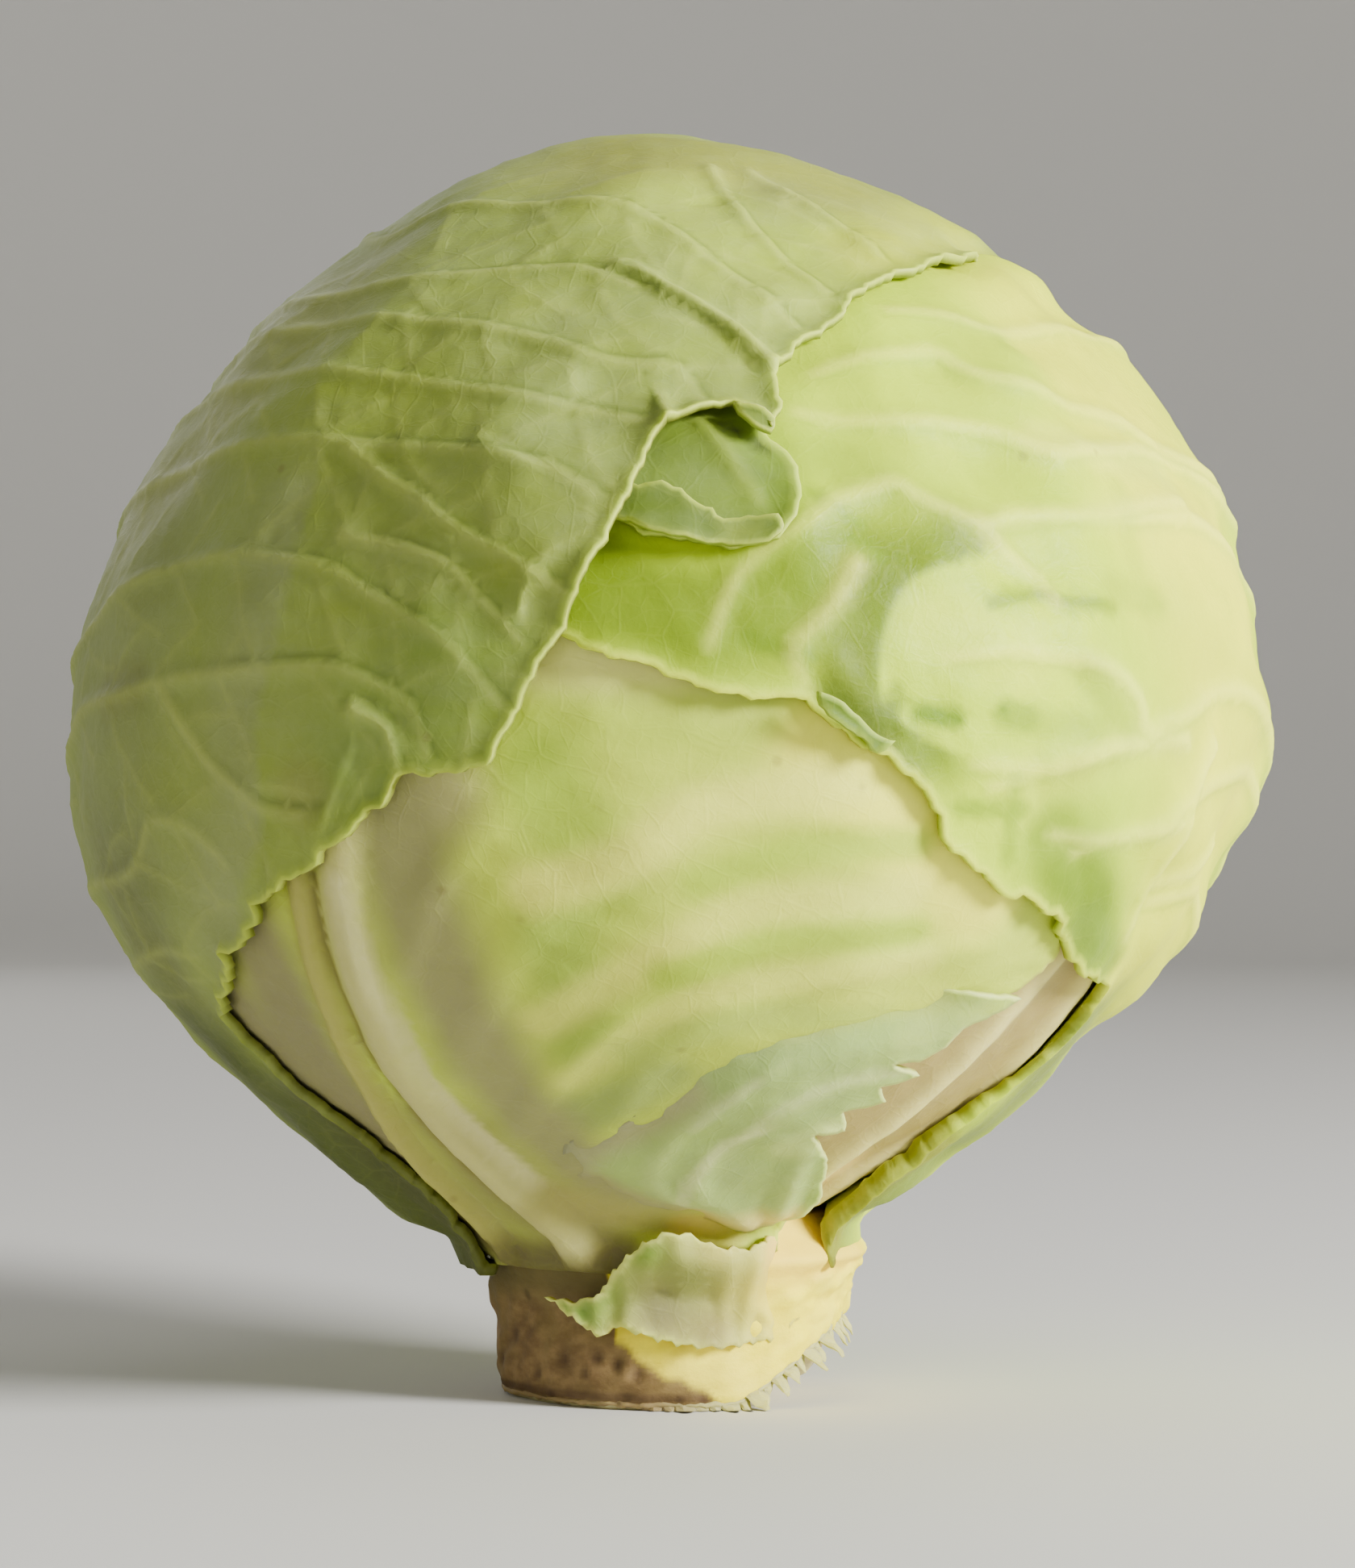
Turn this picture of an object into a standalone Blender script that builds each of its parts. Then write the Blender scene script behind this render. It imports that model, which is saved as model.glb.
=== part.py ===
"""Head of white cabbage standing on its cut stalk.

Metres, +Z up along the head, front towards -Y. The origin is the middle of the flat cut of the stalk.
Points on the head are given as (longitude, latitude) in degrees round the middle of the head:
longitude 0 faces the front, 90 faces +X, latitude 90 is the top.
"""

import math

import bmesh
import bpy
import numpy as np
from mathutils import Vector
from mathutils.geometry import delaunay_2d_cdt

# Driving dimensions, in metres
HEAD_CENTRE = np.array([-0.0018, 0.0, 0.0990])
MEAN_RADIUS = 0.086
LEAF_THICKNESS = 0.0011
LEAF_GAP = 0.0005
BACK_LEAF_DEPTH = 0.0016
HEAD_BOTTOM = 0.0278
STALK_RADIUS = 0.0260
BASE_RADIUS = 0.0275
BASE_RADIUS_LIMIT = 0.0830
LATTICE_STEP = 0.0108
BOUNDARY_STEP = 0.0052
VEIN_STEP = 0.0085
EDGE_LIFT = 0.0007

# Outer surface of the wrapper leaves and of the packed head, in millimetres from the middle of the head
LATITUDES = [-90, -80, -70, -60, -50, -40, -30, -20, -10, 0, 10, 20, 30, 40, 50, 60, 70, 80, 90]
WRAPPER_LEFT = [90.0, 88.5, 85.8, 82.8, 81.2, 82.4, 84.9, 87.6, 89.0, 88.8, 88.0, 86.5, 85.4, 84.9,
                84.9, 85.3, 86.6, 88.8, 89.6]
WRAPPER_RIGHT = [84.0, 82.0, 79.6, 77.8, 76.4, 76.9, 80.2, 83.3, 86.2, 88.6, 89.7, 89.2, 87.8, 86.8,
                 85.9, 85.9, 86.5, 87.9, 89.6]
HEAD_LEFT = [81.0, 81.0, 80.0, 76.8, 75.6, 77.8, 81.2, 84.4, 85.8, 85.6, 84.8, 83.3, 82.2, 81.7, 81.7,
             82.1, 83.4, 85.6, 86.4]
HEAD_RIGHT = [75.0, 74.6, 73.4, 72.4, 73.0, 74.4, 77.0, 80.1, 83.0, 85.4, 86.5, 86.0, 84.6, 83.6, 82.7,
              82.7, 83.3, 84.7, 86.4]

# Leaf outlines: smooth stretches of (longitude, latitude), which meet in corners
LEFT_WRAPPER_OUTLINE = [
    [(68.1, 50.2), (61.5, 51.8), (49.4, 49.9), (39.7, 47.6), (32.6, 46.1), (25.9, 43.3), (20.6, 39.7),
     (16.1, 36.5), (12.3, 33.3), (11.2, 31.1), (10.9, 27.9), (9.9, 25.1)],
    [(9.9, 25.1), (8.9, 26.6), (6.6, 28.2), (3.7, 27.4), (0.3, 26.1)],
    [(0.3, 26.1), (-1.8, 22.0), (-3.5, 18.1), (-5.2, 14.4), (-7.2, 10.4), (-8.9, 7.3), (-10.9, 3.8),
     (-12.7, 0.4), (-15.0, -3.6)],
    [(-15.0, -3.6), (-17.1, -3.9), (-19.7, -4.1), (-23.4, -4.6)],
    [(-23.4, -4.6), (-26.1, -7.6), (-28.4, -9.7)],
    [(-28.4, -9.7), (-32.3, -12.1), (-37.6, -14.6)],
    [(-37.6, -14.6), (-40.4, -16.6), (-43.6, -18.6), (-46.5, -21.2), (-50.0, -23.9), (-57.8, -28.9)],
    [(-57.8, -28.9), (-58.6, -32.2), (-57.6, -35.3)],
    [(-57.6, -35.3), (-58.7, -38.8), (-56.4, -42.6)],
    [(-56.4, -42.6), (-56.6, -47.3), (-56.5, -52.2), (-56.8, -58.4), (-59.0, -65.0), (-63.0, -70.8)],
    [(-63.0, -70.8), (-85.0, -71.2), (-105.0, -71.2), (-130.0, -71.2), (-150.0, -70.6)],
    [(-150.0, -70.6), (-150.0, -60.0), (-155.0, -45.0), (-151.0, -30.0), (-156.0, -12.0), (-151.0, 4.0),
     (-157.0, 22.0), (-163.0, 34.0), (-178.0, 42.0), (166.0, 50.0), (148.0, 47.0), (128.0, 50.0),
     (110.0, 46.0), (92.0, 48.0), (78.0, 47.6), (68.1, 50.2)],
]
RIGHT_WRAPPER_OUTLINE = [
    [(-16.0, 9.0), (-9.3, 7.5), (-6.1, 6.2), (-4.4, 5.3), (-1.6, 4.6), (1.8, 3.6), (3.2, 2.9),
     (5.9, 2.3), (8.7, 1.9), (12.2, 1.9)],
    [(12.2, 1.9), (12.9, 0.7), (15.1, -0.6), (17.3, -2.0), (19.6, -3.0), (22.0, -4.8), (24.9, -8.4),
     (26.9, -11.0), (31.2, -14.1), (33.6, -15.7)],
    [(33.6, -15.7), (38.0, -16.7), (43.0, -18.7)],
    [(43.0, -18.7), (43.9, -20.7), (47.1, -22.6), (52.4, -25.1), (60.0, -26.9)],
    [(60.0, -26.9), (61.0, -29.5), (63.0, -35.2), (61.0, -43.5), (59.0, -49.4), (57.0, -54.5),
     (54.0, -60.0), (53.0, -69.0)],
    [(53.0, -69.0), (75.0, -69.4), (100.0, -69.4), (125.0, -69.4), (148.0, -69.2)],
    [(148.0, -69.2), (150.0, -55.0), (146.0, -38.0), (151.0, -20.0), (147.0, 0.0), (152.0, 20.0),
     (150.0, 40.0), (146.0, 56.0), (120.0, 62.0), (80.0, 62.0), (50.0, 60.0), (28.0, 56.0),
     (12.0, 48.0), (-1.0, 40.0), (-10.0, 31.0), (-15.0, 20.0), (-16.0, 9.0)],
]
BACK_WRAPPER_OUTLINE = [
    [(138.0, -69.0), (160.0, -69.6), (180.0, -69.8), (200.0, -69.8), (222.0, -69.4)],
    [(222.0, -69.4), (221.0, -30.0), (220.0, 0.0), (214.0, 30.0), (205.0, 50.0), (180.0, 60.0),
     (152.0, 58.0), (140.0, 40.0), (137.0, 20.0), (136.0, 0.0), (135.0, -35.0), (138.0, -69.0)],
]
FRONT_LEAF_OUTLINE = [
    [(45.7, -20.8), (46.4, -23.7), (43.8, -26.4), (36.9, -30.8), (30.0, -36.0), (25.0, -43.0),
     (24.0, -50.0), (29.0, -58.0), (34.0, -64.0), (35.0, -69.4)],
    [(35.0, -69.4), (10.0, -69.4), (-15.0, -70.4), (-40.0, -70.9), (-62.0, -70.6)],
    [(-62.0, -70.6), (-72.0, -62.0), (-79.0, -48.0), (-80.0, -32.0), (-72.0, -15.0), (-58.0, -1.0),
     (-40.0, 9.0), (-25.0, 15.0), (-10.0, 18.0), (8.0, 14.0), (22.0, 9.0), (36.0, 0.0), (45.0, -9.0),
     (48.0, -15.0), (45.7, -20.8)],
]
TUCKED_LEAF_OUTLINE = [
    [(9.0, 28.5), (9.9, 25.1), (11.5, 23.6), (12.2, 21.6), (12.5, 19.5), (11.3, 17.3), (10.0, 15.5)],
    [(10.0, 15.5), (5.8, 15.0), (1.9, 15.4), (-1.7, 16.3), (-3.9, 17.5), (-10.0, 18.5)],
    [(-10.0, 18.5), (-11.0, 24.0), (-7.0, 30.0), (0.0, 33.0), (6.0, 32.2), (9.0, 28.5)],
]
TORN_LEAF_OUTLINE = [
    [(-16.5, -49.7), (-10.5, -47.4), (-4.0, -44.3), (0.6, -40.1), (4.6, -36.0), (8.2, -33.6),
     (12.7, -31.4), (17.1, -29.9), (21.6, -28.8), (30.2, -27.3), (35.5, -26.7), (42.9, -27.5)],
    [(42.9, -27.5), (37.5, -30.8), (34.5, -34.5), (29.2, -35.8)],
    [(29.2, -35.8), (34.6, -37.9)],
    [(34.6, -37.9), (29.4, -39.4)],
    [(29.4, -39.4), (32.4, -42.3)],
    [(32.4, -42.3), (25.9, -43.3)],
    [(25.9, -43.3), (28.5, -46.9)],
    [(28.5, -46.9), (23.4, -47.2), (26.9, -50.3), (31.8, -55.7), (36.0, -61.0), (35.0, -64.5),
     (30.0, -66.6)],
    [(30.0, -66.6), (18.0, -66.4), (5.7, -65.8), (-5.0, -64.5), (-12.3, -61.5), (-16.5, -57.0),
     (-18.0, -53.0), (-16.5, -49.7)],
]

# Raised lines: (path, height, half width) in millimetres, higher at the first point than at the last
LEFT_WRAPPER_RIDGES = [
    ([(-104.0, -71.0), (-112.0, -50.0), (-116.0, -20.0), (-117.0, 10.0), (-116.0, 40.0), (-112.0, 62.0),
      (-85.0, 76.0)], 1.5, 4.5),
    ([(-112.0, 60.0), (-80.0, 58.5), (-62.1, 57.4), (-46.4, 60.2), (-30.0, 60.3), (-16.0, 59.6),
      (-6.4, 57.9), (0.7, 53.8), (6.3, 48.5), (10.9, 43.8), (15.3, 38.7)], 0.8, 2.2),
    ([(-116.0, 44.0), (-85.0, 44.0), (-56.4, 46.1), (-42.8, 47.3), (-31.5, 47.9), (-19.0, 48.4),
      (-11.6, 47.6), (-3.5, 43.9)], 0.8, 2.2),
    ([(-2.6, 45.9), (0.6, 43.2), (4.4, 40.6), (7.9, 37.2), (10.9, 33.2)], 1.1, 2.4),
    ([(-117.0, 34.0), (-90.0, 37.0), (-63.1, 40.7), (-49.8, 41.8), (-34.6, 41.4), (-26.8, 40.3),
      (-19.7, 38.8), (-13.3, 36.9), (-7.4, 34.1), (-2.1, 33.1), (1.4, 32.7), (3.7, 28.6)], 0.8, 2.2),
    ([(-117.0, 22.0), (-95.0, 28.0), (-78.3, 32.3), (-59.0, 34.4), (-46.0, 35.3), (-36.2, 34.5),
      (-30.1, 33.6), (-23.5, 32.2), (-17.5, 30.8), (-11.9, 29.3), (-6.8, 28.0),
      (-0.9, 25.8)], 0.8, 2.2),
    ([(-117.0, 12.0), (-95.0, 19.0), (-76.7, 22.8), (-59.7, 25.7), (-50.4, 26.8), (-37.6, 26.9),
      (-31.0, 26.2), (-25.0, 25.4), (-19.5, 24.3), (-14.3, 22.9), (-9.3, 21.1),
      (-4.2, 17.4)], 0.8, 2.2),
    ([(-34.0, 26.2), (-28.3, 22.7), (-23.6, 20.1), (-18.0, 16.2), (-13.2, 13.6),
      (-7.8, 10.2)], 0.8, 2.0),
    ([(-117.0, -4.0), (-95.0, 3.0), (-72.1, 9.3), (-56.2, 14.2), (-44.5, 15.3), (-32.7, 14.0),
      (-28.8, 12.2), (-23.4, 9.4), (-18.6, 6.5), (-13.9, 1.4)], 0.9, 2.2),
    ([(-31.2, 16.9), (-26.1, 15.9), (-21.7, 14.6), (-18.8, 13.2), (-15.9, 10.5),
      (-12.1, 6.8)], 0.6, 1.8),
    ([(-116.0, -14.0), (-95.0, -6.0), (-72.1, 1.3), (-59.8, 2.8), (-52.1, 3.9), (-40.5, 4.7),
      (-31.2, 5.0), (-27.8, 4.2), (-24.6, 2.9), (-22.1, 1.1), (-20.6, -3.0)], 0.9, 2.2),
    ([(-27.7, 1.2), (-24.9, 0.0), (-24.0, -1.6), (-23.5, -4.1)], 1.3, 2.0),
    ([(-52.1, 3.6), (-47.9, -0.1), (-44.5, -3.3), (-41.5, -5.2), (-37.9, -7.4),
      (-33.3, -7.9)], 0.6, 2.0),
    ([(-114.0, -30.0), (-95.0, -20.0), (-78.0, -15.3), (-60.9, -13.5), (-55.1, -9.1), (-50.7, -8.6),
      (-46.3, -10.2), (-43.8, -12.8)], 0.8, 2.2),
    ([(-111.0, -46.0), (-95.0, -34.0), (-80.0, -25.0), (-62.2, -21.5), (-53.6, -21.7)], 0.7, 2.2),
    ([(11.2, 67.6), (12.6, 61.8), (13.7, 55.8), (16.3, 50.7), (19.0, 45.5), (21.1, 41.2)], 0.7, 2.0),
    ([(21.5, 67.3), (27.1, 60.9), (29.9, 54.9), (31.8, 48.6)], 0.7, 2.0),
]
LEFT_WRAPPER_BACK_RIDGES = [(-48.0, -142.0, -62.0), (-32.0, -143.0, -46.0), (-14.0, -144.0, -26.0),
                            (4.0, -144.0, -6.0), (22.0, -145.0, 14.0), (40.0, -152.0, 30.0)]
RIGHT_WRAPPER_RIDGES = [
    ([(104.0, -69.0), (110.0, -50.0), (112.0, -20.0), (111.0, 10.0), (106.0, 40.0),
      (92.0, 58.0)], 1.5, 4.5),
    ([(107.0, 38.0), (92.0, 38.5), (80.3, 38.3), (63.6, 40.9), (50.7, 40.7), (41.8, 39.4), (35.1, 40.8),
      (28.3, 41.3)], 0.7, 2.3),
    ([(109.0, 22.0), (85.0, 22.5), (63.9, 26.5), (55.2, 30.3), (45.5, 31.1), (38.8, 32.2), (34.8, 33.9),
      (32.2, 36.3), (26.7, 35.7), (21.4, 34.9), (16.4, 33.5)], 0.8, 2.5),
    ([(111.0, 14.0), (95.0, 18.0), (76.0, 22.0), (59.3, 26.2), (47.7, 25.6), (42.3, 24.6), (39.2, 25.2),
      (34.9, 27.0), (29.3, 27.8), (23.0, 28.0), (17.8, 28.2), (13.4, 28.8)], 0.9, 2.5),
    ([(111.0, 4.0), (92.0, 10.0), (73.6, 16.1), (60.6, 18.7), (50.0, 19.0), (43.6, 18.4), (38.4, 18.6),
      (33.5, 18.4), (30.1, 17.6), (24.3, 19.8), (22.1, 21.3), (19.6, 20.8), (15.4, 19.3), (12.1, 16.9),
      (9.1, 15.0), (6.1, 12.0), (3.9, 6.5)], 0.8, 2.4),
    ([(30.1, 17.6), (32.2, 15.4), (35.3, 13.2), (37.1, 10.5)], 0.7, 2.2),
    ([(17.0, 13.7), (14.5, 9.7), (11.5, 6.9), (11.2, 5.2), (12.3, 3.0)], 0.9, 2.2),
    ([(19.3, 0.2), (19.6, 2.3), (20.8, 5.2), (23.3, 7.7), (26.6, 9.3), (30.8, 9.8),
      (35.9, 8.8)], 1.3, 2.6),
    ([(35.5, 11.8), (37.0, 9.9), (40.3, 9.2), (44.6, 9.8), (49.4, 10.4), (53.1, 11.7)], 1.2, 2.6),
    ([(111.0, -16.0), (90.0, -6.0), (68.2, 3.1), (52.0, 0.3), (47.9, -1.7), (41.9, -2.6), (36.2, -3.9),
      (30.2, -5.5)], 0.8, 2.5),
    ([(111.0, -26.0), (92.0, -14.0), (74.8, -4.4), (57.4, -6.7), (52.7, -9.6), (45.4, -10.6),
      (41.4, -11.9)], 0.7, 2.4),
    ([(60.5, -1.8), (57.9, -5.9), (57.4, -10.6), (57.0, -15.4), (57.1, -20.7)], 0.8, 2.6),
    ([(110.0, -44.0), (90.0, -30.0), (72.2, -16.8), (59.4, -17.4)], 0.7, 2.4),
]
RIGHT_WRAPPER_BACK_RIDGES = [(-50.0, 140.0, -60.0), (-34.0, 140.0, -44.0), (-16.0, 140.0, -26.0),
                             (2.0, 141.0, -6.0), (20.0, 141.0, 14.0), (36.0, 141.0, 34.0)]
BACK_WRAPPER_RIDGES = [
    ([(179.0, -70.0), (181.0, -40.0), (179.0, -10.0), (181.0, 15.0), (179.0, 36.0)], 1.6, 4.5),
]
BACK_WRAPPER_LATERALS = [-52.0, -34.0, -16.0, 2.0, 20.0]
FRONT_LEAF_RIDGES = [
    ([(-50.0, -70.6), (-50.6, -65.0), (-50.2, -58.0), (-48.4, -50.0), (-44.7, -42.6), (-40.6, -33.0),
      (-38.5, -26.2), (-37.1, -19.8), (-36.2, -13.0), (-36.0, -4.0)], 2.2, 2.3),
    ([(-24.0, -70.4), (-26.5, -65.0), (-30.5, -59.0), (-33.8, -52.0), (-34.8, -45.7), (-34.3, -36.1),
      (-33.1, -28.1), (-32.3, -21.4), (-31.7, -15.6), (-30.0, -6.0)], 2.8, 4.2),
    ([(-27.9, -37.3), (-19.4, -27.0), (-12.7, -18.8), (-4.7, -13.3), (4.0, -8.2), (12.8, -7.5),
      (20.4, -7.8)], 0.7, 4.0),
    ([(-25.0, -48.4), (-9.9, -33.5), (-0.3, -25.1), (10.1, -20.9), (18.0, -18.7),
      (24.0, -18.3)], 0.8, 3.6),
    ([(-17.5, -55.0), (-2.4, -37.3), (6.8, -29.3), (16.8, -25.0), (25.4, -22.9),
      (36.1, -21.9)], 0.6, 3.2),
    ([(-27.3, -23.2), (-21.7, -14.8), (-16.2, -8.8), (-10.1, -3.8), (-4.4, 1.1)], 0.6, 3.4),
]
TUCKED_LEAF_RIDGES = [
    ([(3.5, 27.0), (6.0, 23.0), (8.5, 19.0)], 0.5, 1.8),
]
TORN_LEAF_RIDGES = [
    ([(14.0, -65.0), (4.0, -60.5), (4.1, -55.5), (6.7, -51.0), (12.0, -46.8), (19.4, -41.5),
      (29.0, -37.6)], 1.0, 2.2),
    ([(0.5, -58.0), (4.3, -47.0), (8.3, -41.0), (14.0, -36.0)], 0.6, 2.0),
    ([(26.0, -63.0), (22.0, -57.0), (20.0, -51.0)], 1.5, 4.0),
]
HEAD_RIDGES = [
    ([(52.0, -68.0), (55.0, -61.0), (61.0, -54.0), (64.0, -47.0), (62.0, -37.0), (60.0, -27.0),
      (59.0, -21.0)], 1.6, 3.6),
    ([(38.0, -68.0), (39.0, -58.0), (43.2, -49.2), (45.2, -41.7), (46.6, -33.1), (48.4, -26.0),
      (50.0, -21.0)], 1.6, 4.4),
]

# Stalk, in millimetres: ring profile as (radius, height), and gentle swellings as (longitude, height,
# width, rise)
STALK_RINGS = [(0.0, 0.0), (9.0, 0.0), (16.5, 0.0), (21.5, 0.0), (24.2, 0.0), (25.4, 1.6), (25.9, 4.5),
               (25.8, 8.0), (25.6, 12.0), (25.9, 16.0), (26.2, 19.5), (25.8, 23.0), (24.6, 26.0),
               (23.4, 27.5), (16.0, 27.5), (8.0, 27.5), (0.0, 27.5)]
STALK_SEGMENTS = 44
STALK_SWELLINGS = [(-80.0, 5.0, 9.0, 1.3), (88.0, 17.5, 6.0, 0.9), (160.0, 9.0, 8.0, 1.0),
                   (-150.0, 14.0, 7.0, 0.8), (-35.0, 8.0, 7.0, 0.6), (120.0, 8.0, 6.0, -0.8),
                   (-115.0, 12.0, 5.0, -0.8), (30.0, 6.0, 7.0, -0.5)]
STALK_BREAK_START = 0.0080
STALK_BREAK_HEIGHT = 0.0125
STALK_BREAK_BACK = 0.0060

# Small leaf base on the stalk: outline as (longitude, height in millimetres)
STALK_LEAF_OUTLINE = [
    [(-40.0, 16.4), (-31.0, 15.9), (-22.0, 17.4)],
    [(-22.0, 17.4), (-19.0, 19.6), (-13.0, 23.0), (-8.0, 25.2), (-3.0, 26.6), (3.0, 26.4), (9.0, 24.8),
     (18.0, 24.2), (27.0, 25.4), (34.0, 24.0)],
    [(34.0, 24.0), (42.0, 19.5), (46.0, 14.5), (36.0, 10.6), (24.0, 9.8), (8.0, 9.6), (-6.0, 10.8),
     (-17.0, 12.6)],
    [(-17.0, 12.6), (-24.0, 10.9)],
    [(-24.0, 10.9), (-30.0, 13.2), (-40.0, 16.4)],
]

COLOURS = {
    "stalk": (0.34, 0.24, 0.10),
    "head": (0.62, 0.58, 0.34),
    "front_leaf": (0.46, 0.50, 0.22),
    "right_wrapper_leaf": (0.50, 0.60, 0.20),
    "back_wrapper_leaf": (0.30, 0.38, 0.14),
    "tucked_leaf": (0.26, 0.34, 0.10),
    "left_wrapper_leaf": (0.28, 0.36, 0.13),
    "torn_leaf": (0.34, 0.42, 0.20),
    "stalk_leaf": (0.42, 0.50, 0.18),
}


def smooth_curve(x, xs, ys):
    """Value at x of the smooth curve through the points (xs, ys)."""
    xs = np.asarray(xs, float)
    ys = np.asarray(ys, float)
    x = np.clip(x, xs[0], xs[-1])
    i = np.clip(np.searchsorted(xs, x, side="right") - 1, 0, len(xs) - 2)
    t = (x - xs[i]) / (xs[i + 1] - xs[i])
    before = ys[np.maximum(i - 1, 0)]
    start = ys[i]
    end = ys[i + 1]
    after = ys[np.minimum(i + 2, len(xs) - 1)]
    cubic = 3 * start - before - 3 * end + after
    square = 2 * before - 5 * start + 4 * end - after
    return 0.5 * (2 * start + (end - before) * t + square * t ** 2 + cubic * t ** 3)


def smooth_step(x):
    x = np.clip(x, 0.0, 1.0)
    return x * x * (3 - 2 * x)


def directions(lon, lat):
    """Unit vectors of the given longitudes and latitudes in degrees."""
    lon = np.radians(np.asarray(lon, float))
    lat = np.radians(np.asarray(lat, float))
    return np.stack([np.cos(lat) * np.sin(lon), -np.cos(lat) * np.cos(lon), np.sin(lat)], axis=-1)


def angles(dirs):
    lat = np.degrees(np.arcsin(np.clip(dirs[:, 2], -1, 1)))
    lon = np.degrees(np.arctan2(dirs[:, 0], -dirs[:, 1]))
    return lon, lat


def unit(vectors):
    return vectors / np.linalg.norm(vectors, axis=-1, keepdims=True)


def blended_radius(dirs, left, right):
    """Radius of the shape that has one outline on its left and another on its right."""
    lon, lat = angles(dirs)
    share = 0.5 + 0.5 * np.sin(np.radians(lon)) * np.clip(np.cos(np.radians(lat)) * 4, 0, 1)
    radius = smooth_curve(lat, LATITUDES, left) * (1 - share) + smooth_curve(lat, LATITUDES, right) * share
    return radius * 0.001


def base_growth(dirs):
    """Leaf bases grow thicker, and lie further apart, towards the stalk."""
    return 1 + 1.4 * smooth_step((-dirs[:, 2] - 0.913) / 0.030)


def smooth_path(points, step):
    """Unit vectors along the smooth line through the given (longitude, latitude) points."""
    lonlat = np.asarray(points, float)
    knots = directions(lonlat[:, 0], lonlat[:, 1])
    gaps = np.linalg.norm(np.diff(knots, axis=0), axis=1)
    along = np.concatenate([[0.0], np.cumsum(gaps)])
    count = max(int(round(along[-1] * MEAN_RADIUS / step)), 1)
    t = np.linspace(0.0, along[-1], count + 1)
    line = np.stack([smooth_curve(t, along, knots[:, k]) for k in range(3)], axis=1)
    return unit(line)


def outline_loop(stretches, step):
    """Closed loop of unit vectors made of the outline's stretches."""
    parts = [smooth_path(stretch, step)[:-1] for stretch in stretches]
    return np.concatenate(parts)


def distance_to_line(dirs, line):
    """Distance in metres from each direction to a line, and the place along the line from 0 to 1."""
    starts = line[:-1]
    spans = line[1:] - line[:-1]
    lengths = np.maximum((spans ** 2).sum(axis=1), 1e-12)
    best = np.full(len(dirs), 9.0)
    place = np.zeros(len(dirs))
    for k in range(len(starts)):
        offset = dirs - starts[k]
        t = np.clip(offset @ spans[k] / lengths[k], 0.0, 1.0)
        gap = np.linalg.norm(offset - t[:, None] * spans[k], axis=1)
        closer = gap < best
        best = np.where(closer, gap, best)
        place = np.where(closer, (k + t) / len(starts), place)
    return best * MEAN_RADIUS, place


def chart_axes(centre):
    """Middle, east and north directions of the flat chart round a point of the head."""
    middle = directions([centre[0]], [centre[1]])[0]
    east = unit(np.cross((0.0, 0.0, 1.0), middle))
    return middle, east, np.cross(middle, east)


def to_chart(dirs, axes):
    middle, east, north = axes
    scale = 2.0 / np.maximum(1.0 + dirs @ middle, 1e-4)
    return np.stack([dirs @ east * scale, dirs @ north * scale], axis=1)


def from_chart(points, axes):
    middle, east, north = axes
    square = (points ** 2).sum(axis=1, keepdims=True) / 4
    return (points[:, :1] * east + points[:, 1:] * north + (1 - square) * middle) / (1 + square)


def inside_loop(points, loop):
    """Which chart points lie inside a closed chart loop."""
    inside = np.zeros(len(points), bool)
    following = np.roll(loop, -1, axis=0)
    for (x0, y0), (x1, y1) in zip(loop, following):
        if y0 == y1:
            continue
        crosses = (points[:, 1] < y0) != (points[:, 1] < y1)
        meet = x0 + (points[:, 1] - y0) * (x1 - x0) / (y1 - y0)
        inside ^= crosses & (points[:, 0] < meet)
    return inside


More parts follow.
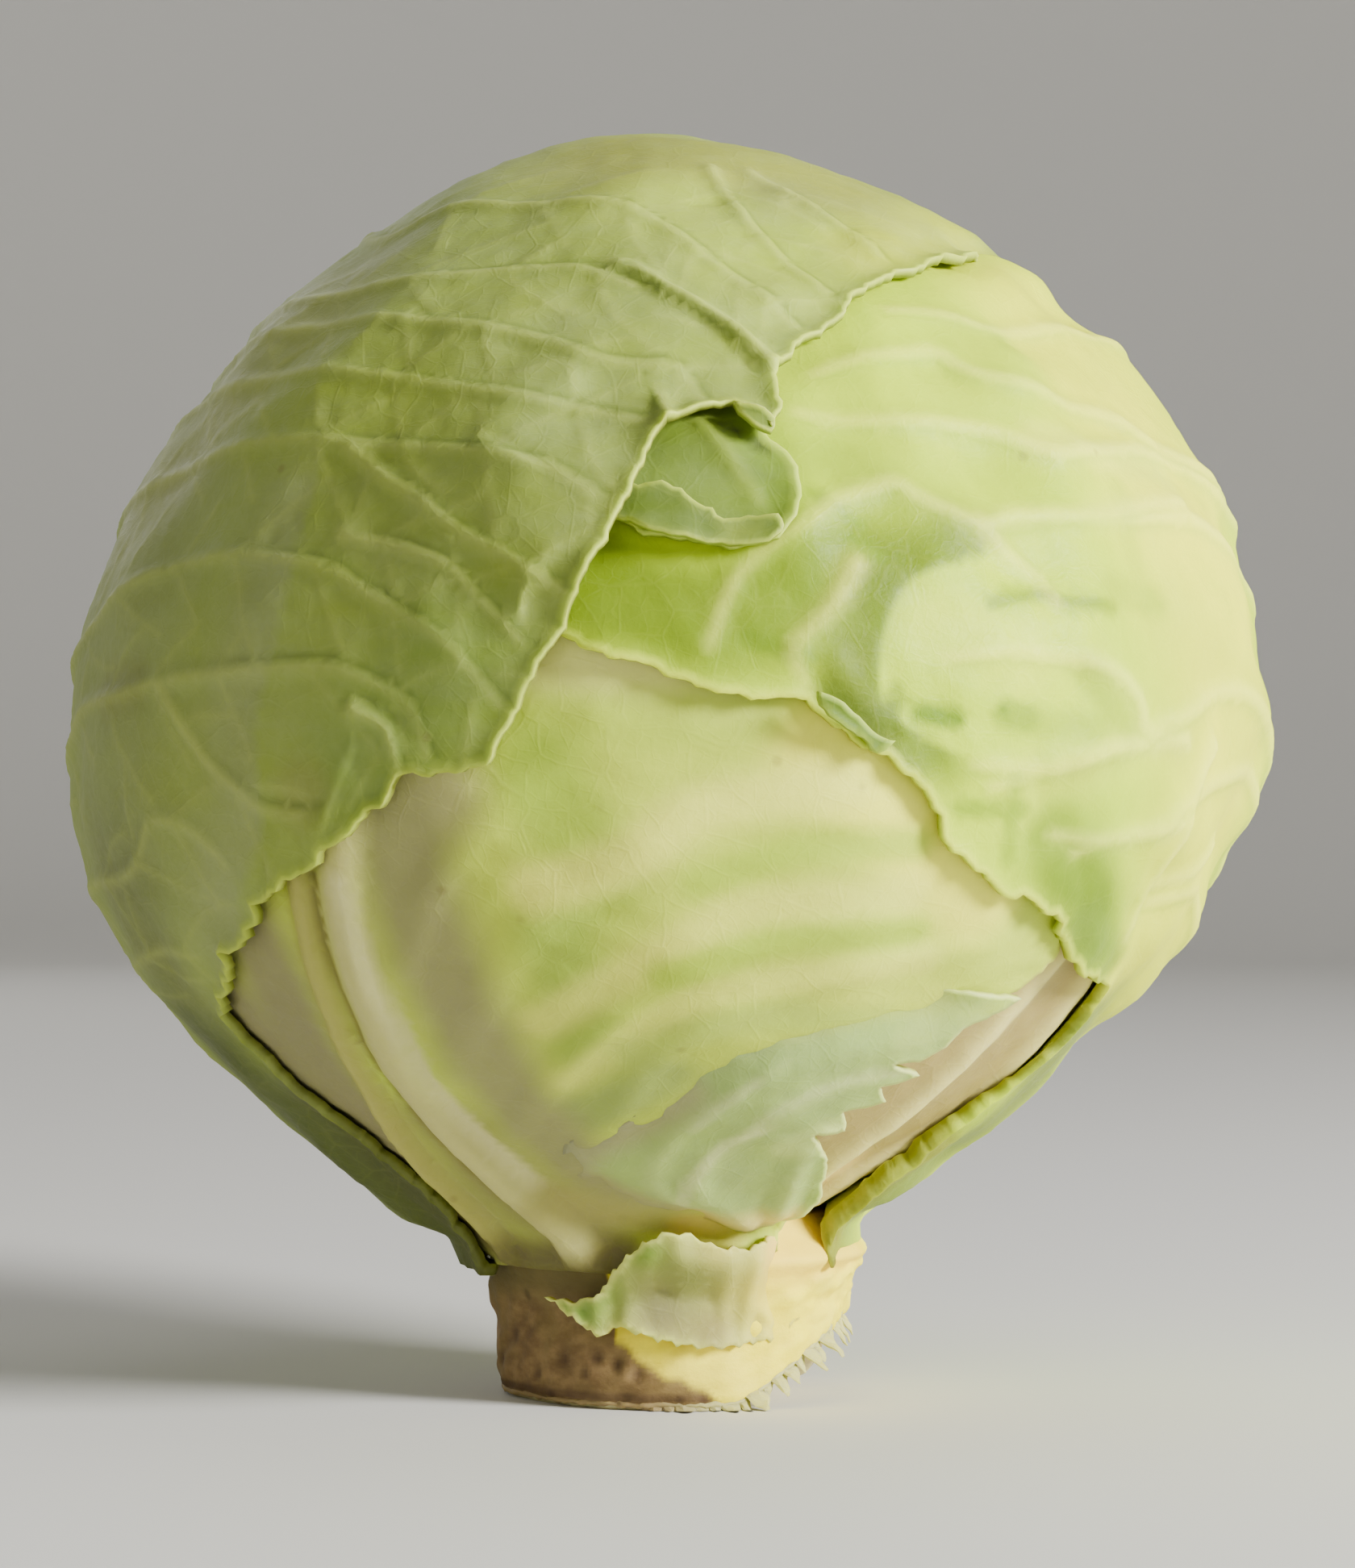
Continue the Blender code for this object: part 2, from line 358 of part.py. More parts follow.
class Leaf:
    """One leaf of the head: its outline, its raised lines and what it lies on."""

    def __init__(self, name, centre, outline, ridges, base, over=(), lift=EDGE_LIFT, gap=LEAF_GAP):
        self.name = name
        self.axes = chart_axes(centre)
        self.outline = outline
        self.loop = outline_loop(outline, 0.003)
        self.closed = np.concatenate([self.loop, self.loop[:1]])
        self.chart_loop = to_chart(self.loop, self.axes)
        self.ridges = [(smooth_path(path, 0.003), height * 0.001, width * 0.001)
                       for path, height, width in ridges]
        self.paths = [path for path, height, width in ridges]
        self.base = base
        self.over = list(over)
        self.under = []
        self.lift = lift
        self.gap = gap
        for lower in self.over:
            lower.under.append(self)

    def depth(self, dirs):
        """Distance to the margin, above zero inside the leaf."""
        gap, place = distance_to_line(dirs, self.closed)
        inside = inside_loop(to_chart(dirs, self.axes), self.chart_loop)
        return np.where(inside, gap, -gap)

    def relief(self, dirs, spread=0.0):
        """Height of the ribs and veins above the blade, gone where another leaf lies well over them."""
        rise = np.zeros(len(dirs))
        for line, height, width in self.ridges:
            gap, place = distance_to_line(dirs, line)
            across = np.clip(np.maximum(gap - spread, 0.0) / width, 0.0, 1.0)
            fade = (1.0 - 0.55 * place) * smooth_step((1.0 - place) * 8 + 0.3)
            rise = np.maximum(rise, height * fade * (1 - across ** 2) ** 2)
        for upper in self.under:
            rise = rise * (1 - smooth_step((upper.depth(dirs) - 0.003) / 0.008))
        return rise

    def inner(self, dirs):
        """Radius of the leaf's inner face."""
        radius = self.base(dirs)
        for lower in self.over:
            cover = smooth_step((lower.depth(dirs) + 0.016) / 0.011)
            height = lower.outer(dirs, 0.004) + self.gap * (2 * base_growth(dirs) - 1)
            radius = radius + cover * np.maximum(height - radius, 0.0)
        sheer = np.sqrt(np.maximum(1 - dirs[:, 2] ** 2, 1e-4))
        wall = np.where(dirs[:, 2] < -0.86, BASE_RADIUS / sheer, 0.0)
        return np.maximum(radius, np.minimum(wall, BASE_RADIUS_LIMIT))

    def outer(self, dirs, spread=0.0):
        """Radius of the leaf's outer face."""
        return self.inner(dirs) + LEAF_THICKNESS * base_growth(dirs) + self.relief(dirs, spread)

    def raise_edge(self, dirs):
        """Small outward turn of the margin, which the parts hidden under other leaves don't have."""
        gap = np.abs(self.depth(dirs))
        turn = self.lift * np.exp(-gap / 0.003)
        for upper in self.under:
            turn = turn * (1 - smooth_step((upper.depth(dirs) + 0.004) / 0.004))
        return turn * (dirs[:, 2] > -0.80)


def wrapper_base(dirs):
    return blended_radius(dirs, WRAPPER_LEFT, WRAPPER_RIGHT) - LEAF_THICKNESS


def back_base(dirs):
    return wrapper_base(dirs) - BACK_LEAF_DEPTH


def head_radius(dirs):
    """Outer face of the packed head with the ribs of its outermost leaf."""
    radius = blended_radius(dirs, HEAD_LEFT, HEAD_RIGHT)
    rise = np.zeros(len(dirs))
    for path, height, width in HEAD_RIDGES:
        gap, place = distance_to_line(dirs, smooth_path(path, 0.003))
        across = np.clip(gap / (width * 0.001), 0.0, 1.0)
        rise = np.maximum(rise, height * 0.001 * (1 - 0.4 * place) * (1 - across ** 2) ** 2)
    return radius + rise


def front_base(dirs):
    return head_radius(dirs) + LEAF_GAP


def side_ridges(start_lon, rows, height, width):
    """Side veins that leave the midrib and bend down to the margin, one for each row of numbers."""
    ridges = []
    for start_lat, end_lon, end_lat in rows:
        span = end_lon - start_lon
        drop = end_lat - start_lat
        path = [(start_lon + span * t, start_lat + drop * t ** 1.6 + 5.0 * math.sin(math.pi * t))
                for t in (0.0, 0.25, 0.5, 0.75, 1.0)]
        ridges.append((path, height, width))
    return ridges


def sphere_lattice(step):
    """Evenly spread unit vectors about `step` metres apart on the head."""
    count = int(4 * math.pi * MEAN_RADIUS ** 2 / (step ** 2 * 0.866))
    k = np.arange(count) + 0.5
    height = 1 - 2 * k / count
    turn = k * math.pi * (3 - math.sqrt(5))
    flat = np.sqrt(1 - height ** 2)
    return np.stack([flat * np.cos(turn), flat * np.sin(turn), height], axis=1)


def away_from(dirs, taken, distance):
    """The directions that keep a distance in metres from the ones already taken."""
    if not len(taken) or not len(dirs):
        return dirs
    near = (dirs @ taken.T).max(axis=1)
    return dirs[near < math.cos(distance / MEAN_RADIUS)]


def ridge_points(line_points, width, step):
    """Crest of a raised line and the two rows at its feet."""
    crest = smooth_path(line_points, step)
    ahead = np.gradient(crest, axis=0)
    side = unit(np.cross(crest, ahead)) * (width / MEAN_RADIUS)
    return crest, np.concatenate([unit(crest + side), unit(crest - side)])


def flat_triangles(points, edges, count):
    """Triangles between flat points, inside the loop made by the first `count` of them."""
    rim = [(k, (k + 1) % count) for k in range(count)]
    result = delaunay_2d_cdt([Vector(p) for p in points], rim + edges, [], 0, 1e-6, False)
    flat = np.array([tuple(p) for p in result[0]])
    triangles = [tuple(triangle) for triangle in result[2]]
    middles = np.array([flat[list(triangle)].mean(axis=0) for triangle in triangles])
    inside = inside_loop(middles, points[:count])
    return flat, [triangle for triangle, keep in zip(triangles, inside) if keep]


def leaf_sheet(leaf):
    """Directions and triangles of the leaf's blade."""
    loop = outline_loop(leaf.outline, BOUNDARY_STEP)
    points = list(loop)
    edges = []
    feet = []
    for path, (line, height, width) in zip(leaf.paths, leaf.ridges):
        crest, rows = ridge_points(path, width, VEIN_STEP)
        keep = leaf.depth(crest) > 0.0025
        crest = crest[keep]
        if len(points) > len(loop):
            clear = away_from(crest, np.array(points[len(loop):]), 0.003)
            kept = {tuple(p) for p in clear}
            crest = np.array([p for p in crest if tuple(p) in kept])
        if not len(crest):
            continue
        first = len(points)
        points.extend(crest)
        for k in range(len(crest) - 1):
            if np.linalg.norm(crest[k + 1] - crest[k]) * MEAN_RADIUS < VEIN_STEP * 1.6:
                edges.append((first + k, first + k + 1))
        feet.append(rows[leaf.depth(rows) > 0.003])
    for rows in feet:
        points.extend(away_from(rows, np.array(points), 0.0018))
    lattice = sphere_lattice(LATTICE_STEP)
    lattice = lattice[leaf.depth(lattice) > 0.004]
    points.extend(away_from(lattice, np.array(points), LATTICE_STEP * 0.52))
    flat, triangles = flat_triangles(to_chart(np.array(points), leaf.axes), edges, len(loop))
    return from_chart(flat, leaf.axes), triangles


def new_object(name, mesh, collection):
    """Object with its own plain material."""
    item = bpy.data.objects.new(name, mesh)
    material = bpy.data.materials.new(name)
    material.use_nodes = True
    shader = material.node_tree.nodes["Principled BSDF"]
    shader.inputs["Base Color"].default_value = (*COLOURS[name], 1.0)
    shader.inputs["Roughness"].default_value = 0.5
    mesh.materials.append(material)
    collection.objects.link(item)
    for polygon in mesh.polygons:
        polygon.use_smooth = True
    return item


def solid_sheet(name, inner, outer, triangles, collection):
    """Closed blade whose two faces have the same triangles."""
    bm = bmesh.new()
    under = bm.verts.layers.int.new("number")
    verts = []
    for k, place in enumerate(inner):
        vert = bm.verts.new(place)
        vert[under] = k
        verts.append(vert)
    for triangle in triangles:
        bm.faces.new([verts[k] for k in triangle])
    made = bmesh.ops.extrude_face_region(bm, geom=list(bm.faces), use_keep_orig=True)
    for vert in [item for item in made["geom"] if isinstance(item, bmesh.types.BMVert)]:
        vert.co = outer[vert[under]]
    loose = [vert for vert in bm.verts if not vert.link_faces]
    bmesh.ops.delete(bm, geom=loose, context="VERTS")
    bmesh.ops.recalc_face_normals(bm, faces=bm.faces)
    mesh = bpy.data.meshes.new(name)
    bm.to_mesh(mesh)
    bm.free()
    return new_object(name, mesh, collection)


def build_leaf(leaf, collection):
    dirs, triangles = leaf_sheet(leaf)
    turn = leaf.raise_edge(dirs)
    inner = HEAD_CENTRE + dirs * (leaf.inner(dirs) + turn)[:, None]
    outer = HEAD_CENTRE + dirs * (leaf.outer(dirs) + turn)[:, None]
    return solid_sheet(leaf.name, inner, outer, triangles, collection)


def build_head(collection):
    """Packed head: one closed body with a flat seat for the stalk."""
    points = []
    for path, height, width in HEAD_RIDGES:
        crest, rows = ridge_points(path, width * 0.001, 0.007)
        points.extend(crest)
        points.extend(away_from(rows, np.array(points), 0.0025))
    points.extend(away_from(sphere_lattice(0.0125), np.array(points), 0.007))
    dirs = np.array(points)
    bm = bmesh.new()
    for direction in dirs:
        bm.verts.new(direction)
    bmesh.ops.convex_hull(bm, input=list(bm.verts))
    loose = [vert for vert in bm.verts if not vert.link_faces]
    bmesh.ops.delete(bm, geom=loose, context="VERTS")
    dirs = unit(np.array([tuple(vert.co) for vert in bm.verts]))
    places = HEAD_CENTRE + dirs * head_radius(dirs)[:, None]
    places[:, 2] = np.maximum(places[:, 2], HEAD_BOTTOM)
    for vert, place in zip(bm.verts, places):
        vert.co = place
    bmesh.ops.recalc_face_normals(bm, faces=bm.faces)
    mesh = bpy.data.meshes.new("head")
    bm.to_mesh(mesh)
    bm.free()
    return new_object("head", mesh, collection)


def stalk_break(x, y):
    """Height of the broken-out part of the cut, at the front right."""
    rise = np.clip((x - STALK_BREAK_START) / 0.0175, 0.0, 1.0) ** 1.25
    back = 1 - smooth_step((y - STALK_BREAK_BACK) / 0.010)
    return STALK_BREAK_HEIGHT * rise * back


def stalk_swelling(lon, height):
    """Radius added by the swellings of the stalk's skin, in metres."""
    added = np.zeros(len(lon))
    for middle, level, width, rise in STALK_SWELLINGS:
        across = np.radians((lon - middle + 180) % 360 - 180) * STALK_RADIUS * 1000
        added += rise * np.exp(-(across ** 2 + (height * 1000 - level) ** 2) / (width ** 2))
    return added * 0.001 * smooth_step((0.0215 - height) / 0.006)


def build_stalk(collection):
    """Cut stump: a ball of rings laid out as a short column with flat ends."""
    bm = bmesh.new()
    bmesh.ops.create_uvsphere(bm, u_segments=STALK_SEGMENTS, v_segments=len(STALK_RINGS) - 1, radius=1.0)
    places = np.array([tuple(vert.co) for vert in bm.verts])
    polar = np.degrees(np.arccos(np.clip(-places[:, 2], -1, 1)))
    ring = np.rint(polar / (180.0 / (len(STALK_RINGS) - 1))).astype(int)
    lon = np.degrees(np.arctan2(places[:, 0], -places[:, 1]))
    rings = np.array(STALK_RINGS) * 0.001
    radius = rings[ring, 0]
    height = rings[ring, 1]
    side = smooth_step((radius - 0.0215) / 0.003)
    radius = radius + side * stalk_swelling(lon, height)
    x = radius * np.sin(np.radians(lon))
    y = -radius * np.cos(np.radians(lon))
    share = np.clip(1 - height / 0.021, 0.0, 1.0)
    height = height + stalk_break(x, y) * share
    for vert, place in zip(bm.verts, np.stack([x, y, height], axis=1)):
        vert.co = place
    bmesh.ops.triangulate(bm, faces=bm.faces)
    bmesh.ops.recalc_face_normals(bm, faces=bm.faces)
    mesh = bpy.data.meshes.new("stalk")
    bm.to_mesh(mesh)
    bm.free()
    return new_object("stalk", mesh, collection)


def build_stalk_leaf(collection):
    """Small leaf base round the front of the stalk, outside the bases of the leaves above it."""
    loop = []
    for stretch in STALK_LEAF_OUTLINE:
        points = np.array(stretch, float)
        points[:, 0] = np.radians(points[:, 0]) * 27.0
        gaps = np.linalg.norm(np.diff(points, axis=0), axis=1)
        along = np.concatenate([[0.0], np.cumsum(gaps)])
        count = max(int(round(along[-1] / 3.0)), 1)
        t = np.linspace(0, along[-1], count + 1)[:-1]
        loop.extend(np.stack([smooth_curve(t, along, points[:, k]) for k in range(2)], axis=1))
    loop = np.array(loop)
    grid = np.array([(col * 3.6 + (row % 2) * 1.8, row * 3.1)
                     for col in range(-7, 8) for row in range(2, 10)])
    grid = grid[inside_loop(grid, loop)]
    spread = np.linalg.norm(grid[:, None, :] - loop[None, :, :], axis=2).min(axis=1)
    flat = np.concatenate([loop, grid[spread > 1.5]])
    flat, triangles = flat_triangles(flat, [], len(loop))
    lon = np.degrees(flat[:, 0] / 27.0)
    height = flat[:, 1] * 0.001
    wall = STALK_RADIUS + 0.0008 + stalk_swelling(lon, height)
    flare = 0.0052 * smooth_step((height - 0.0155) / 0.008)
    tips = 0.0016 * smooth_step((-lon - 17.0) / 18.0)
    waves = 0.0005 * np.sin(np.radians(lon) * 9.0 + height * 300)
    near = np.maximum(wall + flare + tips + waves, wall)
    sheets = []
    for radius in (near, near + LEAF_THICKNESS):
        x = radius * np.sin(np.radians(lon))
        y = -radius * np.cos(np.radians(lon))
        sheets.append(np.stack([x, y, height], axis=1))
    return solid_sheet("stalk_leaf", sheets[0], sheets[1], triangles, collection)


def laterals_of_back_leaf():
    """Pairs of side veins on both sides of the back leaf's midrib."""
    rows = []
    for start in BACK_WRAPPER_LATERALS:
        pair = [(start, 209.0, start + 9.0), (start + 6.0, 151.0, start + 14.0)]
        rows.extend(side_ridges(180.0, pair, 0.8, 2.2))
    return rows


def main():
    for item in list(bpy.data.objects):
        bpy.data.objects.remove(item, do_unlink=True)
    collection = bpy.data.collections.new("white_cabbage")
    bpy.context.scene.collection.children.link(collection)

    front = Leaf("front_leaf", (-12, -28), FRONT_LEAF_OUTLINE, FRONT_LEAF_RIDGES, front_base)
    torn = Leaf("torn_leaf", (12, -48), TORN_LEAF_OUTLINE, TORN_LEAF_RIDGES, front_base, [front],
                lift=0.0005, gap=0.0011)
    back = Leaf("back_wrapper_leaf", (180, -5), BACK_WRAPPER_OUTLINE,
                BACK_WRAPPER_RIDGES + laterals_of_back_leaf(), back_base)
    right = Leaf("right_wrapper_leaf", (75, 5), RIGHT_WRAPPER_OUTLINE,
                 RIGHT_WRAPPER_RIDGES + side_ridges(112.0, RIGHT_WRAPPER_BACK_RIDGES, 0.8, 2.2),
                 wrapper_base, [front, back])
    tucked = Leaf("tucked_leaf", (2, 24), TUCKED_LEAF_OUTLINE, TUCKED_LEAF_RIDGES, wrapper_base, [right],
                  lift=0.0003)
    left = Leaf("left_wrapper_leaf", (-75, 33), LEFT_WRAPPER_OUTLINE,
                LEFT_WRAPPER_RIDGES + side_ridges(-116.0, LEFT_WRAPPER_BACK_RIDGES, 0.8, 2.2),
                wrapper_base, [front, back, right, tucked])

    build_stalk(collection)
    build_head(collection)
    for leaf in (front, back, right, tucked, left, torn):
        build_leaf(leaf, collection)
    build_stalk_leaf(collection)


main()
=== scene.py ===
"""Visual model of a head of smooth-leaved white cabbage standing on its cut stalk.

Metres, +Z up, front towards -Y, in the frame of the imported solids. Places on the head are written as
(longitude, latitude) in degrees round the head's middle: longitude 0 faces the front, 90 faces +X and
latitude 90 is the top. Every leaf is a closed sheet of fine triangles laid over the leaves below it.
"""
import logging
import math
from dataclasses import dataclass, field
from enum import Enum
from typing import Callable, Sequence

import bmesh
import bpy
import numpy as np
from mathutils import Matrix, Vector
from mathutils.geometry import delaunay_2d_cdt


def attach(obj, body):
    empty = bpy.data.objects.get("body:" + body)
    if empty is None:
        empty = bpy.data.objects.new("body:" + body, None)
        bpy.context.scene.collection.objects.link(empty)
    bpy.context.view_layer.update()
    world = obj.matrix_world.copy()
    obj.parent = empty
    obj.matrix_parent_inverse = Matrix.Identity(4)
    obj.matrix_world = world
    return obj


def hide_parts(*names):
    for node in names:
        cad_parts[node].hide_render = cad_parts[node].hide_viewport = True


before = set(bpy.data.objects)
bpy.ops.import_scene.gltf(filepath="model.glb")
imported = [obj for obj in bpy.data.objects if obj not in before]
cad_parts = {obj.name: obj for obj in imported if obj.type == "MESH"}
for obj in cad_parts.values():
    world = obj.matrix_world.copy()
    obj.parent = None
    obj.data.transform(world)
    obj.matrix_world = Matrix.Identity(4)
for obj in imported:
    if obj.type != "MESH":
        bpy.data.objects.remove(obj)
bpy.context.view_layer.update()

LOG = logging.getLogger("white_cabbage")
Place = tuple[float, float]
Colour = tuple[int, int, int]

# Driving dimensions, in metres
HEAD_CENTRE = np.array([-0.0018, 0.0, 0.0990])
MM = 0.001
MEAN_RADIUS = 0.086
FEATHER_DIVE = 0.0006
LEAF_THICKNESS = 0.0011
LEAF_GAP = 0.0005
BACK_LEAF_DEPTH = 0.0016
HEAD_BOTTOM = 0.0278
STALK_RADIUS = 0.0260
SKIN_TOP = 0.0215
BASE_RADIUS = 0.0275
BASE_RADIUS_LIMIT = 0.0830
EDGE_LIFT = 0.0007
RIM_STEP = 0.0009
VEIN_STEP = 0.0015
VISIBLE_STEP = 0.00155
BACK_STEP = 0.0025
HIDDEN_STEP = 0.0050
TUCK_REACH = 0.015

# Camera: level, straight in front, at the height of the photograph's middle
CAMERA_PLACE = (0.0, -0.700, 0.0909)
CAMERA_LENS = 107.0
SENSOR_WIDTH = 36.0

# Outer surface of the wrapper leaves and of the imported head, in millimetres from the middle of the head
LATITUDES = [-90, -80, -70, -60, -50, -40, -30, -20, -10, 0, 10, 20, 30, 40, 50, 60, 70, 80, 90]
WRAPPER_LEFT = [90, 88.5, 85.8, 82.8, 81.2, 82.4, 84.9, 87.6, 89, 88.8, 88, 86.5, 85.4, 84.9,
                84.9, 85.3, 86.6, 88.8, 89.6]
WRAPPER_RIGHT = [84, 82, 79.6, 77.8, 76.4, 76.9, 80.2, 83.3, 86.2, 88.6, 89.7, 89.2, 87.8, 86.8,
                 85.9, 85.9, 86.5, 87.9, 89.6]
HEAD_LEFT = [81, 81, 80, 76.8, 75.6, 77.8, 81.2, 84.4, 85.8, 85.6, 84.8, 83.3, 82.2, 81.7, 81.7,
             82.1, 83.4, 85.6, 86.4]
HEAD_RIGHT = [75, 74.6, 73.4, 72.4, 73, 74.4, 77, 80.1, 83, 85.4, 86.5, 86, 84.6, 83.6, 82.7,
              82.7, 83.3, 84.7, 86.4]

# Leaf outlines: smooth stretches of (longitude, latitude), which meet in corners
LEFT_WRAPPER_OUTLINE = [
    [(69, 52.2), (61.5, 52.2), (49.4, 49.9), (39.7, 47.6), (32.6, 46.1), (25.9, 43.3), (20.6, 39.7),
     (16.1, 36.5), (12.3, 33.3), (11.2, 31.1), (10.9, 27.9), (9.9, 25.1)],
    [(9.9, 25.1), (8.9, 26.6), (6.6, 28.2), (3.7, 27.4), (0.3, 26.1)],
    [(0.3, 26.1), (-1.8, 22), (-3.5, 18.1), (-5.2, 14.4), (-7.2, 10.4), (-8.9, 7.3), (-10.9, 3.8),
     (-12.7, 0.4), (-15, -3.6)],
    [(-15, -3.6), (-17.1, -3.9), (-19.7, -4.1), (-23.4, -4.6)],
    [(-23.4, -4.6), (-26.1, -7.6), (-28.4, -9.7)],
    [(-28.4, -9.7), (-32.3, -12.1), (-37.6, -14.6)],
    [(-37.6, -14.6), (-40.4, -16.6), (-43.6, -18.6), (-46.5, -21.2), (-50, -23.9), (-57.8, -28.9)],
    [(-57.8, -28.9), (-58.6, -32.2), (-57.6, -35.3)],
    [(-57.6, -35.3), (-58.7, -38.8), (-56.4, -42.6)],
    [(-56.4, -42.6), (-56.6, -47.3), (-56.5, -52.2), (-56.8, -58.4), (-59, -65), (-63, -70.8)],
    [(-63, -70.8), (-85, -71.2), (-105, -71.2), (-130, -71.2), (-150, -70.6)],
    [(-150, -70.6), (-150, -60), (-155, -45), (-151, -30), (-156, -12), (-151, 4),
     (-157, 22), (-163, 34), (-178, 42), (166, 50), (148, 47), (128, 51),
     (110, 50), (92, 52), (80, 51.6), (69, 52.2)],
]
RIGHT_WRAPPER_OUTLINE = [
    [(-16, 9), (-9.3, 7.5), (-6.1, 6.2), (-4.4, 5.3), (-1.6, 4.6), (1.8, 3.6), (3.2, 2.9),
     (5.9, 2.3), (8.7, 1.9), (12.2, 1.9)],
    [(12.2, 1.9), (12.9, 0.7), (15.1, -0.6), (17.3, -2), (19.6, -3), (22, -4.8), (24.9, -8.4),
     (26.9, -11), (31.2, -14.1), (33.6, -15.7)],
    [(33.6, -15.7), (38, -16.7), (43, -18.7)],
    [(43, -18.7), (43.9, -20.7), (47.1, -22.6), (52.4, -25.1), (60, -26.9)],
    [(60, -26.9), (61, -29.5), (63, -35.2), (61, -43.5), (59, -49.4), (57, -54.5),
     (54, -60), (53, -69)],
    [(53, -69), (75, -69.4), (100, -69.4), (125, -69.4), (148, -69.2)],
    [(148, -69.2), (150, -55), (146, -38), (151, -20), (147, 0), (152, 20),
     (150, 40), (146, 56), (120, 62), (80, 62), (50, 60), (28, 56),
     (12, 48), (-1, 40), (-10, 31), (-15, 20), (-16, 9)],
]
BACK_WRAPPER_OUTLINE = [
    [(138, -69), (160, -69.6), (180, -69.8), (200, -69.8), (222, -69.4)],
    [(222, -69.4), (221, -30), (220, 0), (214, 30), (205, 50), (180, 60),
     (152, 58), (140, 40), (137, 20), (136, 0), (135, -35), (138, -69)],
]
FRONT_LEAF_OUTLINE = [
    [(45.7, -20.8), (46.4, -23.7), (43.8, -26.4), (36.9, -30.8), (30, -36), (25, -43),
     (24, -50), (29, -58), (34, -64), (35, -69.4)],
    [(35, -69.4), (10, -69.4), (-15, -70.4), (-40, -70.9), (-62, -70.6)],
    [(-62, -70.6), (-72, -62), (-79, -48), (-80, -32), (-72, -15), (-58, -1),
     (-40, 9), (-25, 15), (-10, 18), (8, 14), (22, 9), (36, 0), (45, -9),
     (48, -15), (45.7, -20.8)],
]
TUCKED_LEAF_OUTLINE = [
    [(9, 28.5), (9.9, 25.1), (11.5, 23.6), (12.2, 21.6), (12.5, 19.5), (11.3, 17.3), (10, 15.5)],
    [(10, 15.5), (5.8, 15), (1.9, 15.4), (-1.7, 16.3), (-3.9, 17.5), (-10, 18.5)],
    [(-10, 18.5), (-11, 24), (-7, 30), (0, 33), (6, 32.2), (9, 28.5)],
]
TORN_LEAF_OUTLINE = [
    [(-16.5, -49.7), (-10.5, -47.4), (-4, -44.3), (0.6, -40.1), (4.6, -36), (8.2, -33.6),
     (12.7, -31.4), (17.1, -29.9), (21.6, -28.8), (30.2, -27.3), (35.5, -26.7), (42.9, -27.5)],
    [(42.9, -27.5), (37.5, -30.8), (34.5, -34.5), (29.2, -35.8)],
    [(29.2, -35.8), (34.6, -37.9)],
    [(34.6, -37.9), (29.4, -39.4)],
    [(29.4, -39.4), (32.4, -42.3)],
    [(32.4, -42.3), (25.9, -43.3)],
    [(25.9, -43.3), (28.5, -46.9)],
    [(28.5, -46.9), (23.4, -47.2), (26.9, -50.3), (31.8, -55.7), (36, -61), (35, -64.5),
     (30, -66.6)],
    [(30, -66.6), (18, -66.4), (5.7, -65.8), (-5, -64.5), (-12.3, -61.5), (-16.5, -57),
     (-18, -53), (-16.5, -49.7)],
]

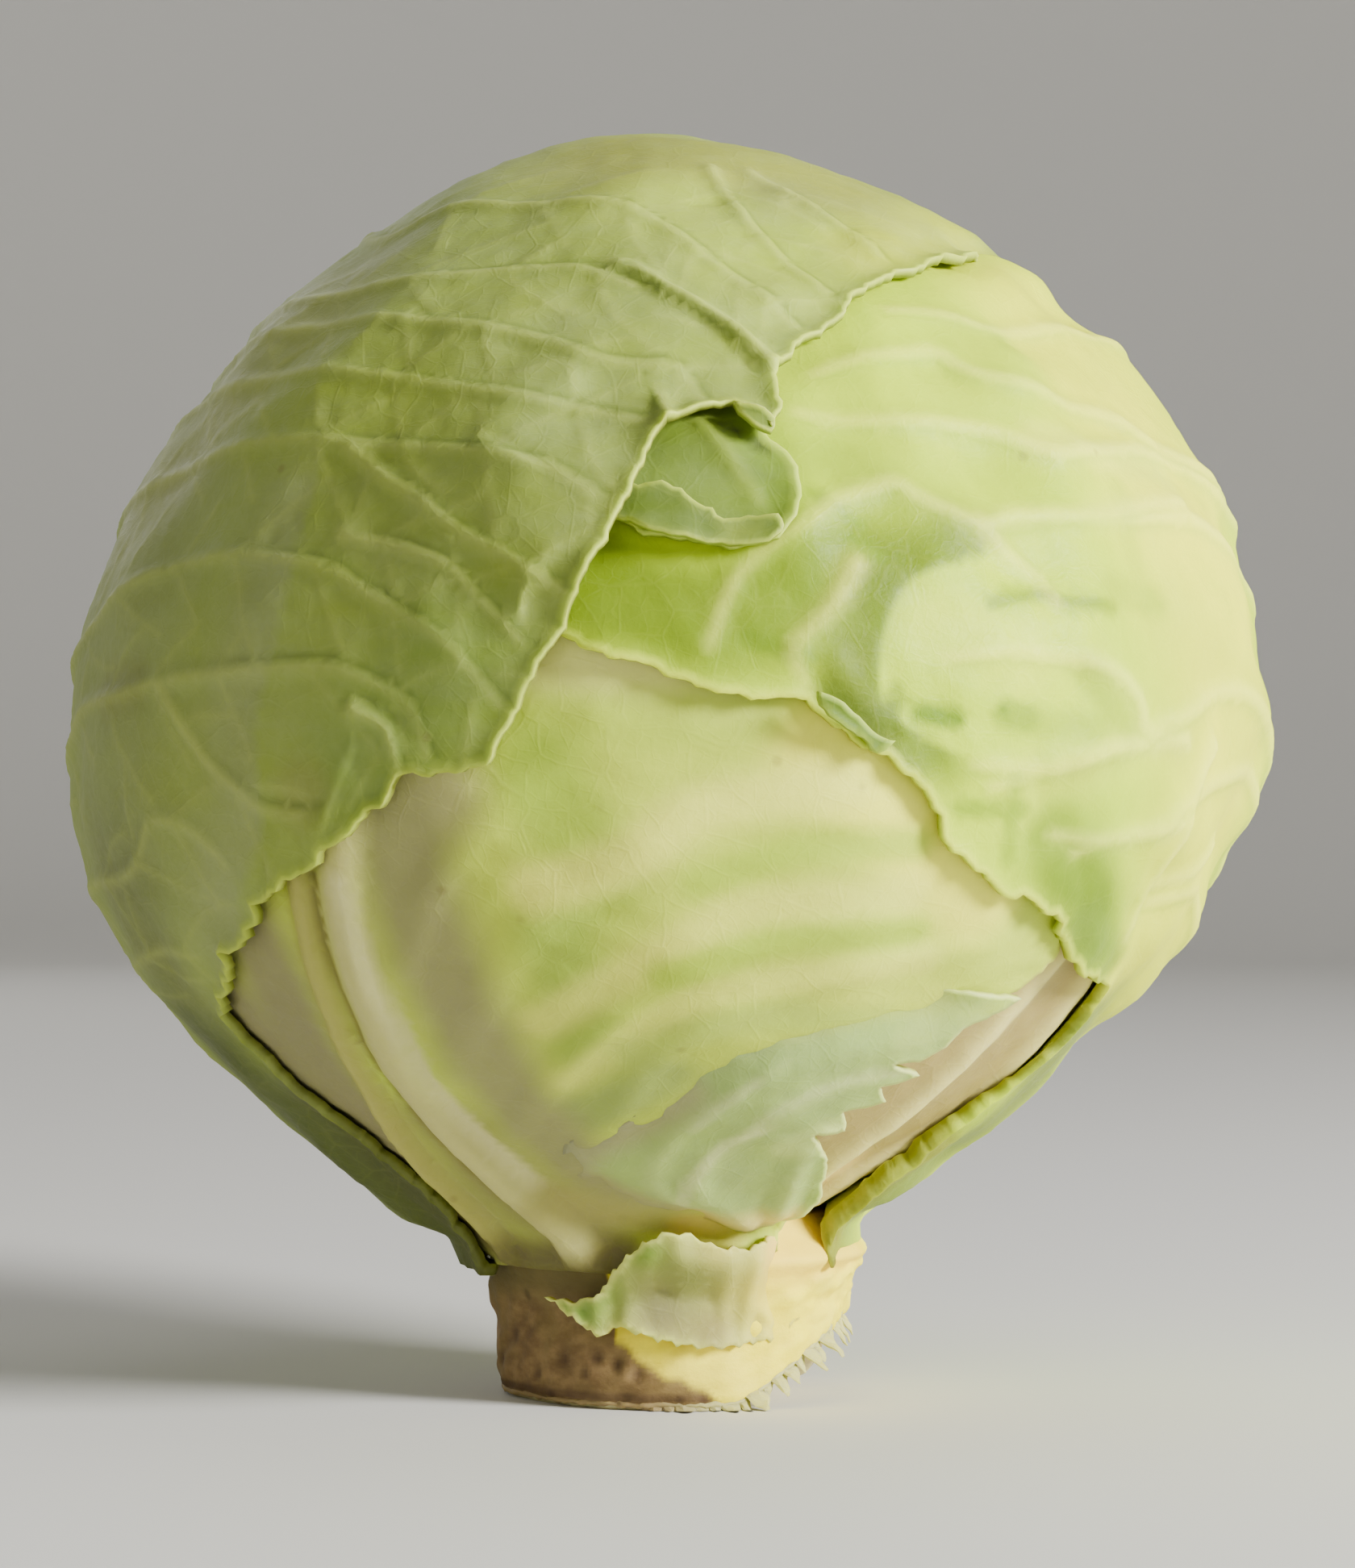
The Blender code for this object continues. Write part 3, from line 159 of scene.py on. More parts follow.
# Raised lines: (path, height, half width) in millimetres, higher at the first point than at the last
LEFT_WRAPPER_RIDGES = [
    ([(-104, -71), (-112, -50), (-116, -20), (-117, 10), (-116, 40), (-112, 62),
      (-85, 76)], 1.5, 4.5),
    ([(-112, 60), (-80, 58.5), (-62.1, 57.4), (-46.4, 60.2), (-30, 60.3), (-16, 59.6),
      (-6.4, 57.9), (0.7, 53.8), (6.3, 48.5), (10.9, 43.8), (15.3, 38.7)], 0.8, 2.2),
    ([(-116, 44), (-85, 44), (-56.4, 46.1), (-42.8, 47.3), (-31.5, 47.9), (-19, 48.4),
      (-11.6, 47.6), (-3.5, 43.9)], 0.8, 2.2),
    ([(10.9, 33.2), (7.9, 37.2), (4.4, 40.6), (0.6, 43.2), (-2.6, 45.9), (-8, 48.6)], 1.9, 2.2),
    ([(-117, 34), (-90, 37), (-63.1, 40.7), (-49.8, 41.8), (-34.6, 41.4), (-26.8, 40.3),
      (-19.7, 38.8), (-13.3, 36.9), (-7.4, 34.1), (-2.1, 33.1), (1.4, 32.7), (3.7, 28.6)], 0.8, 2.2),
    ([(-117, 22), (-95, 28), (-78.3, 32.3), (-59, 34.4), (-46, 35.3), (-36.2, 34.5),
      (-30.1, 33.6), (-23.5, 32.2), (-17.5, 30.8), (-11.9, 29.3), (-6.8, 28),
      (-0.9, 25.8)], 0.8, 2.2),
    ([(-117, 12), (-95, 19), (-76.7, 22.8), (-59.7, 25.7), (-50.4, 26.8), (-37.6, 26.9),
      (-31, 26.2), (-25, 25.4), (-19.5, 24.3), (-14.3, 22.9), (-9.3, 21.1),
      (-4.2, 17.4)], 0.8, 2.2),
    ([(-34, 26.2), (-28.3, 22.7), (-23.6, 20.1), (-18, 16.2), (-13.2, 13.6),
      (-7.8, 10.2)], 0.8, 2),
    ([(-117, -4), (-95, 3), (-72.1, 9.3), (-56.2, 14.2), (-44.5, 15.3), (-32.7, 14),
      (-28.8, 12.2), (-23.4, 9.4), (-18.6, 6.5), (-13.9, 1.4)], 0.9, 2.2),
    ([(-31.2, 16.9), (-26.1, 15.9), (-21.7, 14.6), (-18.8, 13.2), (-15.9, 10.5),
      (-12.1, 6.8)], 0.6, 1.8),
    ([(-116, -14), (-95, -6), (-72.1, 1.3), (-59.8, 2.8), (-52.1, 3.9), (-40.5, 4.7),
      (-31.2, 5), (-27.8, 4.2), (-24.6, 2.9), (-22.1, 1.1), (-20.6, -3)], 0.9, 2.2),
    ([(-27.7, 1.2), (-24.9, 0), (-24, -1.6), (-23.5, -4.1)], 1.3, 2),
    ([(-52.1, 3.6), (-47.9, -0.1), (-44.5, -3.3), (-41.5, -5.2), (-37.9, -7.4),
      (-33.3, -7.9)], 0.6, 2),
    ([(-114, -30), (-95, -20), (-78, -15.3), (-60.9, -13.5), (-55.1, -9.1), (-50.7, -8.6),
      (-46.3, -10.2), (-43.8, -12.8)], 0.8, 2.2),
    ([(-111, -46), (-95, -34), (-80, -25), (-62.2, -21.5), (-53.6, -21.7)], 0.7, 2.2),
    ([(11.2, 67.6), (12.6, 61.8), (13.7, 55.8), (16.3, 50.7), (19, 45.5), (21.1, 41.2)], 0.7, 2),
    ([(21.5, 67.3), (27.1, 60.9), (29.9, 54.9), (31.8, 48.6)], 0.7, 2),
]
LEFT_WRAPPER_BACK_RIDGES = [(-48, -142, -62), (-32, -143, -46), (-14, -144, -26),
                            (4, -144, -6), (22, -145, 14), (40, -152, 30)]
RIGHT_WRAPPER_RIDGES = [
    ([(104, -69), (110, -50), (112, -20), (111, 10), (106, 40),
      (92, 58)], 1.5, 4.5),
    ([(107, 38), (92, 38.5), (80.3, 38.3), (63.6, 40.9), (50.7, 40.7), (41.8, 39.4), (35.1, 40.8),
      (28.3, 41.3)], 0.7, 2.3),
    ([(109, 22), (85, 22.5), (63.9, 26.5), (55.2, 30.3), (45.5, 31.1), (38.8, 32.2), (34.8, 33.9),
      (32.2, 36.3), (26.7, 35.7), (21.4, 34.9), (16.4, 33.5)], 0.8, 2.5),
    ([(111, 14), (95, 18), (76, 22), (59.3, 26.2), (47.7, 25.6), (42.3, 24.6), (39.2, 25.2),
      (34.9, 27), (29.3, 27.8), (23, 28), (17.8, 28.2), (13.4, 28.8)], 0.9, 2.5),
    ([(111, 4), (92, 10), (73.6, 16.1), (60.6, 18.7), (50, 19), (43.6, 18.4), (38.4, 18.6),
      (33.5, 18.4), (30.1, 17.6), (24.3, 19.8), (22.1, 21.3), (19.6, 20.8), (15.4, 19.3), (12.1, 16.9),
      (9.1, 15), (6.1, 12), (3.9, 6.5)], 0.8, 2.4),
    ([(30.1, 17.6), (32.2, 15.4), (35.3, 13.2), (37.1, 10.5)], 0.45, 2.2),
    ([(17, 13.7), (14.5, 9.7), (11.5, 6.9), (11.2, 5.2), (12.3, 3)], 0.35, 2),
    ([(19.3, 0.2), (19.6, 2.3), (20.8, 5.2), (23.3, 7.7), (26.6, 9.3), (30.8, 9.8),
      (35.9, 8.8)], 1.3, 2.6),
    ([(35.5, 11.8), (37, 9.9), (40.3, 9.2), (44.6, 9.8), (49.4, 10.4), (53.1, 11.7)], 1.2, 2.6),
    ([(111, -16), (90, -6), (68.2, 3.1), (52, 0.3), (47.9, -1.7), (41.9, -2.6), (36.2, -3.9),
      (30.2, -5.5)], 0.8, 2.5),
    ([(111, -26), (92, -14), (74.8, -4.4), (57.4, -6.7), (52.7, -9.6), (45.4, -10.6),
      (41.4, -11.9)], 0.7, 2.4),
    ([(60.5, -1.8), (57.9, -5.9), (57.4, -10.6), (57, -15.4), (57.1, -20.7)], 0.8, 2.6),
    ([(110, -44), (90, -30), (72.2, -16.8), (59.4, -17.4)], 0.7, 2.4),
]
RIGHT_WRAPPER_VEINS = [
    ([(54.4, -1.4), (48.4, -0.4), (46.8, 2.2), (42.1, 4.9), (37.7, 5.6), (31.2, 6.1), (25.4, 5.6)], 0.5, 2),
    ([(54.4, -1.4), (43.4, -2.1), (37.6, -3.9), (28.4, -3.7)], 0.4, 2),
    ([(56, -9), (53.7, -9.5), (44.5, -10.6), (38.2, -10)], 0.4, 1.8),
    ([(60, 20.6), (52.9, 20.1), (45.6, 19.1), (38, 18.2), (30.7, 17.5)], 0.45, 2),
    ([(68.7, -11.3), (64.3, -14.3), (57.3, -15.7)], 0.4, 1.8),
]
RIGHT_WRAPPER_BACK_RIDGES = [(-50, 140, -60), (-34, 140, -44), (-16, 140, -26),
                             (2, 141, -6), (20, 141, 14), (36, 141, 34)]
BACK_WRAPPER_RIDGES = [
    ([(179, -70), (181, -40), (179, -10), (181, 15), (179, 36)], 1.6, 4.5),
]
BACK_WRAPPER_LATERALS = [-52, -34, -16, 2, 20]
FRONT_LEAF_RIDGES = [
    ([(-50, -70.6), (-50.6, -65), (-50.2, -58), (-48.4, -50), (-44.7, -42.6), (-40.6, -33),
      (-38.5, -26.2), (-37.1, -19.8), (-36.2, -13), (-36, -4)], 2.2, 2.3),
    ([(-24, -70.4), (-26.5, -65), (-30.5, -59), (-33.8, -52), (-34.8, -45.7), (-34.3, -36.1),
      (-33.1, -28.1), (-32.3, -21.4), (-31.7, -15.6), (-30, -6)], 2.8, 4.2),
    ([(-27.9, -37.3), (-19.4, -27), (-12.7, -18.8), (-4.7, -13.3), (4, -8.2), (12.8, -7.5),
      (20.4, -7.8)], 0.7, 4),
    ([(-25, -48.4), (-9.9, -33.5), (-0.3, -25.1), (10.1, -20.9), (18, -18.7),
      (24, -18.3)], 0.8, 3.6),
    ([(-17.5, -55), (-2.4, -37.3), (6.8, -29.3), (16.8, -25), (25.4, -22.9),
      (36.1, -21.9)], 0.6, 3.2),
    ([(-27.3, -23.2), (-21.7, -14.8), (-16.2, -8.8), (-10.1, -3.8), (-4.4, 1.1)], 0.6, 3.4),
]
TUCKED_LEAF_RIDGES = [
    ([(3.5, 27), (6, 23), (8.5, 19)], 0.5, 1.8),
]
TORN_LEAF_RIDGES = [
    ([(22, -65.5), (8, -60), (6, -55), (8.6, -50.6), (14, -45.4), (21, -40.6),
      (29, -37.6)], 1, 3.4),
    ([(18, -65.5), (-2, -56), (2, -47), (8.3, -41), (15, -35)], 0.6, 2.8),
    ([(29, -64), (25, -56), (24.5, -50), (26, -46)], 1.7, 3.6),
]
HEAD_RIDGES = [
    ([(52, -68), (55, -61), (61, -54), (64, -47), (62, -37), (60, -27),
      (59, -21)], 1.6, 3.6),
    ([(38, -68), (39, -58), (43.2, -49.2), (45.2, -41.7), (46.6, -33.1), (48.4, -26),
      (50, -21)], 1.6, 4.4),
]

# Swellings of the stalk as (longitude, height, width, rise), in degrees and millimetres
STALK_SWELLINGS = [(-80, 5, 9, 1.3), (88, 17.5, 6, 0.9), (160, 9, 8, 1),
                   (-150, 14, 7, 0.8), (-35, 8, 7, 0.6), (120, 8, 6, -0.8),
                   (-115, 12, 5, -0.8), (30, 6, 7, -0.5), (-84, 17, 6, 2),
                   (52, 16.5, 3, 1.3), (66, 13.5, 3.2, 1.3), (40, 13, 2.6, 0.9), (60, 10, 2, -0.7),
                   (44, 17.5, 2, -0.6), (80, 17, 4, 0.8), (26, 11, 2.6, 0.6)]
STALK_BREAK_START = 0.0080
STALK_BREAK_HEIGHT = 0.0125
STALK_BREAK_BACK = 0.0060

# Small leaf base on the stalk: radius that it is unrolled from, and outline as (longitude, height), in
# degrees and millimetres
STALK_LEAF_RADIUS = 27.0
STALK_LEAF_OUTLINE = [
    [(-40, 16.4), (-31, 15.9), (-22, 17.4)],
    [(-22, 17.4), (-19, 19.6), (-13, 23), (-8, 25.2), (-3, 26.6), (3, 26.4), (9, 24.8),
     (18, 24.2), (27, 25.4), (34, 24)],
    [(34, 24), (42, 19.5), (46, 14.5), (36, 10.6), (24, 9.8), (8, 9.6), (-6, 10.8),
     (-17, 12.6)],
    [(-17, 12.6), (-24, 10.9)],
    [(-24, 10.9), (-30, 13.2), (-40, 16.4)],
]


class Side(Enum):
    """Which face of a leaf a vertex belongs to."""

    OUTER = 0.0
    INNER = 1.0


class Zone(Enum):
    """How finely a stretch of leaf is meshed, by how well it can be seen."""

    SEEN = VISIBLE_STEP
    BACK = BACK_STEP
    COVERED = HIDDEN_STEP


def linear(colour: Colour, alpha: float = 1.0) -> tuple[float, float, float, float]:
    """Colour for a shader socket.

    Args:
        colour: Red, green and blue from 0 to 255, as seen on a screen.
        alpha: Opacity.

    Returns:
        The same colour in linear light.
    """
    values = [v / 255.0 for v in colour]
    red, green, blue = (v / 12.92 if v <= 0.04045 else ((v + 0.055) / 1.055) ** 2.4 for v in values)
    return red, green, blue, alpha


def tinted(colour: Colour) -> np.ndarray:
    """Linear red, green and blue of a screen colour."""
    return np.array(linear(colour)[:3])


def smooth_curve(x: np.ndarray, xs: Sequence[float], ys: Sequence[float]) -> np.ndarray:
    """Smooth curve through given points.

    Args:
        x: Where the curve is read.
        xs: Rising places of the points.
        ys: Values at the points.

    Returns:
        The curve's values at x.
    """
    xs = np.asarray(xs, float)
    ys = np.asarray(ys, float)
    x = np.clip(x, xs[0], xs[-1])
    i = np.clip(np.searchsorted(xs, x, side="right") - 1, 0, len(xs) - 2)
    t = (x - xs[i]) / (xs[i + 1] - xs[i])
    before = ys[np.maximum(i - 1, 0)]
    start = ys[i]
    end = ys[i + 1]
    after = ys[np.minimum(i + 2, len(xs) - 1)]
    cubic = 3 * start - before - 3 * end + after
    square = 2 * before - 5 * start + 4 * end - after
    return 0.5 * (2 * start + (end - before) * t + square * t ** 2 + cubic * t ** 3)


def smooth_step(x: np.ndarray) -> np.ndarray:
    """Ease from 0 at x = 0 to 1 at x = 1."""
    x = np.clip(x, 0.0, 1.0)
    return x * x * (3 - 2 * x)


def unit(vectors: np.ndarray) -> np.ndarray:
    """Vectors of length one."""
    return vectors / np.linalg.norm(vectors, axis=-1, keepdims=True)


def directions(lon: np.ndarray, lat: np.ndarray) -> np.ndarray:
    """Unit vectors of longitudes and latitudes in degrees.

    Args:
        lon: Longitudes in degrees.
        lat: Latitudes in degrees.

    Returns:
        Unit vectors.
    """
    lon = np.radians(np.asarray(lon, float))
    lat = np.radians(np.asarray(lat, float))
    return np.stack([np.cos(lat) * np.sin(lon), -np.cos(lat) * np.cos(lon), np.sin(lat)], axis=-1)


def angles(dirs: np.ndarray) -> tuple[np.ndarray, np.ndarray]:
    """Longitudes and latitudes in degrees of unit vectors.

    Args:
        dirs: Unit vectors.

    Returns:
        Longitudes and latitudes.
    """
    lat = np.degrees(np.arcsin(np.clip(dirs[:, 2], -1, 1)))
    lon = np.degrees(np.arctan2(dirs[:, 0], -dirs[:, 1]))
    return lon, lat


def undulation(points: np.ndarray, wavelength: float, seed: int, waves: int = 9) -> np.ndarray:
    """Gentle, repeatable unevenness.

    Args:
        points: Where it is read, in metres.
        wavelength: Usual distance between two crests, in metres.
        seed: Seed of the waves' directions.
        waves: How many plain waves are added up.

    Returns:
        Values mostly between -1 and 1.
    """
    rng = np.random.default_rng(seed)
    across = unit(rng.normal(size=(waves, 3)))
    stretch = rng.uniform(0.7, 1.5, waves)
    phase = rng.uniform(0.0, 2 * math.pi, waves)
    turns = points @ (across * (2 * math.pi / wavelength * stretch)[:, None]).T + phase
    return np.sin(turns).sum(axis=1) / math.sqrt(waves)


def blended_radius(dirs: np.ndarray, left: Sequence[float], right: Sequence[float]) -> np.ndarray:
    """Radius of the shape that has one profile on its left and another on its right, in metres.

    Args:
        dirs: Unit vectors.
        left: Radii on the left at LATITUDES, in millimetres.
        right: Radii on the right.

    Returns:
        Radii in metres.
    """
    lon, lat = angles(dirs)
    share = 0.5 + 0.5 * np.sin(np.radians(lon)) * np.clip(np.cos(np.radians(lat)) * 4, 0, 1)
    radius = smooth_curve(lat, LATITUDES, left) * (1 - share) + smooth_curve(lat, LATITUDES, right) * share
    return radius * MM


def base_growth(dirs: np.ndarray) -> np.ndarray:
    """Factor by which leaf bases are thicker, and lie further apart, towards the stalk."""
    return 1 + 1.4 * smooth_step((-dirs[:, 2] - 0.913) / 0.030)


@dataclass
class Line:
    """Line on the head, sampled evenly."""

    points: np.ndarray
    along: np.ndarray
    place: np.ndarray

    @classmethod
    def through(cls, places: Sequence[Place], step: float = 0.001) -> "Line":
        """Smooth line through (longitude, latitude) places.

        Args:
            places: Places along the line.
            step: Distance between neighbours, in metres.

        Returns:
            The line.
        """
        lonlat = np.asarray(places, float)
        knots = directions(lonlat[:, 0], lonlat[:, 1])
        gaps = np.linalg.norm(np.diff(knots, axis=0), axis=1)
        along = np.concatenate([[0.0], np.cumsum(gaps)])
        count = max(int(round(along[-1] * MEAN_RADIUS / step)), 2)
        t = np.linspace(0.0, along[-1], count + 1)
        return cls.of(unit(np.stack([smooth_curve(t, along, knots[:, k]) for k in range(3)], axis=1)))

    @classmethod
    def of(cls, points: np.ndarray) -> "Line":
        """Line of ready unit vectors.

        Args:
            points: Unit vectors along the line.

        Returns:
            The line.
        """
        points = np.asarray(points, float)
        ahead = np.gradient(points, axis=0)
        ahead = ahead - (ahead * points).sum(axis=1, keepdims=True) * points
        return cls(points, unit(ahead), np.linspace(0.0, 1.0, len(points)))

    def measure(self, dirs: np.ndarray) -> tuple[np.ndarray, np.ndarray, np.ndarray]:
        """Distances from directions to the line.

        Args:
            dirs: Unit vectors.

        Returns:
            Distance in metres, signed distance to its side, and place along it from 0 to 1.
        """
        near = nearest(dirs, self.points)
        offset = dirs - self.points[near]
        forward = (offset * self.along[near]).sum(axis=1)
        sideways = (offset * np.cross(self.points[near], self.along[near])).sum(axis=1)
        last = (near == 0) | (near == len(self.points) - 1)
        gap = np.hypot(sideways, np.where(last, forward, 0.0))
        return gap * MEAN_RADIUS, sideways * MEAN_RADIUS, self.place[near]

    def rows(self, offset: float) -> np.ndarray:
        """The line moved sideways by an offset in metres."""
        side = np.cross(self.points, self.along)
        return unit(self.points + side * (offset / MEAN_RADIUS))


def nearest(dirs: np.ndarray, samples: np.ndarray) -> np.ndarray:
    """Number of the sample closest to each direction.

    Args:
        dirs: Unit vectors.
        samples: Unit vectors to choose from.

    Returns:
        One number for each direction.
    """
    best = np.zeros(len(dirs), int)
    for first in range(0, len(dirs), 8192):
        best[first:first + 8192] = (dirs[first:first + 8192] @ samples.T).argmax(axis=1)
    return best


class Chart:
    """Flat map of the head round one place, in which leaves are triangulated."""

    def __init__(self, centre: Place) -> None:
        """Sets up the map's middle, east and north.

        Args:
            centre: Middle of the map.
        """
        self.middle = directions([centre[0]], [centre[1]])[0]
        self.east = unit(np.cross((0.0, 0.0, 1.0), self.middle))
        self.north = np.cross(self.middle, self.east)

    def flat(self, dirs: np.ndarray) -> np.ndarray:
        """Flat points of unit vectors."""
        scale = 2.0 / np.maximum(1.0 + dirs @ self.middle, 1e-4)
        return np.stack([dirs @ self.east * scale, dirs @ self.north * scale], axis=1)


def inside_loop(points: np.ndarray, loop: np.ndarray) -> np.ndarray:
    """Which flat points lie inside a closed flat loop.

    Args:
        points: Flat points.
        loop: Corners of the loop.

    Returns:
        One truth value for each point.
    """
    inside = np.zeros(len(points), bool)
    following = np.roll(loop, -1, axis=0)
    x = points[:, 0]
    y = points[:, 1]
    for (x0, y0), (x1, y1) in zip(loop, following):
        if y0 == y1:
            continue
        crosses = (y < y0) != (y < y1)
        inside[crosses] ^= x[crosses] < x0 + (y[crosses] - y0) * (x1 - x0) / (y1 - y0)
    return inside


def lattice(step: float) -> np.ndarray:
    """Evenly spread unit vectors about a step in metres apart.

    Args:
        step: Distance between neighbours, in metres.

    Returns:
        Unit vectors.
    """
    count = int(4 * math.pi * MEAN_RADIUS ** 2 / (step ** 2 * 0.866))
    k = np.arange(count) + 0.5
    height = 1 - 2 * k / count
    turn = k * math.pi * (3 - math.sqrt(5))
    flat = np.sqrt(1 - height ** 2)
    return np.stack([flat * np.cos(turn), flat * np.sin(turn), height], axis=1)


class Crowd:
    """Points taken so far, so that new ones keep their distance."""

    def __init__(self) -> None:
        """Starts with no points."""
        self.cells: dict[tuple[int, int, int], list[tuple[float, float, float]]] = {}
        self.points: list[tuple[float, float, float]] = []
        self.size = 0.0016 / MEAN_RADIUS

    def add(self, dirs: np.ndarray, distance: float) -> None:
        """Takes the directions that keep a distance in metres from all taken before.

        Args:
            dirs: Unit vectors.
            distance: Least distance, in metres.
        """
        limit = (distance / MEAN_RADIUS) ** 2
        reach = int(math.ceil(distance / MEAN_RADIUS / self.size))
        around = range(-reach, reach + 1)
        steps = [(i, j, k) for i in around for j in around for k in around]
        for x, y, z in dirs.tolist():
            cell = (int(x // self.size), int(y // self.size), int(z // self.size))
            if distance and self.crowded((x, y, z), cell, steps, limit):
                continue
            self.cells.setdefault(cell, []).append((x, y, z))
            self.points.append((x, y, z))

    def crowded(self, point: tuple, cell: tuple, steps: list, limit: float) -> bool:
        """Whether a taken point lies closer than the limit.

        Args:
            point: The direction.
            cell: Its cell.
            steps: Cells around it to look in.
            limit: Least squared distance.

        Returns:
            True if one does.
        """
        x, y, z = point
        for i, j, k in steps:
            for a, b, c in self.cells.get((cell[0] + i, cell[1] + j, cell[2] + k), ()):
                if (a - x) ** 2 + (b - y) ** 2 + (c - z) ** 2 < limit:
                    return True
        return False


@dataclass
class Ridge:
    """Raised rib or vein: its line, height and half width in metres."""

    line: Line
    height: float
    width: float


@dataclass(frozen=True)
class Patch:
    """Soft patch of colour along a line of (longitude, latitude) places."""

    places: tuple[Place, ...]
    reach: float
    colour: Colour
    strength: float = 1.0
    side: int = 0

    def cover(self, dirs: np.ndarray) -> np.ndarray:
        """Share of the patch's colour at each direction.

        Args:
            dirs: Unit vectors.

        Returns:
            Shares from 0 to 1.
        """
        if len(self.places) == 1:
            middle = directions([self.places[0][0]], [self.places[0][1]])[0]
            gap = np.arccos(np.clip(dirs @ middle, -1, 1)) * MEAN_RADIUS
        else:
            gap, offset, _ = Line.through(self.places).measure(dirs)
            if self.side:
                half = smooth_step(offset * self.side / 0.0016 + 0.5)
                return self.strength * half * smooth_step(1.25 - gap / (self.reach * MM))
        return self.strength * smooth_step(1.25 - gap / (self.reach * MM))


class LeafForm:
    """Shape of one leaf: outline, ribs and veins, and what it lies on."""

    def __init__(self, node: str, centre: Place, outline: Sequence, jags: Sequence[float], ridges: Sequence,
                 base: Callable[[np.ndarray], np.ndarray], over: Sequence["LeafForm"] = (),
                 lift: float = EDGE_LIFT, gap: float = LEAF_GAP, seed: int = 1, billow: float = 0.0,
                 crisp: float = 2.0, swell: float = 1.0, folds: Sequence = (), feather: Sequence = (),
                 tuck: Sequence = (), press: float = 0.0, seat: float = 0.0205, wedge: float = 0.0) -> None:
        """Sets up the leaf.

        Args:
            node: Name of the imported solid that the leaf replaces.
            centre: Middle of its flat map.
            outline: Smooth stretches of places that meet in corners.
            jags: Roughness of each stretch, in millimetres.
            ridges: (places, height, half width) of each raised line, in millimetres.
            base: Radius of the surface that the leaf lies on.
            over: Leaves that it lies over.
            lift: Outward turn of the margin, in metres.
            gap: Distance kept from the leaves below, in metres.
            seed: Seed of the margin's roughness.
            billow: Height of the blade's soft waves, in metres.
            crisp: Power of the ribs' profile: the lower, the sharper their feet.
            swell: Factor on the height of the ribs.
            folds: (places, height, reach) of sharp one-sided steps,
            in millimetres; the left side is higher.
            feather: Places along which the blade thins out to nothing.
            tuck: Places along which the margin draws in towards the head.
            press: How far the leaf sinks under the leaves that lie over it, in metres.
            seat: Lowest height that the leaf reaches, in metres.
            wedge: Share of the tuck that the outer face doesn't follow.
        """
        self.seat = seat
        self.wedge = wedge
        self.tuck = Line.through(tuck) if len(tuck) else None
        self.press = press
        self.folds = [Ridge(Line.through(places), height * MM, reach * MM)
                      for places, height, reach in folds]
        self.feather = Line.through(feather) if len(feather) else None
        self.billow = billow
        self.crisp = crisp
        self.swell = swell
        self.node = node
        self.chart = Chart(centre)
        self.rim = self.jagged(outline, jags, seed)
        self.margin = Line.of(np.concatenate([self.rim, self.rim[:1]]))
        self.loop = self.chart.flat(self.rim)
        self.ridges = [Ridge(Line.through(places), height * MM, width * MM)
                       for places, height, width in ridges]
        self.base = base
        self.over = list(over)
        self.under: list[LeafForm] = []
        self.lift = lift
        self.gap = gap
        self.seed = seed
        self.twigs: list[Line] = []
        self.known: dict[int, tuple[np.ndarray, np.ndarray]] = {}
        for lower in self.over:
            lower.under.append(self)

    @staticmethod
    def jagged(outline: Sequence, jags: Sequence[float], seed: int) -> np.ndarray:
        """Rim of the leaf as unit vectors, roughened stretch by stretch.

        Args:
            outline: Smooth stretches of places.
            jags: Roughness of each stretch, in millimetres.
            seed: Seed of the roughness.

        Returns:
            Unit vectors round the rim.
        """
        rng = np.random.default_rng(seed)
        pieces = []
        for stretch, jag in zip(outline, jags):
            line = Line.through(stretch, RIM_STEP)
            t = np.arange(len(line.points)) * RIM_STEP
            noise = np.zeros(len(t))
            for wavelength in (0.0023, 0.0037, 0.0061, 0.0107, 0.018):
                noise += wavelength ** 0.4 * np.sin(2 * math.pi * t / wavelength + rng.uniform(0, 6.3))
            ends = np.minimum(line.place, 1 - line.place) * len(t) / 4
            offset = jag * MM * noise / 0.25 * np.clip(ends, 0, 1)
            side = np.cross(line.points, line.along)
            pieces.append(unit(line.points + side * (offset / MEAN_RADIUS)[:, None])[:-1])
        return np.concatenate(pieces)

    def depth(self, dirs: np.ndarray) -> np.ndarray:
        """Distance in metres to the margin, above zero inside the leaf.

        Args:
            dirs: Unit vectors.

        Returns:
            Distances in metres.
        """
        kept = self.known.get(id(dirs))
        if kept is not None and kept[0] is dirs:
            return kept[1]
        gap = self.margin.measure(dirs)[0]
        inside = inside_loop(self.chart.flat(dirs), self.loop)
        value = np.where(inside, gap, -gap)
        self.known[id(dirs)] = (dirs, value)
        return value

    def exposed(self, dirs: np.ndarray) -> np.ndarray:
        """1 where the leaf shows, fading to 0 where another leaf lies well over it.

        Args:
            dirs: Unit vectors.

        Returns:
            Shares from 0 to 1.
        """
        share = np.ones(len(dirs))
        for upper in self.under:
            share = share * (1 - smooth_step((upper.depth(dirs) - 0.003) / 0.008))
        return share

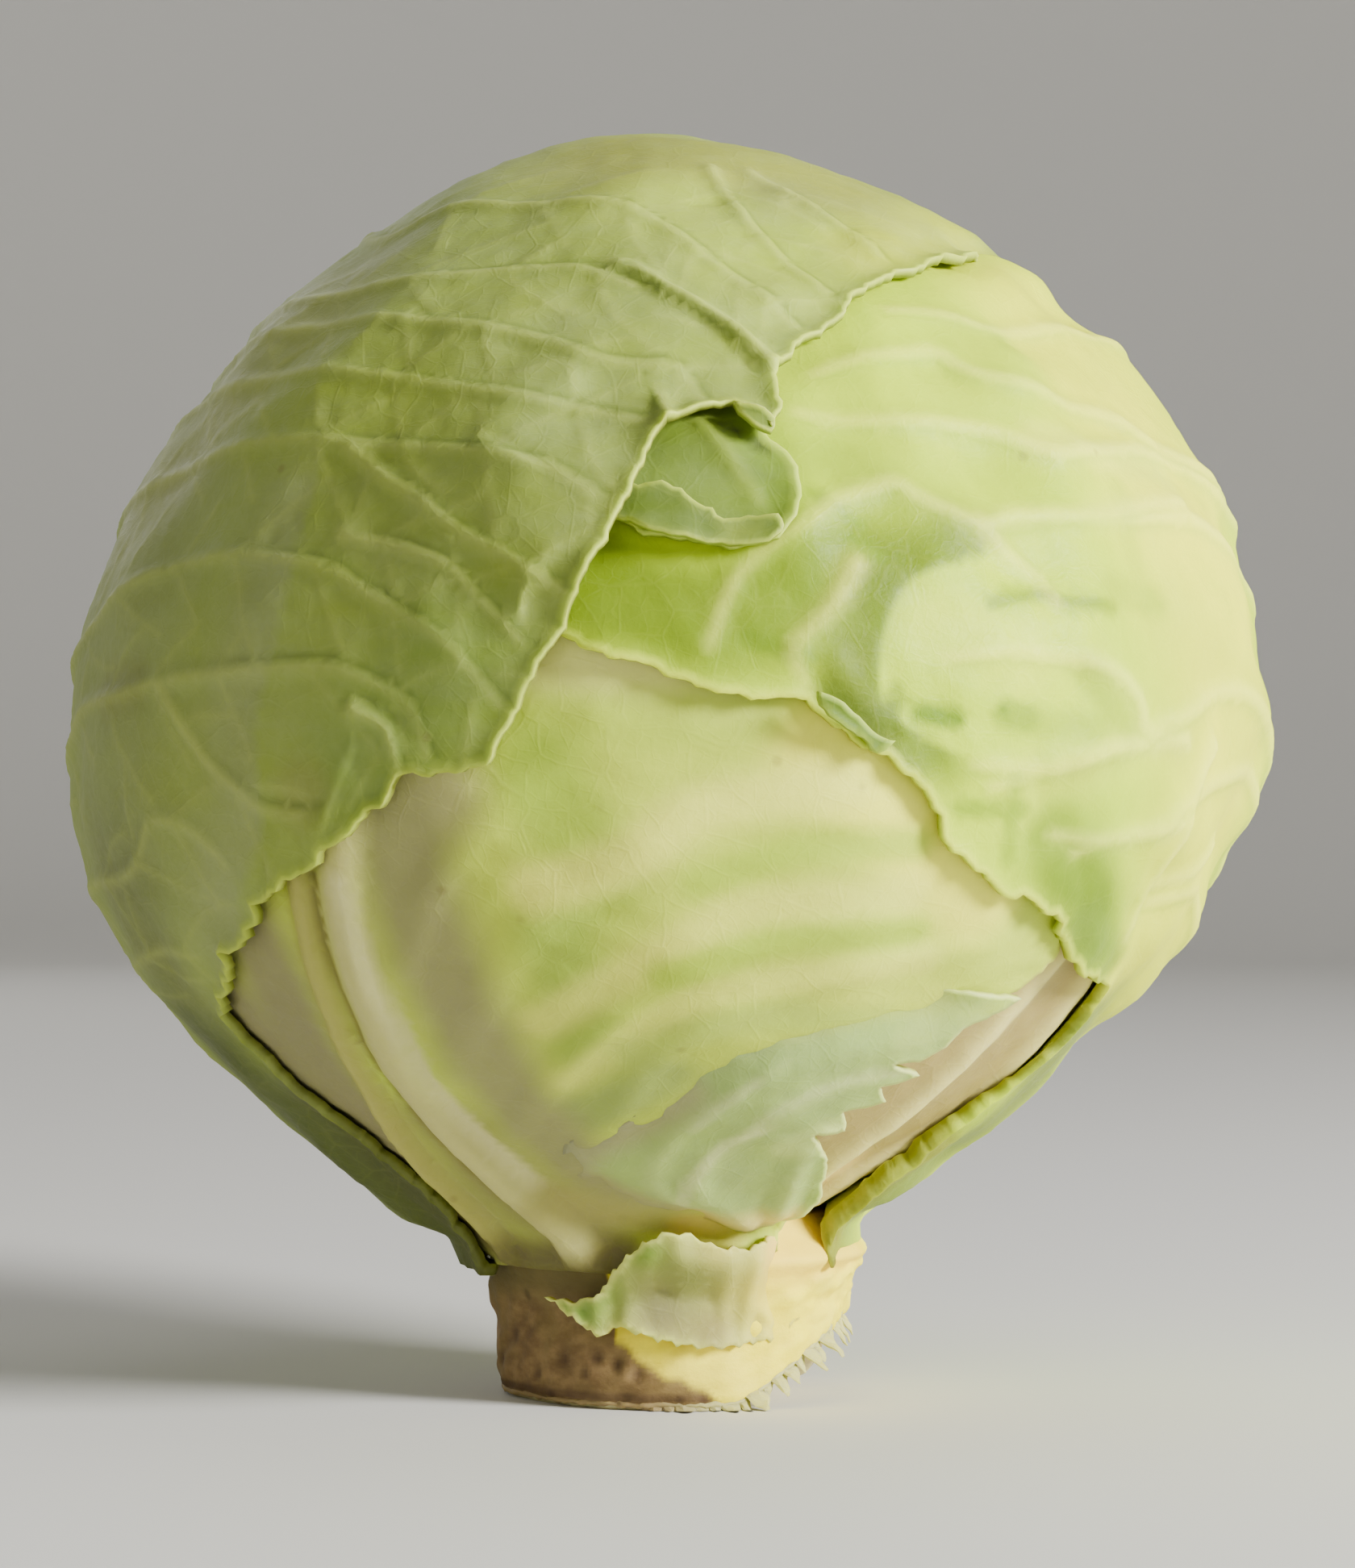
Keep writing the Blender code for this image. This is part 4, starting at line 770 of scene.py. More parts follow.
    def relief(self, dirs: np.ndarray, spread: float = 0.0) -> np.ndarray:
        """Height of the main ribs and veins above the blade, in metres.

        Args:
            dirs: Unit vectors.
            spread: How much wider the ribs are taken, in metres.

        Returns:
            Heights in metres.
        """
        rise = np.zeros(len(dirs))
        for ridge in self.ridges:
            gap, _, place = ridge.line.measure(dirs)
            across = np.clip(np.maximum(gap - spread, 0.0) / ridge.width, 0.0, 1.0)
            fade = (1.0 - 0.55 * place) * smooth_step((1.0 - place) * 8 + 0.3)
            rise = np.maximum(rise, ridge.height * self.swell * fade * (1 - across ** 2) ** self.crisp)
        for fold in self.folds:
            gap, side, place = fold.line.measure(dirs)
            ends = smooth_step(np.minimum(place, 1 - place) * 6)
            rise = rise + fold.height * ends * smooth_step(side / 0.0010 + 0.5) * np.exp(-gap / fold.width)
        return rise * self.exposed(dirs)

    def thinning(self, dirs: np.ndarray) -> np.ndarray:
        """Factor on the thickness, small along the feathered margin.

        Args:
            dirs: Unit vectors.

        Returns:
            Factors from 0 to 1.
        """
        if self.feather is None:
            return np.ones(len(dirs))
        return 0.08 + 0.92 * smooth_step(self.feather.measure(dirs)[0] / 0.009 - 0.05)

    def inner(self, dirs: np.ndarray) -> np.ndarray:
        """Radius of the inner face.

        Args:
            dirs: Unit vectors.

        Returns:
            Radii in metres.
        """
        radius = self.base(dirs)
        if self.billow:
            inland = smooth_step(self.depth(dirs) / 0.008)
            radius = radius + self.billow * undulation(dirs * MEAN_RADIUS, 0.021, self.seed + 60) * inland
        if self.tuck is not None:
            radius = radius - self.drawn(dirs, radius)
        if self.press:
            for upper in self.under:
                radius = radius - self.press * smooth_step((upper.depth(dirs) + 0.005) / 0.009)
        for lower in self.over:
            cover = smooth_step((lower.depth(dirs) + 0.016) / 0.011)
            height = lower.outer(dirs, 0.0015) + self.gap * (2 * base_growth(dirs) - 1) * self.thinning(dirs)
            radius = radius + cover * np.maximum(height - radius, 0.0)
        radius = radius - FEATHER_DIVE * (1 - self.thinning(dirs))
        sheer = np.sqrt(np.maximum(1 - dirs[:, 2] ** 2, 1e-4))
        wall = np.where(dirs[:, 2] < -0.86, BASE_RADIUS / sheer, 0.0)
        radius = np.maximum(radius, np.minimum(wall, BASE_RADIUS_LIMIT))
        return np.minimum(radius, self.lowest(dirs) - LEAF_THICKNESS)

    def lowest(self, dirs: np.ndarray) -> np.ndarray:
        """Radius at which each direction reaches the leaf's lowest height."""
        return (HEAD_CENTRE[2] - self.seat) / np.maximum(-dirs[:, 2], 0.3)

    def drawn(self, dirs: np.ndarray, radius: np.ndarray) -> np.ndarray:
        """How far the tuck draws the leaf in."""
        return 0.95 * self.tucked(dirs) * np.maximum(radius - head_radius(dirs) - 0.0006, 0.0)

    def outer(self, dirs: np.ndarray, spread: float = 0.0) -> np.ndarray:
        """Radius of the outer face with its main ribs.

        Args:
            dirs: Unit vectors.
            spread: How much wider the ribs are taken, in metres.

        Returns:
            Radii in metres.
        """
        blade = LEAF_THICKNESS * base_growth(dirs) * self.thinning(dirs)
        face = self.inner(dirs) + blade + self.relief(dirs, spread)
        if self.wedge:
            face = face + self.wedge * self.drawn(dirs, self.base(dirs))
        return np.minimum(face, self.lowest(dirs))

    def tucked(self, dirs: np.ndarray) -> np.ndarray:
        """1 along the margin that draws in towards the head, fading to 0 beside it.

        Args:
            dirs: Unit vectors.

        Returns:
            Shares from 0 to 1.
        """
        if self.tuck is None:
            return np.zeros(len(dirs))
        return smooth_step(1.1 - self.tuck.measure(dirs)[0] / TUCK_REACH)

    def edge_turn(self, dirs: np.ndarray) -> np.ndarray:
        """Outward turn of the margin, which the parts under other leaves don't have.

        Args:
            dirs: Unit vectors.

        Returns:
            Offsets in metres.
        """
        gap = np.abs(self.depth(dirs))
        wave = 1.0 + 0.7 * undulation(dirs * MEAN_RADIUS, 0.016, self.seed + 40)
        turn = self.lift * wave * np.exp(-gap / 0.003) * self.thinning(dirs) ** 2
        for upper in self.under:
            turn = turn * (1 - smooth_step((upper.depth(dirs) + 0.004) / 0.004))
        return turn * smooth_step((dirs[:, 2] + 0.88) / 0.08) * (1 - 0.85 * self.tucked(dirs))


class VeinGrower:
    """Grows the side veins that branch off the main ones."""

    def __init__(self, form: LeafForm, spacing: float, reach: float, seed: int) -> None:
        """Keeps the leaf and the measures of its side veins.

        Args:
            form: The leaf.
            spacing: Distance between branches along a vein, in metres.
            reach: Longest branch, in metres.
            seed: Seed of all that varies.
        """
        self.form = form
        self.spacing = spacing
        self.reach = reach
        self.rng = np.random.default_rng(seed)
        self.step = 0.0012

    def branch(self, start: np.ndarray, heading: np.ndarray, bend: float, length: float) -> np.ndarray:
        """Points of one branch that leaves start and bends steadily.

        Args:
            start: Unit vector of its start.
            heading: First direction.
            bend: Turn at each step.
            length: Length in metres.

        Returns:
            Unit vectors along the branch.
        """
        point = start
        points = [point]
        for _ in range(int(length / self.step)):
            heading = unit(heading - (heading @ point) * point)
            heading = unit(heading + np.cross(point, heading) * bend)
            point = unit(point + heading * (self.step / MEAN_RADIUS))
            points.append(point)
        return np.array(points)

    def grow(self) -> list[Line]:
        """Side veins of the whole leaf.

        Returns:
            One line for each vein, cut off where it meets another vein or the margin.
        """
        taken = np.concatenate([ridge.line.points for ridge in self.form.ridges])
        grown = []
        for ridge in self.form.ridges:
            line = ridge.line
            stride = int(self.spacing / 0.001)
            for k in range(stride // 2, len(line.points) - 4, stride):
                for hand in (1.0, -1.0):
                    turn = math.radians(self.rng.uniform(42, 66)) * hand
                    side = np.cross(line.points[k], line.along[k])
                    heading = line.along[k] * math.cos(turn) + side * math.sin(turn)
                    length = self.reach * self.rng.uniform(0.5, 1.0)
                    bend = self.rng.uniform(-0.055, 0.02) * hand
                    points = self.branch(line.points[k], heading, bend, length)
                    free = (points[4:] @ taken.T).max(axis=1) < math.cos(0.0011 / MEAN_RADIUS)
                    stop = 4 + (int(np.argmin(free)) if not free.all() else len(free))
                    points = points[:stop + 1]
                    if len(points) > 6:
                        grown.append(points)
                        taken = np.concatenate([taken, points])
        return self.trimmed(grown)

    def trimmed(self, grown: list[np.ndarray]) -> list[Line]:
        """Drops what lies off the leaf or under another one.

        Args:
            grown: Points of each vein.

        Returns:
            The lines that are left.
        """
        every = np.concatenate(grown)
        keep = self.form.depth(every) > 0.0006
        for upper in self.form.under:
            keep &= upper.depth(every) < 0.003
        lines = []
        first = 0
        for points in grown:
            kept = keep[first:first + len(points)]
            first += len(points)
            stop = int(np.argmin(kept)) if not kept.all() else len(kept)
            if stop > 4:
                lines.append(Line.of(points[:stop]))
        return lines


class Tree:
    """Short way to make and wire the nodes of one node tree."""

    def __init__(self, tree: bpy.types.NodeTree) -> None:
        """Keeps the tree."""
        self.tree = tree

    def add(self, kind: str, inputs: dict | None = None, **settings) -> bpy.types.Node:
        """Makes a node.

        Args:
            kind: Type of the node.
            inputs: Values or sockets for its inputs, by name or number.
            **settings: Properties of the node.

        Returns:
            The node.
        """
        node = self.tree.nodes.new(kind)
        for key, value in settings.items():
            setattr(node, key, value)
        for key, value in (inputs or {}).items():
            if isinstance(value, bpy.types.NodeSocket):
                self.tree.links.new(value, node.inputs[key])
            else:
                node.inputs[key].default_value = value
        return node

    def math(self, operation: str, a: object, b: object = 0.0, clamp: bool = False) -> bpy.types.NodeSocket:
        """Result of a sum on two values."""
        return self.add("ShaderNodeMath", {0: a, 1: b}, operation=operation, use_clamp=clamp).outputs[0]

    def ramp(self, value: object, low: float, high: float, to_low: float = 0.0,
             to_high: float = 1.0) -> bpy.types.NodeSocket:
        """Value eased from one range to another.

        Args:
            value: Value or socket.
            low: Value where the ease starts.
            high: Value where it ends.
            to_low: Result at the start.
            to_high: Result at the end.

        Returns:
            Socket of the result.
        """
        node = self.add("ShaderNodeMapRange", {0: value, 1: low, 2: high, 3: to_low, 4: to_high},
                        interpolation_type="SMOOTHSTEP")
        return node.outputs[0]

    def mix(self, factor: object, a: object, b: object) -> bpy.types.NodeSocket:
        """Mix of two colours."""
        return self.add("ShaderNodeMix", {0: factor, 6: a, 7: b}, data_type="RGBA").outputs[2]

    def attribute(self, name: str, output: str = "Fac") -> bpy.types.NodeSocket:
        """Value of one of the mesh's own attributes."""
        return self.add("ShaderNodeAttribute", attribute_name=name).outputs[output]

    def place(self) -> bpy.types.NodeSocket:
        """Place on the object."""
        return self.add("ShaderNodeTexCoord").outputs["Object"]

    def link(self, value: bpy.types.NodeSocket, socket: bpy.types.NodeSocket) -> None:
        """Wires an output to an input."""
        self.tree.links.new(value, socket)

    def scaled_noise(self, noise: bpy.types.Node, reach: object) -> bpy.types.NodeSocket:
        """Vector of a noise node's colour, centred on zero and scaled.

        Args:
            noise: Noise node.
            reach: Greatest offset, in metres.

        Returns:
            Socket of the vector.
        """
        centred = self.add("ShaderNodeVectorMath", {0: noise.outputs["Color"], 1: (0.5, 0.5, 0.5)},
                           operation="SUBTRACT").outputs[0]
        return self.add("ShaderNodeVectorMath", {0: centred, "Scale": reach}, operation="SCALE").outputs[0]


def shader_group(name: str, inputs: dict[str, float], outputs: Sequence[str]) -> tuple[Tree, dict,
                                                                                       bpy.types.Node]:
    """New shader node group.

    Args:
        name: Name of the group.
        inputs: Its inputs and their values.
        outputs: Its outputs.

    Returns:
        The group's tree, its inputs by name, and the node that takes its outputs.
    """
    group = bpy.data.node_groups.new(name, "ShaderNodeTree")
    for key, value in inputs.items():
        group.interface.new_socket(key, in_out="INPUT", socket_type="NodeSocketFloat").default_value = value
    for key in outputs:
        group.interface.new_socket(key, in_out="OUTPUT", socket_type="NodeSocketFloat")
    tree = Tree(group)
    entry = tree.add("NodeGroupInput")
    return tree, {key: entry.outputs[key] for key in inputs}, tree.add("NodeGroupOutput")


def new_material(name: str) -> tuple[bpy.types.Material, Tree, bpy.types.NodeInputs]:
    """New material.

    Args:
        name: Name of the material.

    Returns:
        The material, its tree and the inputs of its shader.
    """
    material = bpy.data.materials.new(name)
    material.use_nodes = True
    return material, Tree(material.node_tree), material.node_tree.nodes["Principled BSDF"].inputs


class Effects:
    """Shader node groups that several finishes share, each built once."""

    def __init__(self) -> None:
        """Builds the groups."""
        self.net = self.vein_net()
        self.bloom = self.wax_bloom()
        self.mottle = self.mottling()
        self.specks = self.speckles()

    @staticmethod
    def vein_net() -> bpy.types.NodeTree:
        """Fine net of the smallest veins, in cells of two sizes.

        Returns:
            The group.
        """
        tree, given, out = shader_group("fine_vein_net", {"Cell": 190.0, "Width": 0.05, "Warp": 0.0012},
                                        ("Mask", "Height"))
        place = tree.place()
        noise = tree.add("ShaderNodeTexNoise", {"Vector": place, "Scale": 240.0, "Detail": 2.0})
        moved = tree.scaled_noise(noise, given["Warp"])
        warped = tree.add("ShaderNodeVectorMath", {0: place, 1: moved}, operation="ADD").outputs[0]
        masks = []
        for factor, strength in ((1.0, 1.0), (2.6, 0.55)):
            scale = tree.math("MULTIPLY", given["Cell"], factor)
            cells = tree.add("ShaderNodeTexVoronoi", {"Vector": warped, "Scale": scale},
                             feature="DISTANCE_TO_EDGE").outputs["Distance"]
            wide = tree.math("MULTIPLY", given["Width"], factor ** 0.5)
            share = tree.math("DIVIDE", cells, wide)
            line = tree.ramp(share, 0.0, 1.0, strength, 0.0)
            masks.append(line)
        both = tree.math("MAXIMUM", masks[0], masks[1])
        tree.link(both, out.inputs["Mask"])
        tree.link(tree.math("MULTIPLY", both, 0.00004), out.inputs["Height"])
        return tree.tree

    @staticmethod
    def wax_bloom() -> bpy.types.NodeTree:
        """Waxy bloom: cloudy cover with rubbed streaks.

        Returns:
            The group.
        """
        tree, given, out = shader_group("wax_bloom", {"Scale": 45.0, "Cover": 0.5}, ("Mask",))
        place = tree.place()
        cloud = tree.add("ShaderNodeTexNoise", {"Vector": place, "Scale": given["Scale"], "Detail": 6.0,
                                                "Roughness": 0.62}).outputs[0]
        stretched = tree.add("ShaderNodeMapping", {0: place, "Scale": (0.35, 0.35, 2.2),
                                                   "Rotation": (0.3, 0.5, 0.2)}).outputs[0]
        rubbed = tree.add("ShaderNodeTexNoise",
                          {"Vector": stretched, "Scale": 130.0, "Detail": 4.0}).outputs[0]
        both = tree.math("ADD", tree.math("MULTIPLY", cloud, 0.7), tree.math("MULTIPLY", rubbed, 0.3))
        low = tree.math("SUBTRACT", 0.86, given["Cover"])
        share = tree.math("DIVIDE", tree.math("SUBTRACT", both, low), 0.28, clamp=True)
        tree.link(share, out.inputs["Mask"])
        return tree.tree

    @staticmethod
    def mottling() -> bpy.types.NodeTree:
        """Broad and fine unevenness of colour.

        Returns:
            The group.
        """
        tree, given, out = shader_group("mottling", {"Scale": 30.0}, ("Broad", "Fine"))
        place = tree.place()
        broad = tree.add("ShaderNodeTexNoise", {"Vector": place, "Scale": given["Scale"], "Detail": 4.0})
        fine = tree.add("ShaderNodeTexNoise", {"Vector": place, "Detail": 3.0, "Roughness": 0.6,
                                               "Scale": tree.math("MULTIPLY", given["Scale"], 22.0)})
        tree.link(tree.ramp(broad.outputs[0], 0.35, 0.65), out.inputs["Broad"])
        tree.link(tree.ramp(fine.outputs[0], 0.30, 0.70), out.inputs["Fine"])
        return tree.tree

    @staticmethod
    def speckles() -> bpy.types.NodeTree:
        """Small scattered blemishes.

        Returns:
            The group.
        """
        tree, given, out = shader_group("speckles", {"Cell": 90.0, "Size": 0.10, "Share": 0.25}, ("Mask",))
        place = tree.place()
        cells = tree.add("ShaderNodeTexVoronoi", {"Vector": place, "Scale": given["Cell"]})
        spot = tree.math("DIVIDE", cells.outputs["Distance"], given["Size"])
        chosen = tree.math("LESS_THAN", tree.add("ShaderNodeSeparateColor",
                                                 {0: cells.outputs["Color"]}).outputs[0],
                           given["Share"])
        tree.link(tree.math("MULTIPLY", tree.ramp(spot, 0.3, 1.0, 1.0, 0.0), chosen), out.inputs["Mask"])
        return tree.tree


@dataclass(frozen=True)
class LeafFinish:
    """Finish of a leaf: its colours, among them painted shade and a partly painted highlight on the rim, and
    how strongly wax, veins and blemishes show.
    """

    name: str
    blade: Colour
    vein: Colour
    # Rim colour: partly the leaf's own paler edge, partly a painted highlight on the rolled edge.
    rim: Colour
    flesh: Colour
    bloom: Colour = (150, 160, 128)
    shade: Colour = (86, 98, 44)
    patches: tuple[Patch, ...] = ()
    bloom_share: float = 0.35
    net_share: float = 0.12
    vein_share: float = 0.5
    roughness: float = 0.46
    translucence: float = 0.40
    shine: float = 0.30
    net_cell: float = 150.0
    mottle_share: float = 0.22
    mottle_scale: float = 30.0
    wax_from: float = -0.1

    def tint(self, dirs: np.ndarray) -> np.ndarray:
        """Blade colour at each direction, with the soft patches laid over one another.

        Args:
            dirs: Unit vectors.

        Returns:
            One linear colour for each direction.
        """
        colour = np.tile(tinted(self.blade), (len(dirs), 1))
        for patch in self.patches:
            share = patch.cover(dirs)[:, None]
            colour = colour * (1 - share) + tinted(patch.colour) * share
        return colour

    def material(self, effects: Effects) -> bpy.types.Material:
        """Builds the leaf's material.

        Args:
            effects: The shared shader node groups.

        Returns:
            The material.
        """
        material, tree, shader = new_material(self.name)
        net = tree.add("ShaderNodeGroup", node_tree=effects.net)
        net.inputs["Cell"].default_value = self.net_cell
        bloom = tree.add("ShaderNodeGroup", node_tree=effects.bloom)
        mottle = tree.add("ShaderNodeGroup", node_tree=effects.mottle)
        mottle.inputs["Scale"].default_value = self.mottle_scale
        specks = tree.add("ShaderNodeGroup", node_tree=effects.specks)
        vein = tree.attribute("vein")
        place = tree.place()
        height = tree.add("ShaderNodeSeparateXYZ", {0: place}).outputs["Z"]
        # Bloom is left off below wax_from, so that the painted shade low on the left leaf stays dark.
        waxed = tree.math("MULTIPLY", bloom.outputs["Mask"],
                          tree.ramp(height, self.wax_from, self.wax_from + 0.02))
        blade = tree.attribute("tint", "Color")
        deep = tree.mix(0.5, blade, linear(self.shade))
        colour = tree.mix(tree.math("MULTIPLY", mottle.outputs["Broad"], self.mottle_share), blade, deep)
        lighter = tree.mix(0.5, blade, linear(self.vein))
        colour = tree.mix(tree.math("MULTIPLY", net.outputs["Mask"], self.net_share), colour, lighter)
        clouded = tree.mix(0.5, blade, linear(self.bloom))
        colour = tree.mix(tree.math("MULTIPLY", waxed, self.bloom_share), colour, clouded)
        colour = tree.mix(tree.math("MULTIPLY", vein, self.vein_share), colour, linear(self.vein))
        # Painted shade: the dark line along one side of each vein.
        crease_shade = tree.math("MULTIPLY", tree.attribute("crease_shade"), 0.75)
        colour = tree.mix(crease_shade, colour, linear(self.shade))
        colour = tree.mix(tree.math("MULTIPLY", mottle.outputs["Fine"], 0.10), colour, deep)
        colour = tree.mix(tree.math("MULTIPLY", specks.outputs["Mask"], 0.35), colour,
                          linear((120, 108, 60)))
        # Pale rim colour: partly the paler edge, partly a painted highlight on the rolled edge.
        colour = tree.mix(tree.attribute("rim"), colour, linear(self.rim))
        colour = tree.mix(tree.attribute("inside"), colour, linear(self.flesh))
        tree.link(colour, shader["Base Color"])
        rough = tree.math("ADD", tree.math("MULTIPLY", waxed, 0.18), self.roughness)
        rough = tree.math("ADD", rough, tree.math("MULTIPLY", mottle.outputs["Fine"], 0.07))
        tree.link(rough, shader["Roughness"])
        relief = tree.math("ADD", net.outputs["Height"], tree.math("MULTIPLY", mottle.outputs["Fine"],
                                                                   0.00004))
        bump = tree.add("ShaderNodeBump", {"Strength": 0.6, "Distance": 1.0, "Height": relief})
        tree.link(bump.outputs[0], shader["Normal"])
        shader["Subsurface Weight"].default_value = self.translucence
        shader["Subsurface Radius"].default_value = (0.9, 1.0, 0.2)
        shader["Subsurface Scale"].default_value = 0.003
        shader["Specular IOR Level"].default_value = self.shine
        return material


def sheet_mesh(name: str, outer: np.ndarray, inner: np.ndarray, triangles: np.ndarray,
               attributes: dict[str, np.ndarray], tint: np.ndarray) -> bpy.types.Mesh:
    """Closed sheet from two faces that share their triangles.

    Args:
        name: Name of the mesh.
        outer: Places of the outer face.
        inner: Places of the inner face.
        triangles: Corner numbers, counterclockwise seen from outside.
        attributes: One value for each point, by attribute name.
        tint: Blade colour of each point.

    Returns:
        The mesh, with the attributes on both faces.
    """
    used, renumbered = np.unique(triangles, return_inverse=True)
    triangles = renumbered.reshape(-1, 3)
    outer = outer[used]
    inner = inner[used]
    count = len(used)
    edges = np.concatenate([triangles[:, [0, 1]], triangles[:, [1, 2]], triangles[:, [2, 0]]])
    code = edges[:, 0] * count + edges[:, 1]
    back = edges[:, 1] * count + edges[:, 0]
    open_edges = edges[~np.isin(code, back)]
    a = open_edges[:, 0]
    b = open_edges[:, 1]
    walls = np.concatenate([np.stack([b, a, a + count], axis=1),
                            np.stack([b, a + count, b + count], axis=1)])
    faces = np.concatenate([triangles, triangles[:, ::-1] + count, walls])
    mesh = bpy.data.meshes.new(name)
    mesh.vertices.add(count * 2)
    mesh.vertices.foreach_set("co", np.concatenate([outer, inner]).astype(np.float32).ravel())
    mesh.loops.add(len(faces) * 3)
    mesh.loops.foreach_set("vertex_index", faces.astype(np.int32).ravel())
    mesh.polygons.add(len(faces))
    mesh.polygons.foreach_set("loop_start", np.arange(0, len(faces) * 3, 3, dtype=np.int32))
    mesh.polygons.foreach_set("use_smooth", np.ones(len(faces), dtype=bool))
    mesh.update(calc_edges=True)
    values = {key: np.concatenate([value[used], value[used]]) for key, value in attributes.items()}
    values["inside"] = np.concatenate([np.full(count, Side.OUTER.value), np.full(count, Side.INNER.value)])
    paint(mesh, values, np.concatenate([tint[used], tint[used]]))
    return mesh


def paint(mesh: bpy.types.Mesh, values: dict[str, np.ndarray], tint: np.ndarray) -> None:
    """Stores point values and the tint colour on a mesh.

    Args:
        mesh: The mesh.
        values: One value for each point, by attribute name.
        tint: Blade colour of each point.
    """
    for key, value in values.items():
        mesh.attributes.new(key, "FLOAT", "POINT").data.foreach_set("value", value.astype(np.float32))
    colours = np.concatenate([tint, np.ones((len(tint), 1))], axis=1).astype(np.float32)
    mesh.attributes.new("tint", "FLOAT_COLOR", "POINT").data.foreach_set("color", colours.ravel())


def add_object(name: str, mesh: bpy.types.Mesh, material: bpy.types.Material) -> bpy.types.Object:
    """Puts a mesh into the scene with its material.

    Args:
        name: Name of what is made.
        mesh: The mesh.
        material: Its material.

    Returns:
        The new object.
    """
    mesh.materials.clear()
    mesh.materials.append(material)
    item = bpy.data.objects.new(name, mesh)
    bpy.context.scene.collection.objects.link(item)
    return item


def declare(item: bpy.types.Object, node: str = "") -> bpy.types.Object:
    """Puts a piece on its body and the CAD node it replaces, and reports it.

    Args:
        item: The piece.
        node: CAD node that it replaces, if it replaces one.

    Returns:
        The piece.
    """
    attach(item, "root")
    if node:
        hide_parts(node)
    LOG.info("%s: %d faces", item.name, len(item.data.polygons))
    return item


@dataclass
class LeafPiece:
    """Visible leaf made from its form and dressed in its finish."""

    form: LeafForm
    finish: LeafFinish
    slot: str
    vein_spacing: float = 0.0
    vein_reach: float = 0.022
    twig_height: float = 0.00014
    extra: bool = False
    rim_width: float = 0.0009
    rim_swell: float = 0.0004
    # Strength of the painted shade line along one side of each vein; its sign picks the side.
    crease_shade: float = 0.0
    groove: float = 0.0002
    vein_mark: float = 0.0012

    def points(self) -> np.ndarray:
        """Directions of all points of the sheet: rim, veins and lattice.

        Returns:
            Unit vectors.
        """
        form = self.form
        crowd = Crowd()
        crowd.add(form.rim, 0.0)
        margin = Line.of(form.rim)
        for offset in (0.0007, 0.0016):
            rows = np.concatenate([margin.rows(offset), margin.rows(-offset)])
            crowd.add(rows[form.depth(rows) > offset * 0.8], 0.0006)
        for ridge in form.ridges:
            stride = max(int(round(VEIN_STEP / 0.001)), 1)
            for share in (0.0, 0.28, -0.28, 0.6, -0.6, 1.0, -1.0):
                rows = ridge.line.rows(ridge.width * share)[::stride]
                rows = rows[form.depth(rows) > 0.0018]
                crowd.add(rows[form.exposed(rows) > 0.02], 0.0005)
        for fold in form.folds:
            for offset in (-0.0006, 0.0, 0.0006, 0.0014):
                rows = fold.line.rows(offset)
                crowd.add(rows[form.depth(rows) > 0.0012], 0.0005)
        if form.twigs:
            crests = np.concatenate([line.points for line in form.twigs])
            sides = np.concatenate([line.rows(offset) for line in form.twigs for offset in (0.0008,
                                                                                            -0.0008)])
            crowd.add(crests[form.depth(crests) > 0.0014], 0.0006)
            crowd.add(sides[form.depth(sides) > 0.0016], 0.0006)
        for zone in Zone:
            grid = lattice(zone.value)
            grid = grid[form.depth(grid) > 0.0022]
            crowd.add(grid[self.zones(grid) == zone.value], zone.value * 0.55)
        return np.array(crowd.points)

    def zones(self, dirs: np.ndarray) -> np.ndarray:
        """Mesh step that suits each direction.

        Args:
            dirs: Unit vectors.

        Returns:
            Steps in metres.
        """
        lon, lat = angles(dirs)
        step = np.where((np.abs(lon) < 100) | (lat > 60), Zone.SEEN.value, Zone.BACK.value)
        for upper in self.form.under:
            step = np.where(upper.depth(dirs) > 0.005, Zone.COVERED.value, step)
        return step

    def triangles(self, dirs: np.ndarray) -> np.ndarray:
        """Triangles between the points, inside the rim.

        Args:
            dirs: Unit vectors.

        Returns:
            Corner numbers of each triangle.
        """
        flat = self.form.chart.flat(dirs)
        count = len(self.form.rim)
        rim = [(k, (k + 1) % count) for k in range(count)]
        result = delaunay_2d_cdt([Vector(p) for p in flat], rim, [], 0, 1e-9, True)
        corners = np.array([tuple(triangle) for triangle in result[2]])
        back = np.array([group[0] if group else -1 for group in result[3]])
        corners = back[corners]
        corners = corners[(corners >= 0).all(axis=1)]
        middles = flat[corners].mean(axis=1)
        return corners[inside_loop(middles, self.form.loop)]

    def twig_mark(self, dirs: np.ndarray) -> np.ndarray:
        """1 on the grown side veins, fading to 0 beside them.

        Args:
            dirs: Unit vectors.

        Returns:
            Shares from 0 to 1.
        """
        if not self.form.twigs:
            return np.zeros(len(dirs))
        twigs = np.concatenate([line.points for line in self.form.twigs])
        gap = np.linalg.norm(dirs - twigs[nearest(dirs, twigs)], axis=1) * MEAN_RADIUS
        return np.exp(-(gap / 0.0007) ** 2)

    def marks(self, dirs: np.ndarray) -> dict[str, np.ndarray]:
        """Masks of veins, of the painted shade along the creases, and of the rim, which is partly painted
        highlight, at each direction.

        Args:
            dirs: Unit vectors.

        Returns:
            One mask for each attribute.
        """
        form = self.form
        vein = np.zeros(len(dirs))
        crease_shade = np.zeros(len(dirs))
        for ridge in form.ridges:
            gap, side, place = ridge.line.measure(dirs)
            fade = 1 - 0.35 * place
            vein = np.maximum(vein, fade * np.exp(-(gap / (self.vein_mark * (1.25 - 0.5 * place))) ** 2))
